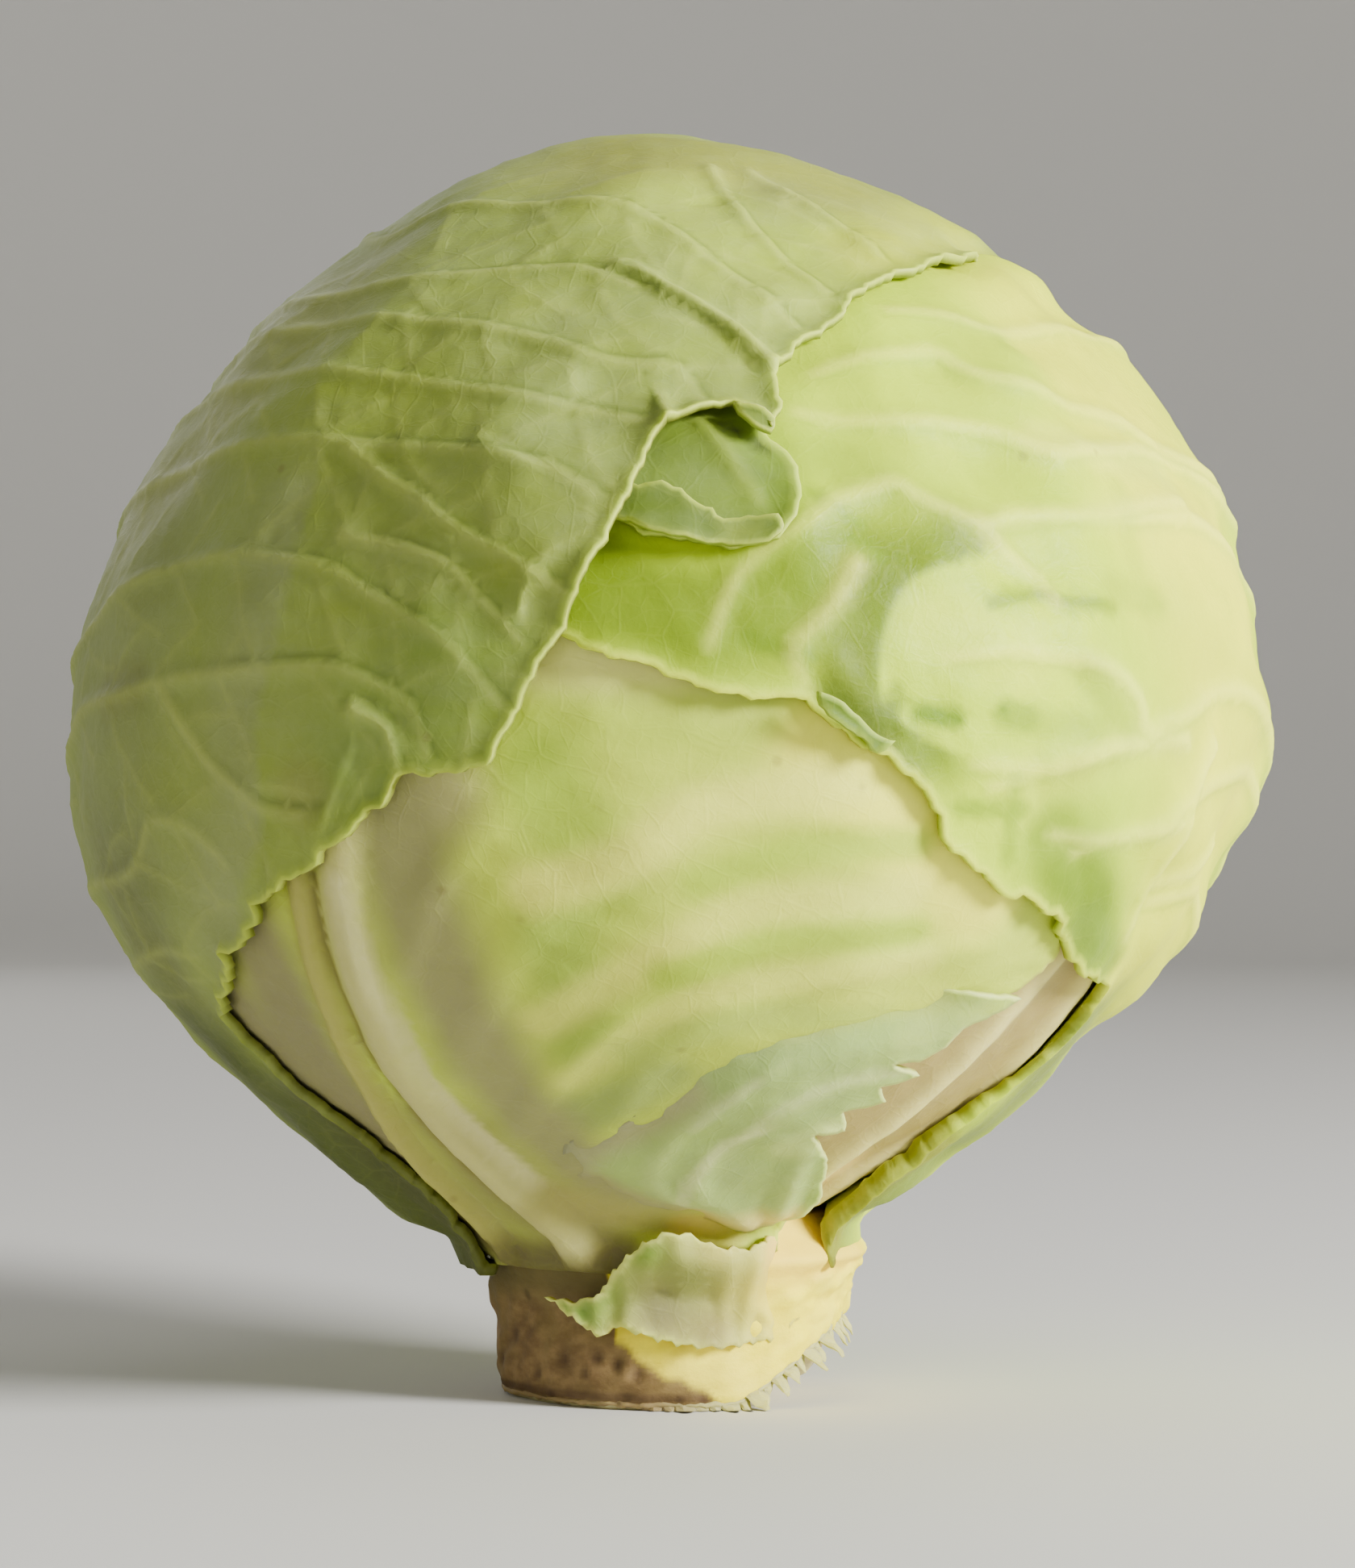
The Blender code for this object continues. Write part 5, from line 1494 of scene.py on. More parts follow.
            # Painted shade: a thin dark line along one side of each vein; build also sinks a shallow groove
            # under it.
            dark = np.exp(-((side * np.sign(self.crease_shade) - 0.6 * ridge.width) / 0.0005) ** 2)
            crease_shade = np.maximum(crease_shade, dark * (gap < 0.004) * abs(self.crease_shade) * smooth_step(place * 3))
        crease_shade = crease_shade * smooth_step((angles(dirs)[0] + 48) / 16)
        vein = np.maximum(vein, 0.4 * self.twig_mark(dirs))
        # Pale rim along the margin: partly the leaf's own paler edge, partly a painted highlight on the rolled
        # edge.
        rim = np.exp(-(np.maximum(form.depth(dirs), 0) / self.rim_width) ** 2) * form.thinning(dirs) ** 2
        rim = rim * smooth_step((dirs[:, 2] + 0.935) / 0.025) * (1 - 0.9 * form.tucked(dirs))
        return {"vein": vein, "crease_shade": crease_shade, "rim": rim}

    def build(self) -> bpy.types.Mesh:
        """Makes the leaf's mesh.

        Returns:
            The closed sheet with its attributes.
        """
        form = self.form
        if self.vein_spacing:
            form.twigs = VeinGrower(form, self.vein_spacing, self.vein_reach, form.seed).grow()
        dirs = self.points()
        triangles = self.triangles(dirs)
        turn = form.edge_turn(dirs)
        inner = form.inner(dirs)
        outer = form.outer(dirs)
        shown = form.exposed(dirs)
        marks = self.marks(dirs)
        outer = outer + (self.twig_height * self.twig_mark(dirs) - self.groove * marks["crease_shade"]) * shown
        depth = np.maximum(form.depth(dirs), 0.0)
        outer = outer + self.rim_swell * np.exp(-(depth / 0.0012) ** 2) * shown * form.thinning(dirs) ** 2
        outer = outer + 0.00008 * undulation(dirs * MEAN_RADIUS, 0.005, form.seed + 7) * shown
        inner_places = HEAD_CENTRE + dirs * (inner + turn)[:, None]
        outer_places = HEAD_CENTRE + dirs * (outer + turn)[:, None]
        mesh = sheet_mesh(form.node, outer_places, inner_places, triangles, marks, self.finish.tint(dirs))
        form.known.clear()
        return mesh

    def dress(self, effects: Effects) -> bpy.types.Object:
        """Builds the leaf and gives it its material and node."""
        item = add_object(f"{self.form.node}_blade", self.build(), self.finish.material(effects))
        return declare(item, "" if self.extra else self.form.node)


def wrapper_base(dirs: np.ndarray) -> np.ndarray:
    """Radius of the surface that the wrapper leaves' inner faces follow.

    Args:
        dirs: Unit vectors.

    Returns:
        Radii in metres.
    """
    swell = 0.00045 * undulation(dirs * MEAN_RADIUS, 0.034, 11)
    swell = swell * smooth_step((dirs[:, 2] + 0.75) / 0.3)
    return blended_radius(dirs, WRAPPER_LEFT, WRAPPER_RIGHT) - LEAF_THICKNESS + swell


def back_base(dirs: np.ndarray) -> np.ndarray:
    """Radius that the back leaf's inner face follows."""
    return wrapper_base(dirs) - BACK_LEAF_DEPTH


def head_radius(dirs: np.ndarray) -> np.ndarray:
    """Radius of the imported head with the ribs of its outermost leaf.

    Args:
        dirs: Unit vectors.

    Returns:
        Radii in metres.
    """
    radius = blended_radius(dirs, HEAD_LEFT, HEAD_RIGHT)
    rise = np.zeros(len(dirs))
    for places, height, width in HEAD_RIDGES:
        gap, _, place = Line.through(places).measure(dirs)
        across = np.clip(gap / (width * MM), 0.0, 1.0)
        rise = np.maximum(rise, height * MM * (1 - 0.4 * place) * (1 - across ** 2) ** 2)
    return radius + rise


def front_base(dirs: np.ndarray) -> np.ndarray:
    """Radius that the front leaf's inner face follows."""
    return head_radius(dirs) + LEAF_GAP


def side_ridges(start_lon: float, rows: Sequence, height: float, width: float) -> list:
    """Side veins that leave a midrib and bend to the margin, one for each row of numbers.

    Args:
        start_lon: Longitude of the midrib.
        rows: Start latitude, end longitude and end latitude of each vein.
        height: Height of the veins, in millimetres.
        width: Half width of the veins, in millimetres.

    Returns:
        Path, height and half width of each vein.
    """
    ridges = []
    for start_lat, end_lon, end_lat in rows:
        span = end_lon - start_lon
        drop = end_lat - start_lat
        path = [(start_lon + span * t, start_lat + drop * t ** 1.6 + 5.0 * math.sin(math.pi * t))
                for t in (0.0, 0.25, 0.5, 0.75, 1.0)]
        ridges.append((path, height, width))
    return ridges


def laterals_of_back_leaf() -> list:
    """Pairs of side veins on both sides of the back leaf's midrib.

    Returns:
        Path, height and half width of each vein.
    """
    rows = []
    for start in BACK_WRAPPER_LATERALS:
        pair = [(start, 209.0, start + 9.0), (start + 6.0, 151.0, start + 14.0)]
        rows.extend(side_ridges(180.0, pair, 0.8, 2.2))
    return rows


@dataclass
class PackedHead:
    """Dense head of inner leaves: one closed body with a flat seat."""

    finish: LeafFinish
    detail: int = 7

    def build(self) -> bpy.types.Mesh:
        """Makes the head's mesh from an even ball of triangles.

        Returns:
            The closed mesh with its attributes.
        """
        bm = bmesh.new()
        bmesh.ops.create_icosphere(bm, subdivisions=self.detail, radius=1.0)
        dirs = unit(np.array([tuple(vert.co) for vert in bm.verts]))
        radius = head_radius(dirs) + 0.00010 * undulation(dirs * MEAN_RADIUS, 0.006, 5)
        places = HEAD_CENTRE + dirs * radius[:, None]
        places[:, 2] = np.maximum(places[:, 2], HEAD_BOTTOM)
        for vert, place in zip(bm.verts, places):
            vert.co = place
        for face in bm.faces:
            face.smooth = True
        mesh = bpy.data.meshes.new("head")
        bm.to_mesh(mesh)
        bm.free()
        vein = np.zeros(len(dirs))
        for path, _, _ in HEAD_RIDGES:
            vein = np.maximum(vein, np.exp(-(Line.through(path).measure(dirs)[0] / 0.0028) ** 2))
        none = np.zeros(len(dirs))
        paint(mesh, {"vein": vein, "crease_shade": none, "rim": none, "inside": none},
              self.finish.tint(dirs))
        return mesh

    def dress(self, effects: Effects) -> bpy.types.Object:
        """Builds the head and gives it its material and node."""
        item = add_object("packed_head", self.build(), self.finish.material(effects))
        return declare(item, "head")


SOCKETS = {float: "NodeSocketFloat", int: "NodeSocketInt"}


class NodeShape:
    """Mesh made by a geometry node tree with named inputs."""

    def __init__(self, name: str, sizes: dict[str, float | int]) -> None:
        """Starts the tree.

        Args:
            name: Name of the tree.
            sizes: Named inputs and their values.
        """
        group = bpy.data.node_groups.new(name, "GeometryNodeTree")
        group.interface.new_socket("Geometry", in_out="OUTPUT", socket_type="NodeSocketGeometry")
        group.interface.new_socket("Geometry", in_out="INPUT", socket_type="NodeSocketGeometry")
        for key, value in sizes.items():
            group.interface.new_socket(key, in_out="INPUT", socket_type=SOCKETS[type(value)])
        group.interface.new_socket("Material", in_out="INPUT", socket_type="NodeSocketMaterial")
        self.sizes = sizes
        self.tree = Tree(group)
        self.given = self.tree.add("NodeGroupInput").outputs

    def finish(self, geometry: bpy.types.NodeSocket) -> None:
        """Ends the tree in real geometry with its material.

        Args:
            geometry: What the tree has made.
        """
        real = self.tree.add("GeometryNodeRealizeInstances", {0: geometry})
        dressed = self.tree.add("GeometryNodeSetMaterial", {"Geometry": real.outputs[0],
                                                            "Material": self.given["Material"]})
        self.tree.add("NodeGroupOutput", {0: dressed.outputs[0]})

    def mesh(self, carrier: bpy.types.Mesh, material: bpy.types.Material) -> bpy.types.Mesh:
        """Runs the tree on a carrier mesh.

        Args:
            carrier: Mesh that the tree takes as its geometry.
            material: Material of the result.

        Returns:
            The result as a plain mesh.
        """
        item = bpy.data.objects.new(carrier.name, carrier)
        bpy.context.scene.collection.objects.link(item)
        modifier = item.modifiers.new("shape", "NODES")
        modifier.node_group = self.tree.tree
        for socket in self.tree.tree.interface.items_tree:
            if socket.in_out == "INPUT" and socket.name in self.sizes:
                modifier[socket.identifier] = self.sizes[socket.name]
            elif socket.in_out == "INPUT" and socket.name == "Material":
                modifier[socket.identifier] = material
        state = item.evaluated_get(bpy.context.evaluated_depsgraph_get())
        result = bpy.data.meshes.new_from_object(state)
        item.modifiers.remove(modifier)
        bpy.data.objects.remove(item, do_unlink=True)
        return result


def polyline(name: str, places: np.ndarray, vectors: dict[str, np.ndarray] | None = None) -> bpy.types.Mesh:
    """Open line of mesh edges, with vector attributes on its points.

    Args:
        name: Name of what is made.
        places: Places of the points.
        vectors: Vectors of the points, by attribute name.

    Returns:
        The mesh.
    """
    mesh = bpy.data.meshes.new(name)
    mesh.from_pydata([tuple(p) for p in places], [(k, k + 1) for k in range(len(places) - 1)], [])
    for key, value in (vectors or {}).items():
        data = mesh.attributes.new(key, "FLOAT_VECTOR", "POINT").data
        data.foreach_set("vector", value.astype(np.float32).ravel())
    return mesh


@dataclass(frozen=True)
class StumpFinish:
    """Finish of the cut stump: brown skin, yellow flesh and a pale cut."""

    name: str = "cabbage_stump"
    skin: Colour = (146, 120, 78)
    skin_dark: Colour = (112, 88, 54)
    flesh: Colour = (255, 236, 24)
    flesh_green: Colour = (236, 218, 36)
    cut: Colour = (206, 196, 140)
    roughness: float = 0.62

    def material(self, effects: Effects) -> bpy.types.Material:
        """Builds the stump's material.

        Args:
            effects: The shared shader node groups.

        Returns:
            The material.
        """
        material, tree, shader = new_material(self.name)
        place = tree.place()
        long = tree.add("ShaderNodeMapping", {0: place, "Scale": (1.0, 1.0, 1.5)}).outputs[0]
        grain = tree.add("ShaderNodeTexNoise", {"Vector": long, "Scale": 260.0, "Detail": 6.0,
                                                "Roughness": 0.6}).outputs[0]
        mottle = tree.add("ShaderNodeGroup", node_tree=effects.mottle)
        mottle.inputs["Scale"].default_value = 120.0
        specks = tree.add("ShaderNodeGroup", node_tree=effects.specks)
        specks.inputs["Cell"].default_value = 260.0
        specks.inputs["Size"].default_value = 0.35
        skin = tree.mix(tree.ramp(grain, 0.3, 0.7), linear(self.skin_dark), linear(self.skin))
        skin = tree.mix(tree.math("MULTIPLY", mottle.outputs["Broad"], 0.45), skin, linear((118, 102, 52)))
        skin = tree.mix(tree.math("MULTIPLY", specks.outputs["Mask"], 0.7), skin, linear((70, 52, 34)))
        flesh = tree.mix(tree.ramp(grain, 0.3, 0.7), linear(self.flesh_green), linear(self.flesh))
        flesh = tree.mix(tree.math("MULTIPLY", mottle.outputs["Broad"], 0.5), flesh, linear((255, 236, 84)))
        colour = tree.mix(tree.attribute("skin"), flesh, skin)
        colour = tree.mix(tree.attribute("cut"), colour, linear(self.cut))
        colour = tree.mix(tree.attribute("scar"), colour, linear((66, 46, 32)))
        # Painted shade: darker olive on the top of the skin, under the overhanging head.
        colour = tree.mix(tree.attribute("head_shade"), colour, linear((98, 90, 46)))
        colour = tree.mix(tree.attribute("blush"), colour, linear((252, 196, 84)))
        tree.link(colour, shader["Base Color"])
        tree.link(tree.math("ADD", tree.math("MULTIPLY", grain, 0.2), self.roughness - 0.1),
                            shader["Roughness"])
        bump = tree.add("ShaderNodeBump", {"Strength": 0.7, "Distance": 1.0,
                                           "Height": tree.math("MULTIPLY", grain, 0.0004)})
        tree.link(bump.outputs[0], shader["Normal"])
        shader["Specular IOR Level"].default_value = 0.2
        shader["Subsurface Weight"].default_value = 0.15
        shader["Subsurface Radius"].default_value = (1.0, 0.7, 0.3)
        shader["Subsurface Scale"].default_value = 0.003
        return material


def stalk_break(x: np.ndarray, y: np.ndarray) -> np.ndarray:
    """Height of the broken-out part of the cut, at the front right.

    Args:
        x: Places to the right, in metres.
        y: Places to the back, in metres.

    Returns:
        Heights in metres.
    """
    rise = np.clip((x - STALK_BREAK_START) / 0.0175, 0.0, 1.0) ** 1.25
    back = 1 - smooth_step((y - STALK_BREAK_BACK) / 0.010)
    return STALK_BREAK_HEIGHT * rise * back


def across_stalk(lon: np.ndarray, middle: float) -> np.ndarray:
    """Arc from a longitude round the stalk, in millimetres."""
    return np.radians((lon - middle + 180) % 360 - 180) * STALK_RADIUS * 1000


def stalk_swelling(lon: np.ndarray, height: np.ndarray) -> np.ndarray:
    """Radius added by the swellings of the stalk's skin, in metres.

    Args:
        lon: Longitudes in degrees.
        height: Heights in metres.

    Returns:
        Lengths in metres.
    """
    added = np.zeros(len(lon))
    for middle, level, width, rise in STALK_SWELLINGS:
        across = across_stalk(lon, middle)
        added += rise * np.exp(-(across ** 2 + (height * 1000 - level) ** 2) / (width ** 2))
    return added * MM * smooth_step((SKIN_TOP - height) / 0.006)


STUMP_PROFILE = [(0, 0), (9, 0), (16.5, 0), (21.5, 0), (24.2, 0), (25.4, 1.6), (25.9, 4.5), (25.8, 8),
                 (25.7, 12), (26.1, 15.5), (27, 18.5), (28.2, 20.6), (28.5, 21.6), (27.6, 22.8),
                 (25.8, 24.6),
                 (24.6, 26), (23.4, 27.5), (16, 27.5), (8, 27.5), (0, 27.5)]


@dataclass
class Stump:
    """Cut stump, turned from its ring profile, then swollen, scarred and broken out."""

    finish: StumpFinish
    segments: int = 260
    rings: int = 120
    scars: tuple[tuple[float, float, float], ...] = (
        (-39.0, 7.0, 1.1), (-31.0, 5.2, 0.7), (-27.0, 7.4, 1.0), (-20.0, 6.6, 1.0), (-13.0, 5.4, 0.9),
        (-52.0, 4.4, 0.8), (-66.0, 9.5, 1.2), (-75.0, 5.5, 0.9), (-118.0, 8.0, 1.4), (-140.0, 5.0, 1.0),
        (-165.0, 10.0, 1.2), (150.0, 6.5, 1.2), (128.0, 11.0, 1.1), (-95.0, 12.5, 1.3))
    skin_edge: tuple[tuple[float, float], ...] = ((-60.0, 40.0), (-24.0, 40.0), (-20.0, 9.6), (-7.0, 6.5),
                                                  (3.0, 3.9), (14.0, 1.0), (24.0, -3.0), (100.0, -3.0),
                                                  (118.0, 8.0), (132.0, 21.0))

    def shape(self) -> NodeShape:
        """Node tree that turns a profile line round the stalk's axis.

        Returns:
            The tree, ready to run.
        """
        made = NodeShape("turned_profile", {"Segments": self.segments, "Rings": self.rings})
        tree = made.tree
        curve = tree.add("GeometryNodeMeshToCurve", {0: made.given["Geometry"]}).outputs[0]
        grid = tree.add("GeometryNodeMeshGrid", {"Size X": 1.0, "Size Y": 1.0,
                                                 "Vertices X": made.given["Segments"],
                                                 "Vertices Y": made.given["Rings"]})
        place = tree.add("ShaderNodeSeparateXYZ", {0: tree.add("GeometryNodeInputPosition").outputs[0]})
        angle = tree.math("MULTIPLY", tree.math("ADD", place.outputs[0], 0.5), 2 * math.pi)
        factor = tree.math("ADD", place.outputs[1], 0.5)
        sample = tree.add("GeometryNodeSampleCurve", mode="FACTOR", use_all_curves=True)
        tree.link(curve, sample.inputs["Curves"])
        tree.link(factor, sample.inputs["Factor"])
        profile = tree.add("ShaderNodeSeparateXYZ", {0: sample.outputs["Position"]})
        x = tree.math("MULTIPLY", profile.outputs[0], tree.math("SINE", angle))
        y = tree.math("MULTIPLY", profile.outputs[0], tree.math("MULTIPLY", tree.math("COSINE", angle),
                                                                -1.0))
        target = tree.add("ShaderNodeCombineXYZ", {0: x, 1: y, 2: profile.outputs[2]})
        turned = tree.add("GeometryNodeSetPosition", {"Geometry": grid.outputs["Mesh"],
                                                      "Position": target.outputs[0]})
        closed = tree.add("GeometryNodeMergeByDistance", {"Geometry": turned.outputs[0], "Distance": 1e-6})
        made.finish(closed.outputs[0])
        return made

    def build(self, material: bpy.types.Material) -> bpy.types.Mesh:
        """Turns the stump and works its surface.

        Args:
            material: The stump's material.

        Returns:
            The closed mesh with its masks.
        """
        rings = np.array(STUMP_PROFILE) * MM
        line = polyline("stump_profile", np.stack([rings[:, 0], rings[:, 0] * 0, rings[:, 1]], axis=1))
        mesh = self.shape().mesh(line, material)
        bm = bmesh.new()
        bm.from_mesh(mesh)
        bmesh.ops.dissolve_degenerate(bm, edges=bm.edges, dist=1e-7)
        places = np.array([tuple(vert.co) for vert in bm.verts])
        lon = np.degrees(np.arctan2(places[:, 0], -places[:, 1]))
        radius = np.hypot(places[:, 0], places[:, 1])
        height = places[:, 2]
        side = smooth_step((radius - 0.0215) / 0.003)
        low = smooth_step((SKIN_TOP - height) / 0.006)
        radius = radius + side * stalk_swelling(lon, height)
        scar = self.scar_mask(lon, height) * side
        rough = undulation(places * np.array([0.7, 0.7, 1.3]), 0.0042, 21, 12)
        broken = smooth_step(stalk_break(radius * np.sin(np.radians(lon)),
                                         -radius * np.cos(np.radians(lon)))
                             / 0.004)
        radius = radius + side * low * (0.00022 * rough - 0.00050 * scar)
        x = radius * np.sin(np.radians(lon))
        y = -radius * np.cos(np.radians(lon))
        share = np.clip(1 - height / 0.021, 0.0, 1.0)
        torn = 1 + broken * (0.06 * undulation(np.stack([x, y, x * 0], axis=1), 0.0028, 31, 12))
        lifted = height + stalk_break(x, y) * share * torn
        skin = self.skin_mask(lon, height)
        cut = smooth_step((0.0011 - height) / 0.0006) * (1 - 0.6 * broken)
        for vert, place in zip(bm.verts, np.stack([x, y, np.maximum(lifted, 0.0)], axis=1)):
            vert.co = place
        bmesh.ops.recalc_face_normals(bm, faces=bm.faces)
        for face in bm.faces:
            face.smooth = True
        bm.to_mesh(mesh)
        bm.free()
        dark_line = np.exp(-((height - 0.0019) / 0.0006) ** 2) * skin * 0.8
        sides = smooth_step((lon - 5) / 20) * smooth_step((88 - lon) / 20)
        blush = smooth_step((height - 0.014) / 0.006) * sides
        # The olive mask on the top of the skin is painted shade under the overhanging head.
        masks = {"skin": skin, "cut": cut, "scar": np.maximum(scar * 0.75 * skin, dark_line),
                 "blush": blush * 0.4,
                 "head_shade": 0.8 * skin * smooth_step((height - 0.0125) / 0.006)}
        for key, value in masks.items():
            mesh.attributes.new(key, "FLOAT", "POINT").data.foreach_set("value", value.astype(np.float32))
        return mesh

    def scar_mask(self, lon: np.ndarray, height: np.ndarray) -> np.ndarray:
        """Where the small leaf scars and pits lie.

        Args:
            lon: Longitudes in degrees.
            height: Heights in metres.

        Returns:
            Shares from 0 to 1.
        """
        mask = np.zeros(len(lon))
        for middle, level, reach in self.scars:
            across = across_stalk(lon, middle)
            mask = np.maximum(mask, np.exp(-(across ** 2 + ((height * 1000 - level) * 0.8) ** 2) / reach ** 2))
        return mask

    def skin_mask(self, lon: np.ndarray, height: np.ndarray) -> np.ndarray:
        """1 on the brown skin, 0 on the yellow flesh at the front right.

        Args:
            lon: Longitudes in degrees.
            height: Heights in metres.

        Returns:
            Shares from 0 to 1.
        """
        edge = np.array(self.skin_edge)
        level = np.interp(lon, edge[:, 0], edge[:, 1], left=40.0, right=40.0)
        ragged = 0.6 * np.sin(lon * 0.23) + 0.25 * np.sin(lon * 0.71 + 1.0)
        return smooth_step((level + ragged - height * 1000) / 1.8 + 0.5)

    def dress(self, effects: Effects) -> bpy.types.Object:
        """Builds the stump and gives it its material and node.

        Args:
            effects: The shared shader node groups.

        Returns:
            The piece.
        """
        material = self.finish.material(effects)
        item = add_object("stump_body", self.build(material), material)
        return declare(item, "stalk")


@dataclass
class StumpLeaf:
    """Small torn leaf base that wraps the front of the stump."""

    finish: LeafFinish
    spacing: float = 0.7
    thickness: float = LEAF_THICKNESS
    colours: tuple[tuple[float, float, float, Colour], ...] = (
        (-2.0, 15.5, 6.0, (148, 138, 98)), (5.0, 12.5, 4.0, (156, 144, 86)),
        (2.0, 20.0, 5.0, (140, 146, 72)),
        (11.0, 18.0, 5.0, (180, 170, 70)), (18.0, 15.0, 6.0, (252, 228, 50)),
        (16.0, 21.0, 4.0, (244, 214, 70)),
        (-12.0, 19.0, 6.0, (130, 160, 50)), (-15.0, 14.0, 4.5, (108, 148, 44)),
        (-4.0, 24.0, 3.0, (120, 150, 38)),
        (5.0, 24.6, 2.6, (206, 196, 96)), (14.0, 24.0, 3.0, (250, 206, 96)))

    def outline(self) -> np.ndarray:
        """Closed outline as arc length round the stalk and height, in millimetres.

        Returns:
            Points of the outline.
        """
        rng = np.random.default_rng(8)
        loop = []
        for stretch in STALK_LEAF_OUTLINE:
            points = np.array(stretch, float)
            points[:, 0] = np.radians(points[:, 0]) * STALK_LEAF_RADIUS
            gaps = np.linalg.norm(np.diff(points, axis=0), axis=1)
            along = np.concatenate([[0.0], np.cumsum(gaps)])
            count = max(int(round(along[-1] / self.spacing)), 1)
            t = np.linspace(0, along[-1], count + 1)[:-1]
            run = np.stack([smooth_curve(t, along, points[:, k]) for k in range(2)], axis=1)
            ends = np.clip(np.minimum(t, along[-1] - t) / 1.5, 0, 1)
            run[:, 1] += 0.3 * ends * np.sin(t * 2.1 + rng.uniform(0, 6)) + 0.2 * ends * np.sin(t * 4.7)
            loop.extend(run)
        return np.array(loop)

    def build(self) -> bpy.types.Mesh:
        """Makes the leaf base as a closed sheet.

        Returns:
            The mesh with its attributes.
        """
        loop = self.outline()
        step = self.spacing
        grid = np.array([(col * step + (row % 2) * step / 2, row * step * 0.87)
                         for col in range(-30, 34) for row in range(8, 46)])
        grid = grid[inside_loop(grid, loop)]
        spread = np.linalg.norm(grid[:, None, :] - loop[None, :, :], axis=2).min(axis=1)
        flat = np.concatenate([loop, grid[spread > step * 0.5]])
        rim = [(k, (k + 1) % len(loop)) for k in range(len(loop))]
        result = delaunay_2d_cdt([Vector(p) for p in flat], rim, [], 0, 1e-6, True)
        first = np.array([group[0] for group in result[3]])
        corners = first[np.array([tuple(triangle) for triangle in result[2]])]
        corners = corners[inside_loop(flat[corners].mean(axis=1), loop)]
        lon = np.degrees(flat[:, 0] / STALK_LEAF_RADIUS)
        height = flat[:, 1] * MM
        depth = np.linalg.norm(flat[:, None, :] - loop[None, :, :], axis=2).min(axis=1)
        wall = STALK_RADIUS + 0.0008 + stalk_swelling(lon, height)
        merged = smooth_step((lon - 20) / 16)
        flare = 0.0052 * smooth_step((height - 0.0155) / 0.008) * (1 - 0.75 * merged)
        tips = 0.0016 * smooth_step((-lon - 17.0) / 18.0)
        waves = 0.0005 * np.sin(np.radians(lon) * 9.0 + height * 300)
        folds = 0.00035 * undulation(np.stack([flat[:, 0], flat[:, 1] * 0.3, flat[:, 0] * 0], axis=1), 5.0,
                                     3)
        sunk = smooth_step((lon - 13) / 14) * smooth_step((0.0165 - height) / 0.005)
        sunk = np.maximum(sunk, merged)
        near = np.maximum(wall + flare + tips + waves + folds, wall) - 0.0030 * sunk
        far = near + self.thickness + 0.0003 * np.exp(-(depth / 0.9) ** 2)
        around = np.radians(lon)
        sheets = [np.stack([r * np.sin(around), -r * np.cos(around), height], axis=1) for r in (near, far)]
        tint = np.tile(tinted(self.finish.blade), (len(flat), 1))
        for middle, level, reach, colour in self.colours:
            share = np.exp(-((flat[:, 0] - middle) ** 2 + (flat[:, 1] - level) ** 2) / reach ** 2)[:, None]
            tint = tint * (1 - share) + tinted(colour) * share
        rows = np.abs(np.sin(flat[:, 0] * 0.9 + 0.15 * flat[:, 1]))
        vein = 0.3 * smooth_step(1 - rows / 0.16) * smooth_step((flat[:, 0] + 20) / 6)
        none = np.zeros(len(flat))
        masks = {"vein": vein, "crease_shade": none,
                 "rim": np.exp(-(depth / 0.6) ** 2) * (1 - smooth_step((lon + 6) / 20))}
        return sheet_mesh("stump_leaf", sheets[1], sheets[0], corners, masks, tint)

    def dress(self, effects: Effects) -> bpy.types.Object:
        """Builds the leaf base and gives it its material and node."""
        item = add_object("stump_leaf_blade", self.build(), self.finish.material(effects))
        return declare(item, "stalk_leaf")


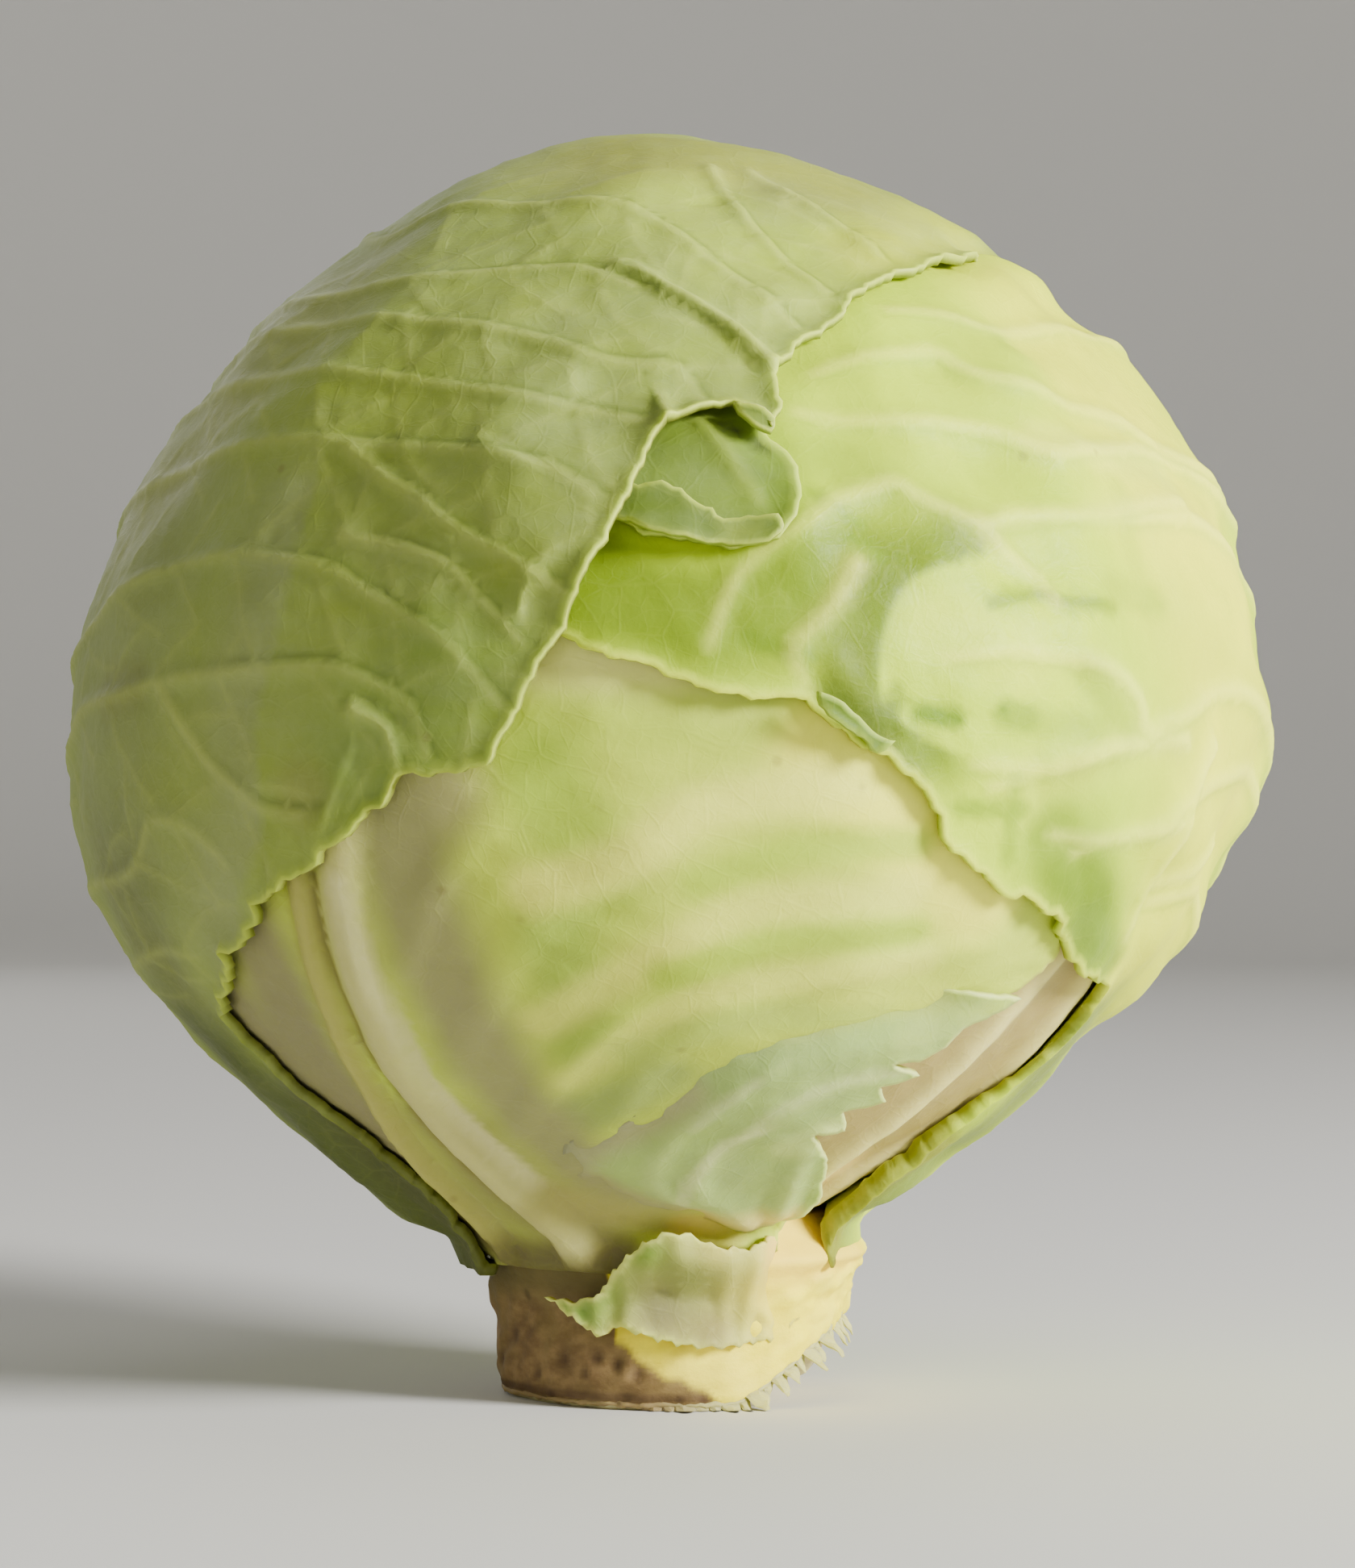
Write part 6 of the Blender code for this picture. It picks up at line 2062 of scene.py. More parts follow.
@dataclass
class TornSkin:
    """Torn skin along the edge of the cut: a ragged lip, and flakes where the cut broke out."""

    finish: LeafFinish
    start: float = -8.0
    end: float = 80.0
    spacing: float = 0.0021
    length: float = 0.0044
    width: float = 0.0021
    lip: float = 0.00045
    seed: int = 4
    skin: Colour = (150, 126, 82)

    def flakes(self) -> NodeShape:
        """Node tree that stands a flat, tapered flake on every step of a line.

        Returns:
            The tree, ready to run.
        """
        made = NodeShape("flake_row", {"Spacing": self.spacing, "Length": self.length,
                                       "Width": self.width, "Seed": self.seed})
        tree = made.tree
        given = made.given
        curve = tree.add("GeometryNodeMeshToCurve", {0: given["Geometry"]}).outputs[0]
        points = tree.add("GeometryNodeResampleCurve", {0: curve}, mode="LENGTH")
        tree.link(given["Spacing"], points.inputs["Length"])
        cone = tree.add("GeometryNodeMeshCone", {"Vertices": 8, "Side Segments": 6, "Radius Top": 0.00030,
                                                 "Radius Bottom": given["Width"], "Depth": given["Length"]})
        flat = tree.add("GeometryNodeTransform", {"Geometry": cone.outputs["Mesh"], "Scale": (1.0, 0.3,
                                                                                              1.0)})
        outward = tree.add("GeometryNodeInputNamedAttribute", {"Name": "outward"}, data_type="FLOAT_VECTOR")
        along = tree.add("GeometryNodeInputNamedAttribute", {"Name": "sideways"}, data_type="FLOAT_VECTOR")
        jitter = tree.add("FunctionNodeRandomValue", {0: (-0.45, -0.45, -0.9), 1: (0.55, 0.45, 0.1)},
                          data_type="FLOAT_VECTOR")
        tree.link(given["Seed"], jitter.inputs["Seed"])
        aim = tree.add("ShaderNodeVectorMath", {0: outward.outputs[0], 1: jitter.outputs[0]},
                       operation="ADD")
        spun = tree.add("FunctionNodeAlignRotationToVector", {"Vector": along.outputs[0]}, axis="X")
        turn = tree.add("FunctionNodeAlignRotationToVector", {"Rotation": spun.outputs[0],
                                                              "Vector": aim.outputs[0]},
                        axis="Z", pivot_axis="X")
        size = tree.add("FunctionNodeRandomValue", {0: (0.5, 0.8, 0.5), 1: (1.25, 1.2, 1.15)},
                        data_type="FLOAT_VECTOR")
        tree.link(given["Seed"], size.inputs["Seed"])
        stood = tree.add("GeometryNodeInstanceOnPoints", {"Points": points.outputs[0],
                                                          "Instance": flat.outputs[0],
                                                          "Rotation": turn.outputs[0],
                                                          "Scale": size.outputs[0]})
        real = tree.add("GeometryNodeRealizeInstances", {0: stood.outputs[0]})
        bent = tree.add("GeometryNodeSetPosition", {"Geometry": real.outputs[0],
                                                    "Offset": self.unevenness(tree, 480.0, 0.0013)})
        made.finish(bent.outputs[0])
        return made

    def border(self) -> NodeShape:
        """Node tree that lays a thin ragged lip along a line.

        Returns:
            The tree, ready to run.
        """
        made = NodeShape("ragged_lip", {"Spacing": self.spacing * 0.35, "Lip": self.lip})
        tree = made.tree
        curve = tree.add("GeometryNodeMeshToCurve", {0: made.given["Geometry"]}).outputs[0]
        points = tree.add("GeometryNodeResampleCurve", {0: curve}, mode="LENGTH")
        tree.link(made.given["Spacing"], points.inputs["Length"])
        ring = tree.add("GeometryNodeCurvePrimitiveCircle", {"Resolution": 8, "Radius": made.given["Lip"]})
        tube = tree.add("GeometryNodeCurveToMesh", {"Curve": points.outputs[0],
                                                    "Profile Curve": ring.outputs["Curve"],
                                                    "Fill Caps": True})
        bent = tree.add("GeometryNodeSetPosition", {"Geometry": tube.outputs[0],
                                                    "Offset": self.unevenness(tree, 900.0, 0.0012)})
        made.finish(bent.outputs[0])
        return made

    @staticmethod
    def unevenness(tree: Tree, scale: float, reach: float) -> bpy.types.NodeSocket:
        """Offset that bends a shape by noise."""
        return tree.scaled_noise(tree.add("ShaderNodeTexNoise", {"Scale": scale, "Detail": 2.0}), reach)

    def edge(self, start: float, end: float, inset: float) -> bpy.types.Mesh:
        """Line along the cut's edge, with the ways out and along.

        Args:
            start: First longitude.
            end: Last longitude.
            inset: Distance that the line keeps inside the skin, in metres.

        Returns:
            The line with its vector attributes.
        """
        lon = np.linspace(start, end, 80)
        around = np.radians(lon)
        radius = 0.0252 - inset + stalk_swelling(lon, lon * 0 + 0.002)
        x = radius * np.sin(around)
        y = -radius * np.cos(around)
        z = stalk_break(x, y) + 0.0009
        places = np.stack([x, y, z], axis=1)
        outward = np.stack([np.sin(around), -np.cos(around), -0.75 * np.ones(len(lon))], axis=1)
        sideways = np.stack([np.cos(around), np.sin(around), np.zeros(len(lon))], axis=1)
        return polyline("cut_edge", places, {"outward": outward, "sideways": sideways})

    def dress(self, effects: Effects) -> list[bpy.types.Object]:
        """Builds the flakes and the lip and gives them their material.

        Args:
            effects: The shared shader node groups.

        Returns:
            The pieces.
        """
        material = self.finish.material(effects)
        meshes = {"torn_flakes": self.flakes().mesh(self.edge(self.start, self.end, 0.0008), material),
                  "ragged_lip": self.border().mesh(self.edge(-150.0, 80.0, 0.0003), material)}
        items = []
        for name, mesh in meshes.items():
            places = np.array([tuple(vert.co) for vert in mesh.vertices])
            places[:, 2] = np.maximum(places[:, 2], 0.0001)
            mesh.vertices.foreach_set("co", places.astype(np.float32).ravel())
            none = np.zeros(len(places))
            lon = np.degrees(np.arctan2(places[:, 0], -places[:, 1]))
            share = smooth_step((lon + 12) / 34)[:, None]
            tint = (tinted(self.skin) * (1 - share)
                    + tinted(self.finish.blade) * share)
            paint(mesh, {"vein": none, "crease_shade": none, "rim": none, "inside": none}, tint)
            items.append(declare(add_object(name, mesh, material)))
        return items


class Lamp(Enum):
    """Soft studio lamps: place, size in metres and power in watts."""

    KEY = ((1.15, -0.66, 0.56), 0.46, 58.0)
    FILL = ((-0.70, -1.15, 0.30), 1.10, 2.4)
    TOP = ((0.10, 0.10, 1.25), 0.80, 2.0)
    BEHIND = ((-0.60, 1.30, 0.80), 1.00, 4.0)


@dataclass
class Studio:
    """Round pale floor that sweeps up on all sides, soft lamps and the camera."""

    floor_colour: Colour = (214, 212, 206)
    radius: float = 2.6
    bend: float = 0.9
    height: float = 2.4
    segments: int = 96
    sky: float = 0.12

    def sweep(self) -> bpy.types.Object:
        """Builds the floor and backdrop in one smooth sheet.

        Returns:
            The floor.
        """
        profile = [(0.05, 0.0), (0.4, 0.0), (self.radius - self.bend, 0.0)]
        for k in range(1, 17):
            angle = math.pi / 2 * k / 16
            profile.append((self.radius - self.bend + self.bend * math.sin(angle),
                            self.bend - self.bend * math.cos(angle)))
        profile.append((self.radius, self.height))
        count = self.segments
        verts = [(0.0, 0.0, 0.0)] + [(r * math.cos(2 * math.pi * k / count),
                                      r * math.sin(2 * math.pi * k / count), z)
                                     for r, z in profile for k in range(count)]
        faces = [(0, 1 + k, 1 + (k + 1) % count) for k in range(count)]
        for ring in range(len(profile) - 1):
            low = 1 + ring * count
            faces.extend((low + k, low + count + k, low + count + (k + 1) % count, low + (k + 1) % count)
                         for k in range(count))
        mesh = bpy.data.meshes.new("floor")
        mesh.from_pydata(verts, [], faces)
        for polygon in mesh.polygons:
            polygon.use_smooth = True
        material, _, shader = new_material("pale_floor")
        shader["Base Color"].default_value = linear(self.floor_colour)
        shader["Roughness"].default_value = 0.85
        return add_object("floor", mesh, material)

    def light(self) -> None:
        """Sets the lamps and the sky light."""
        for lamp in Lamp:
            place, size, power = lamp.value
            data = bpy.data.lights.new(lamp.name.lower(), "AREA")
            data.shape = "DISK"
            data.size = size
            data.energy = power
            item = bpy.data.objects.new(lamp.name.lower(), data)
            item.location = place
            aim = Vector(HEAD_CENTRE) - Vector(place)
            item.rotation_euler = aim.to_track_quat("-Z", "Y").to_euler()
            bpy.context.scene.collection.objects.link(item)
        world = bpy.data.worlds.new("studio")
        world.use_nodes = True
        background = world.node_tree.nodes["Background"]
        background.inputs["Color"].default_value = linear((236, 238, 240))
        background.inputs["Strength"].default_value = self.sky
        bpy.context.scene.world = world

    def camera(self) -> None:
        """Places the camera at the photograph's view."""
        data = bpy.data.cameras.new("camera")
        data.lens = CAMERA_LENS
        data.sensor_width = SENSOR_WIDTH
        item = bpy.data.objects.new("camera", data)
        item.location = CAMERA_PLACE
        item.rotation_euler = (math.pi / 2, 0.0, 0.0)
        bpy.context.scene.collection.objects.link(item)
        bpy.context.scene.camera = item

    def build(self) -> None:
        """Builds the whole studio."""
        self.sweep()
        self.light()
        self.camera()


LEFT_WRAPPER_TUCK = [(-57, -33), (-57, -42.6), (-56.5, -52.2), (-57.5, -62), (-63, -70.8), (-85, -71.2),
                     (-110, -71.2)]
RIGHT_WRAPPER_TUCK = [(61, -28.5), (63, -35.2), (61, -43.5), (57, -54.5), (54, -62), (53, -69),
                      (75, -69.4), (100, -69.4)]
LEFT_WRAPPER_CURLS = [
    ([(0.3, 26.3), (-0.1, 27.9), (-0.6, 30.2)], 1.4, 1.5),
    ([(-26.8, 0.9), (-24.6, -0.2), (-23.8, -1.8), (-23.4, -4.2)], 1.5, 1.3),
]
LEFT_WRAPPER_FOLDS = [
    ([(11.4, 34), (7.9, 37.6), (4.4, 41), (0.6, 43.8), (-4, 46.5)], 0.4, 3),
    ([(-31, -10.5), (-29.5, -6), (-27.5, -2.5), (-27, 1.5)], 0.7, 2.5),
]
RIGHT_WRAPPER_FOLDS = [
    ([(22.5, -0.8), (19.4, 1.1), (18.7, 4.5), (19.6, 8.7), (22.2, 12.3), (26.4, 13.8)], 0.30, 7),
    ([(28, 9.4), (30.8, 10.1), (35.4, 11.2), (38.1, 10.5), (42, 10.4), (47, 10.8), (51.6, 11.1)], 0.35, 5),
]
TUCKED_STRIP_RIDGES = [([(6, 15.8), (7, 15.9), (8, 16)], 0.1, 0.5)]
TUCKED_STRIP_OUTLINE = [
    [(9.8, 17.3), (10.2, 16.3), (9.6, 15.4), (5.8, 14.8), (1.9, 15.2), (-1.7, 16.1), (-3.9, 17.3),
     (-7, 18.6)],
    [(-7, 18.6), (-5, 20.8), (-1.8, 20.6), (-0.3, 20), (1.6, 19.2), (3.8, 18), (5.9, 17.3), (9.8, 17.3)],
]
TORN_CURL_OUTLINE = [
    [(19.6, -1.5), (18.6, -1.3), (17.2, -0.5), (15.9, 0.5), (14.4, 1.8), (12.6, 2.5)],
    [(12.6, 2.5), (12.8, 1.3), (14, 0.3), (15.4, -0.8), (16.9, -1.7), (18.2, -2.4), (19.6, -1.5)],
]
POCKET_FLAP_OUTLINE = [
    [(6.6, 27.8), (8.6, 27.2), (10.2, 25.8), (9.8, 24.7)],
    [(9.8, 24.7), (8.4, 25.2), (7, 26.4), (6.6, 27.8)],
]
WAX_EDGE = ((-36.3, 18.2), (-36, 12.9), (-36.3, 9.1), (-36.7, 5.9), (-37.8, 2.7),
            (-38.5, -0.2), (-38.3, -4.4), (-38.5, -9.4), (-41, -13.1), (-43.5, -16.2), (-45, -30))
PALE_EDGE = ((-13.2, 60), (-13.2, 56.8), (-12.7, 52.2), (-10, 48), (-13.6, 42.6), (-13.3, 39.7),
             (-11.7, 38.2))
# Line of the groove between the front leaf's two ribs, along which shade is painted.
RIB_GROOVE_SHADE = ((-34.2, -13.7), (-35, -18.9), (-35.7, -25.2), (-36.9, -31.4), (-38.4, -39.6), (-39.9, -49.4),
              (-37.6, -58.2), (-30.4, -64.9))
LEFT_FINISH = LeafFinish(
    "left_leaf_waxy_green", blade=(150, 168, 56), vein=(192, 200, 104), rim=(178, 194, 70),
    flesh=(124, 130, 50),
    shade=(84, 104, 22), bloom=(160, 172, 120), bloom_share=0.7, vein_share=0.42, wax_from=0.036,
    patches=(
        Patch(((-66, 20), (-64, -10)), 30, (138, 148, 84), 0.8),
        Patch(((-60, 46), (-70, 26)), 22, (164, 168, 104), 0.7),
        Patch(WAX_EDGE, 13, (148, 156, 94), 0.7, -1),
        Patch(PALE_EDGE, 9, (168, 184, 70), 0.3, 1),
        Patch(((-10, 74), (40, 68)), 24, (156, 158, 48), 0.8),
        Patch(((4, 58), (14, 46), (26, 50)), 13, (176, 196, 40), 0.85),
        Patch(((32, 50), (52, 56), (66, 58)), 9, (196, 206, 44), 0.8),
        Patch(((-6, 48), (4, 36)), 9, (146, 164, 52), 0.7),
        Patch(((-3, 25), (-12, 8)), 8, (134, 150, 46), 0.8),
        Patch(((-18, 5), (-26, -4)), 13, (128, 152, 40), 0.9),
        Patch(((-33, -6),), 6, (146, 146, 52), 0.6),
        Patch(((-57, 4), (-63, 3)), 5, (118, 122, 54), 0.6),
        Patch(((-64, -14), (-66, -26)), 14, (112, 118, 64), 0.8),
        # Painted shade: the next two patches darken the lower left of the leaf, which lies in shade.
        Patch(((-70, -34), (-70, -48), (-70, -70)), 14, (74, 82, 34), 0.92),
        Patch(((-58, -42), (-60, -70)), 9, (76, 80, 34), 0.95),
        Patch(((-57.5, -31), (-57.8, -38), (-56.6, -44)), 1.6, (120, 128, 66), 0.8)))
RIGHT_FINISH = LeafFinish(
    "right_leaf_bright_green", blade=(196, 224, 20), vein=(244, 248, 110), rim=(206, 222, 60),
    # The olive flesh colour of the inner face is painted shade where it shows by the head.
    flesh=(148, 156, 48), shade=(132, 164, 14), bloom=(210, 224, 80), bloom_share=0.08, net_share=0.05,
    roughness=0.36, shine=0.13,
    translucence=0.45, vein_share=0.5, mottle_share=0.5, mottle_scale=52,
    patches=(
        Patch(((60, 40), (66, 0), (70, -24)), 26, (236, 238, 50), 0.9),
        Patch(((16, 34), (24, 24), (40, 36)), 10, (190, 216, 30), 0.7),
        Patch(((40, 26), (60, 24)), 4, (232, 242, 80), 0.7),
        Patch(((-8, 12), (4, 9), (16, 13)), 11, (106, 130, 16), 0.95),
        Patch(((9, 20), (14, 24), (20, 21)), 6, (158, 184, 26), 0.8),
        Patch(((24, 8), (32, 6)), 6.5, (216, 240, 46), 0.9),
        Patch(((38, -10), (50, -20)), 10, (150, 180, 26), 0.9),
        Patch(((34, -6), (44, -2)), 6, (204, 224, 50), 0.7),
        # Painted shade on one side of the first fold, and a dark painted line along the second fold.
        Patch(tuple(RIGHT_WRAPPER_FOLDS[0][0]), 11, (92, 114, 12), 0.9, 1),
        Patch(((30, 10.4), (35.4, 11.4), (38.1, 10.7), (44, 10.4)), 1.3, (120, 144, 16), 0.8),
        Patch(((44, 12), (51.6, 11.1)), 3, (176, 196, 30), 0.8),
        Patch(((7.4, 7.2), (12, 5.6)), 1.8, (92, 120, 10), 0.8),
        Patch(((3.9, 6.5),), 1.6, (110, 138, 14), 0.6),
        Patch(((19, 14.4), (17, 15.6)), 1.6, (116, 148, 16), 0.7),
        Patch(((13.9, 19.6), (18, 17.6)), 1.4, (120, 152, 16), 0.7),
        Patch(((22.4, 0.8), (26, 0.4)), 2, (84, 118, 6), 0.9),
        Patch(((31, 0.9), (33.5, 0.4)), 2.2, (84, 118, 6), 0.9),
        # Painted shadow: the next three patches darken the leaf under and above the torn curl.
        Patch(((16.3, 5.9), (15.3, 3.2), (16.9, 0.2)), 4.2, (104, 122, 30), 0.9),
        Patch(((14.4, 1.7), (16.8, 0.4), (19.2, -0.6)), 3, (66, 82, 12), 0.95),
        Patch(((20.2, 2.4), (19.3, -0.3)), 1.6, (84, 104, 10), 0.85),
        Patch(((17.6, 9.6), (17.8, 6)), 1, (92, 108, 20), 0.8),
        # Painted shade: the next two patches darken the low front of the leaf.
        Patch(((38, -10), (43, -20)), 5, (118, 144, 12), 0.8),
        Patch(((42, -13), (47, -17), (49, -23)), 6, (96, 124, 10), 0.85),
        Patch(((40, 4.6), (46, -1)), 3, (150, 176, 24), 0.7),
        Patch(((32, 0.5), (42, -0.5)), 2.6, (160, 188, 24), 0.7),
        Patch(((27, -7.5), (34, -7.7)), 1.7, (126, 158, 14), 0.75),
        Patch(((32.6, -5), (33, -12)), 1.8, (132, 162, 16), 0.7),
        Patch(((42.8, 37.6),), 3, (166, 190, 26), 0.6),
        Patch(((50, 22), (49, 12)), 3, (190, 210, 36), 0.7),
        Patch(((66, -34), (74, -44), (62, -64)), 13, (116, 130, 60), 0.9),
        Patch(((47, -19.5), (56, -24)), 5, (110, 136, 40), 0.8),
        # Painted shade: olive along the lower margin, where the leaf turns in by the head.
        Patch(((58, -53), (54, -61), (53, -69)), 6.5, (134, 134, 44), 0.95)))
BACK_FINISH = LeafFinish(
    "back_leaf_green", blade=(160, 178, 76), vein=(206, 210, 122), rim=(206, 218, 104),
    flesh=(168, 178, 80),
    shade=(96, 116, 36), bloom=(158, 168, 118), bloom_share=0.5,
    patches=(Patch(((180, -70), (180, -50)), 20, (206, 208, 130), 0.8),))
FRONT_FINISH = LeafFinish(
    "front_leaf_pale", blade=(196, 214, 60), vein=(224, 224, 110), rim=(200, 206, 86),
    flesh=(206, 206, 100),
    shade=(140, 158, 40), bloom=(206, 210, 120), bloom_share=0.12, net_share=0.05, vein_share=0.0,
    roughness=0.42,
    patches=(
        Patch(((-14, 8), (6, 5)), 9, (240, 240, 138), 0.9),
        Patch(((14, -2), (32, -16)), 9, (252, 252, 84), 0.95),
        Patch(((-12, 0), (0, 0.5), (8, 1)), 5.5, (176, 198, 44), 0.7),
        Patch(((-11, -4), (-6, -14)), 8, (158, 186, 34), 0.8),
        Patch(((-10, -20), (-9, -34)), 7.5, (150, 176, 48), 0.8),
        Patch(((-12, -15), (-4, -12.5), (4, -7.5), (16, -5.5)), 4.6, (236, 238, 100), 0.75),
        Patch(((3, -14.5), (14, -11), (24, -11)), 3.2, (168, 196, 24), 0.8),
        Patch(((-14, -30), (4, -19), (14, -16.5), (24, -16)), 4, (232, 236, 96), 0.7),
        Patch(((0, -24), (12, -20.5), (26, -20)), 3.2, (166, 194, 26), 0.8),
        Patch(((-12, -38), (2, -28), (16, -24.5), (28, -23)), 3.6, (226, 232, 92), 0.7),
        Patch(((-4, -34), (8, -30), (24, -29)), 4, (176, 196, 76), 0.7),
        Patch(((-12, -44), (0, -38)), 6.5, (144, 162, 78), 0.85),
        Patch(((18, -27), (40, -27)), 3, (206, 220, 72), 0.8),
        Patch(((-26, 10), (-21, -6)), 9, (190, 186, 118), 0.95),
        # Painted shade: the next four patches darken the cream on the left and lower left of the leaf, which
        # lies away from the light.
        Patch(((-25, -8), (-23, -24), (-21, -40), (-14, -56), (-2, -60)), 9.5,
              (150, 146, 94), 0.97),
        Patch(((-50, -4), (-66, -14), (-58, -30), (-66, -46), (-62, -62)), 17,
              (146, 138, 98), 1),
        Patch(((-46, -14), (-45, -24), (-50, -38), (-56, -52)), 9, (140, 132, 92), 1),
        Patch(((-36, -48), (-34, -58), (-24, -66)), 12, (138, 132, 76), 0.97),
        Patch(tuple(FRONT_LEAF_RIDGES[0][0]), 3, (176, 170, 86), 1),
        Patch(tuple(FRONT_LEAF_RIDGES[1][0]), 4.4, (200, 194, 120), 1),
        Patch(((-31, -14), (-31, -30), (-31, -44), (-26, -58)), 1.8, (224, 218, 152), 0.8),
        # Painted shade in the groove between the two ribs.
        Patch(RIB_GROOVE_SHADE, 1.5, (122, 112, 48), 0.95),
        # Painted shade along the bottom of the leaf, under its ribs.
        Patch(((-26, -60), (-12, -64), (4, -66)), 5, (164, 156, 84), 0.85),
        Patch(((6, -67), (20, -67)), 4, (214, 190, 92), 0.9),
        # Painted shade: dark olive along the lower edge by the stalk.
        Patch(((-70, -60), (-60, -66), (-48, -69.5), (-30, -70.6), (-14, -70.2)), 5.5, (96, 84, 44), 0.97)))
TUCKED_FINISH = LeafFinish(
    "tucked_leaf_olive", blade=(112, 136, 24), vein=(154, 172, 60), rim=(176, 196, 66),
    flesh=(132, 148, 50),
    shade=(66, 86, 14), patches=(
        Patch(((9, 24), (11, 19)), 3.5, (118, 146, 30), 0.8),
        Patch(((4, 24.6), (7.4, 22.4), (11, 20)), 0.9, (104, 128, 30), 0.6),
        # Painted shade: a dark slot where the leaf runs under the flap.
        Patch(((5.4, 26.9), (7.4, 25.6), (9.4, 24)), 1, (50, 62, 12), 0.95)))
STRIP_FINISH = LeafFinish(
    "tucked_strip_olive", blade=(92, 114, 14), vein=(150, 166, 54), rim=(164, 180, 66),
    flesh=(134, 150, 50),
    shade=(72, 92, 16))
CURL_FINISH = LeafFinish(
    "torn_curl_green", blade=(96, 122, 22), vein=(150, 170, 60), rim=(150, 172, 60), flesh=(120, 138, 44),
    shade=(70, 88, 18), bloom_share=0, net_share=0.05)
TORN_FINISH = LeafFinish(
    "torn_leaf_glaucous", blade=(166, 190, 92), vein=(214, 222, 146), rim=(196, 210, 120),
    flesh=(190, 196, 100),
    shade=(110, 134, 64), bloom=(176, 190, 140), bloom_share=0.45, net_share=0.04, vein_share=0.22,
    patches=(
        Patch(((2, -40), (14, -33), (26, -30)), 8, (158, 184, 92), 0.8),
        Patch(((14, -30.8), (26, -28), (42, -27.5)), 4, (186, 206, 72), 0.9),
        Patch(((30, -33), (36, -29)), 4, (176, 196, 96), 0.7),
        Patch(((3.9, -62), (4.1, -57.3), (6.7, -52.5), (10, -48.6), (14.9, -46.2)), 1.5, (218, 224, 150),
              0.7),
        Patch(((4.3, -45.8), (8.3, -41), (11.3, -38.5)), 1.3, (202, 212, 140), 0.6),
        Patch(((12.2, -47.9), (14.7, -43.4), (19.4, -40.1), (25.5, -37.8), (31.2, -37.2)), 1.4,
              (206, 216, 140), 0.6),
        Patch(((21, -50), (26, -46.5)), 4, (208, 226, 122), 0.9),
        Patch(((13, -56), (12, -50)), 3.2, (146, 164, 84), 0.6),
        Patch(((-18, -54), (-13, -49.5), (-5, -46), (2, -41)), 5.5, (166, 162, 106), 0.95),
        Patch(((-16, -58), (-6, -62), (2, -65)), 6.5, (166, 158, 96), 0.95),
        Patch(((10, -66), (30, -66)), 6, (236, 206, 104), 0.9)))
HEAD_FINISH = LeafFinish(
    "packed_head_cream", blade=(170, 152, 84), vein=(240, 230, 140), rim=(206, 186, 96),
    flesh=(206, 186, 96),
    shade=(170, 146, 74), net_share=0.03, vein_share=0.85, bloom_share=0, roughness=0.42,
    patches=(Patch(((57, -66), (66, -50), (64, -30)), 3, (210, 198, 96), 0.9),
             Patch(((36, -66), (44, -60)), 6, (240, 212, 120), 0.8)))
STUMP_LEAF_FINISH = LeafFinish(
    "stump_leaf_mixed", blade=(204, 204, 104), vein=(226, 226, 140), rim=(214, 222, 110),
    flesh=(214, 206, 110),
    shade=(140, 150, 60), net_share=0.05, bloom_share=0.1)
FIBRE_FINISH = LeafFinish(
    "fibre_pale", blade=(196, 192, 120), vein=(216, 212, 140), rim=(204, 200, 120), flesh=(204, 200, 120),
    net_share=0.05, bloom_share=0)


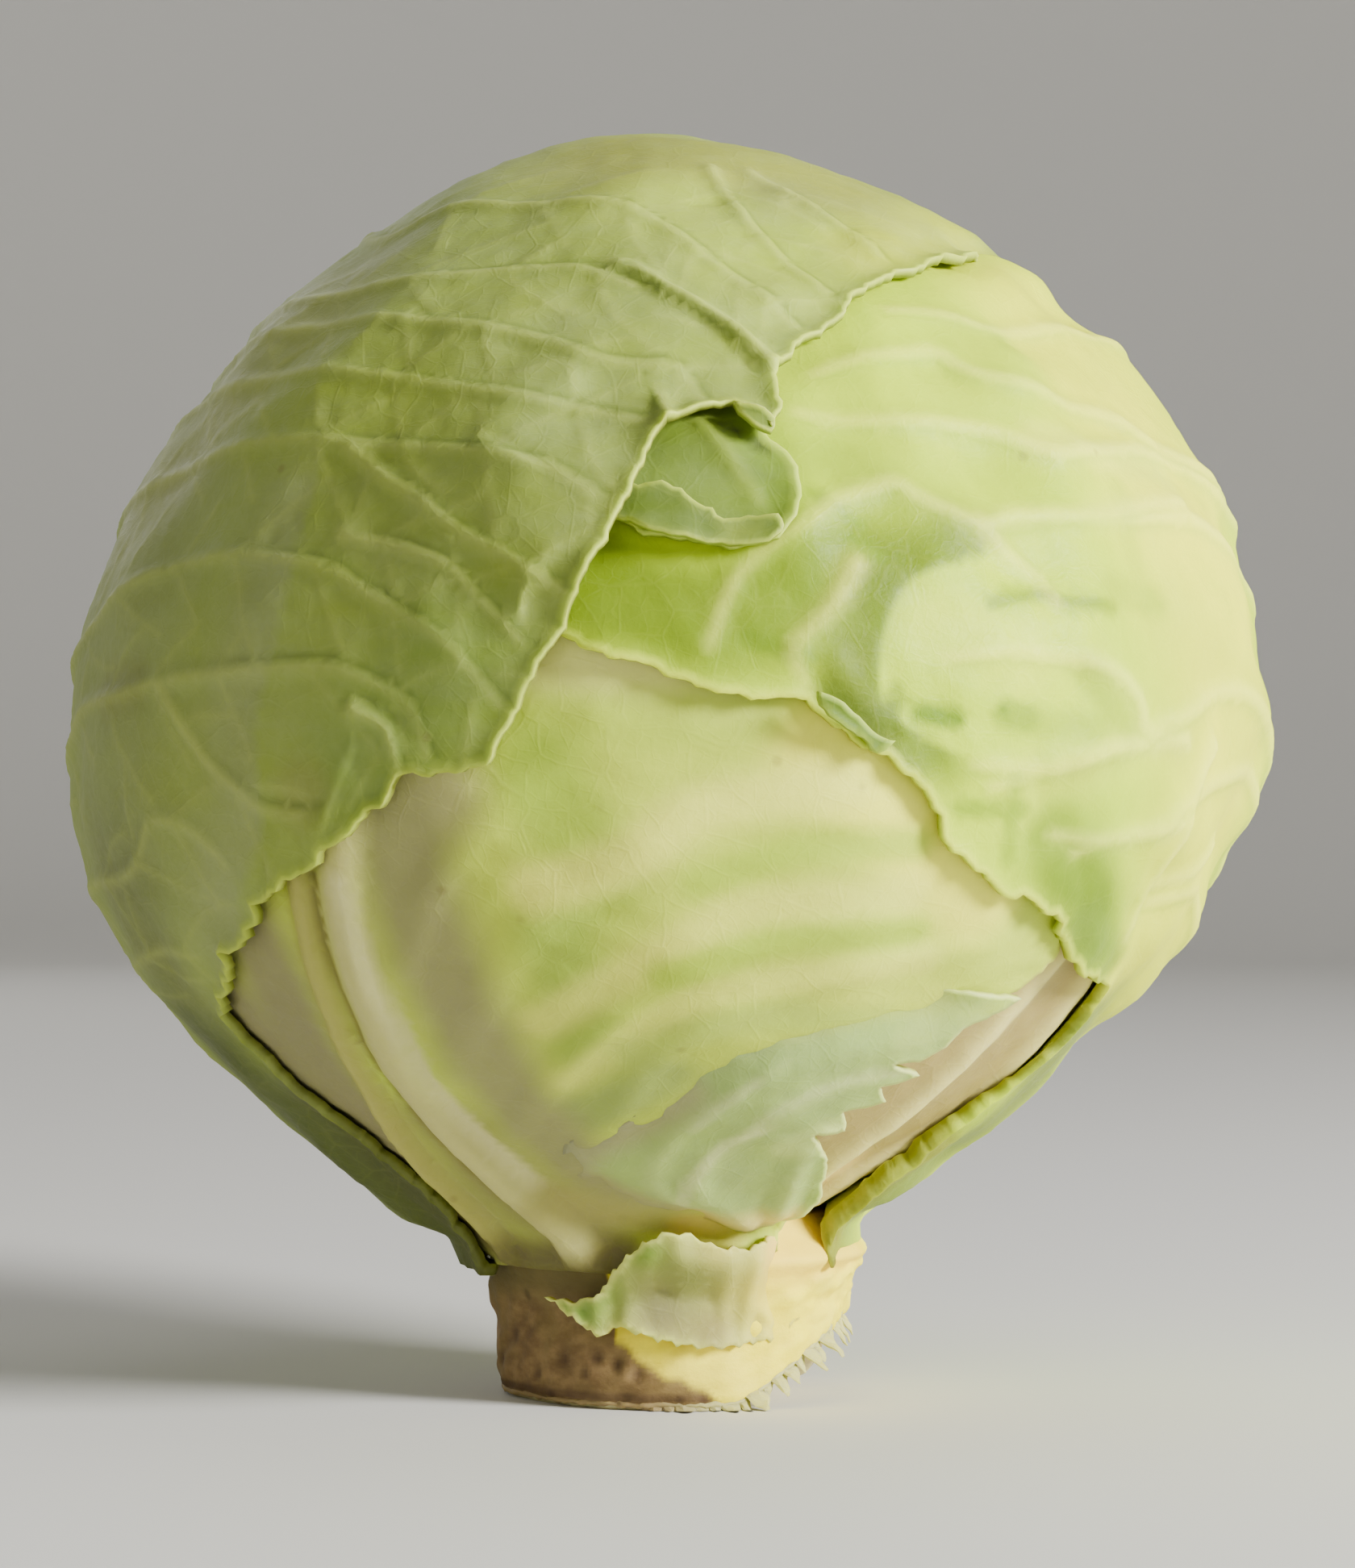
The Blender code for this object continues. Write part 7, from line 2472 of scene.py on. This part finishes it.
@dataclass
class Leaves:
    """All leaves of the head, laid in the order in which they grew."""

    pieces: list[LeafPiece] = field(default_factory=list)

    def plan(self) -> None:
        """Sets up every leaf's form, each over the ones below it."""
        front = LeafForm("front_leaf", (-12, -28), FRONT_LEAF_OUTLINE, (0.4, 0.0, 0.3), FRONT_LEAF_RIDGES,
                         front_base, seed=2, billow=0.0003, crisp=1.1, swell=1.15)
        torn = LeafForm("torn_leaf", (12, -48), TORN_LEAF_OUTLINE,
                        (0.15, 0.3, 0.2, 0.2, 0.2, 0.2, 0.2, 0.2, 0.0),
                        TORN_LEAF_RIDGES, front_base, [front], 0.0002, 0.0007, seed=3, billow=0.0003,
                        swell=0.75,
                        feather=TORN_LEAF_OUTLINE[8][2:] + TORN_LEAF_OUTLINE[0][1:10])
        back = LeafForm("back_wrapper_leaf", (180, -5), BACK_WRAPPER_OUTLINE, (0.0, 0.5),
                        BACK_WRAPPER_RIDGES + laterals_of_back_leaf(), back_base, seed=4)
        right = LeafForm("right_wrapper_leaf", (75, 5), RIGHT_WRAPPER_OUTLINE,
                         (0.3, 0.35, 0.5, 0.5, 0.4, 0.0, 0.5),
                         RIGHT_WRAPPER_RIDGES[:7] + RIGHT_WRAPPER_RIDGES[9:] + RIGHT_WRAPPER_VEINS
                         + side_ridges(112.0, RIGHT_WRAPPER_BACK_RIDGES, 0.8, 2.2),
                         wrapper_base, [front, back], seed=5, billow=0.0008, crisp=1.6, swell=1.45,
                         folds=RIGHT_WRAPPER_FOLDS, tuck=RIGHT_WRAPPER_TUCK, press=0.0010, seat=0.0192,
                         wedge=0.6)
        tucked = LeafForm("tucked_leaf", (2, 24), TUCKED_LEAF_OUTLINE, (0.2, 0.25, 0.2), TUCKED_LEAF_RIDGES,
                          wrapper_base, [right], 0.0003, seed=6)
        strip = LeafForm("tucked_strip", (2, 20), TUCKED_STRIP_OUTLINE, (0.2, 0.45), TUCKED_STRIP_RIDGES,
                         wrapper_base, [right, tucked], 0.0007, 0.0003, seed=8)
        flap = LeafForm("pocket_flap", (8, 26), POCKET_FLAP_OUTLINE, (0.1, 0.2), (),
                        wrapper_base, [right, tucked], 0.0010, 0.0006, seed=9)
        curl = LeafForm("torn_curl", (16, 0), TORN_CURL_OUTLINE, (0.1, 0.25), (),
                        wrapper_base, [front, right], 0.0014, 0.0003, seed=10)
        left = LeafForm("left_wrapper_leaf", (-75, 33), LEFT_WRAPPER_OUTLINE,
                        (0.35, 0.2, 0.25, 0.4, 0.5, 0.6, 0.8, 0.5, 0.5, 0.6, 0.0, 0.5),
                        LEFT_WRAPPER_RIDGES + LEFT_WRAPPER_CURLS
                        + side_ridges(-116.0, LEFT_WRAPPER_BACK_RIDGES, 0.8, 2.2),
                        wrapper_base, [front, back, right, tucked, strip], 0.0006, seed=7, billow=0.0004,
                        folds=LEFT_WRAPPER_FOLDS, tuck=LEFT_WRAPPER_TUCK, seat=0.0192,
                        feather=[(100.0, 51.0), (92.0, 52.0), (80.0, 51.6), (69.0, 52.2), (61.5, 52.2)])
        self.pieces = [
            LeafPiece(front, FRONT_FINISH, "front_leaf_pale", rim_width=0.0004),
            LeafPiece(torn, TORN_FINISH, "torn_leaf_glaucous", rim_width=0.0004, rim_swell=0.0001),
            LeafPiece(back, BACK_FINISH, "back_leaf_green", vein_spacing=0.014),
            LeafPiece(right, RIGHT_FINISH, "right_leaf_bright", vein_mark=0.0014, crease_shade=0.3,
                      groove=0.0001),
            LeafPiece(curl, CURL_FINISH, "right_leaf_bright", rim_swell=0.0003, rim_width=0.0004,
                      extra=True),
            LeafPiece(tucked, TUCKED_FINISH, "tucked_leaf_olive", rim_swell=0.0002),
            LeafPiece(strip, STRIP_FINISH, "tucked_leaf_olive", rim_swell=0.0002, rim_width=0.0005,
                      extra=True),
            LeafPiece(flap, STRIP_FINISH, "tucked_leaf_olive", rim_swell=0.0002, rim_width=0.0005,
                      extra=True),
            LeafPiece(left, LEFT_FINISH, "left_leaf_green", vein_spacing=0.015, crease_shade=0.6,
                      rim_width=0.0008, rim_swell=0.0006, vein_mark=0.0009)]

    def dress(self, effects: Effects) -> None:
        """Builds and dresses every leaf."""
        for piece in self.pieces:
            piece.dress(effects)


def main() -> None:
    """Builds the studio and then the cabbage, piece by piece."""
    logging.basicConfig(level=logging.INFO, format="%(name)s: %(message)s")
    Studio().build()
    effects = Effects()
    PackedHead(HEAD_FINISH).dress(effects)
    leaves = Leaves()
    leaves.plan()
    leaves.dress(effects)
    Stump(StumpFinish()).dress(effects)
    StumpLeaf(STUMP_LEAF_FINISH).dress(effects)
    TornSkin(FIBRE_FINISH).dress(effects)


if __name__ == "__main__":
    main()
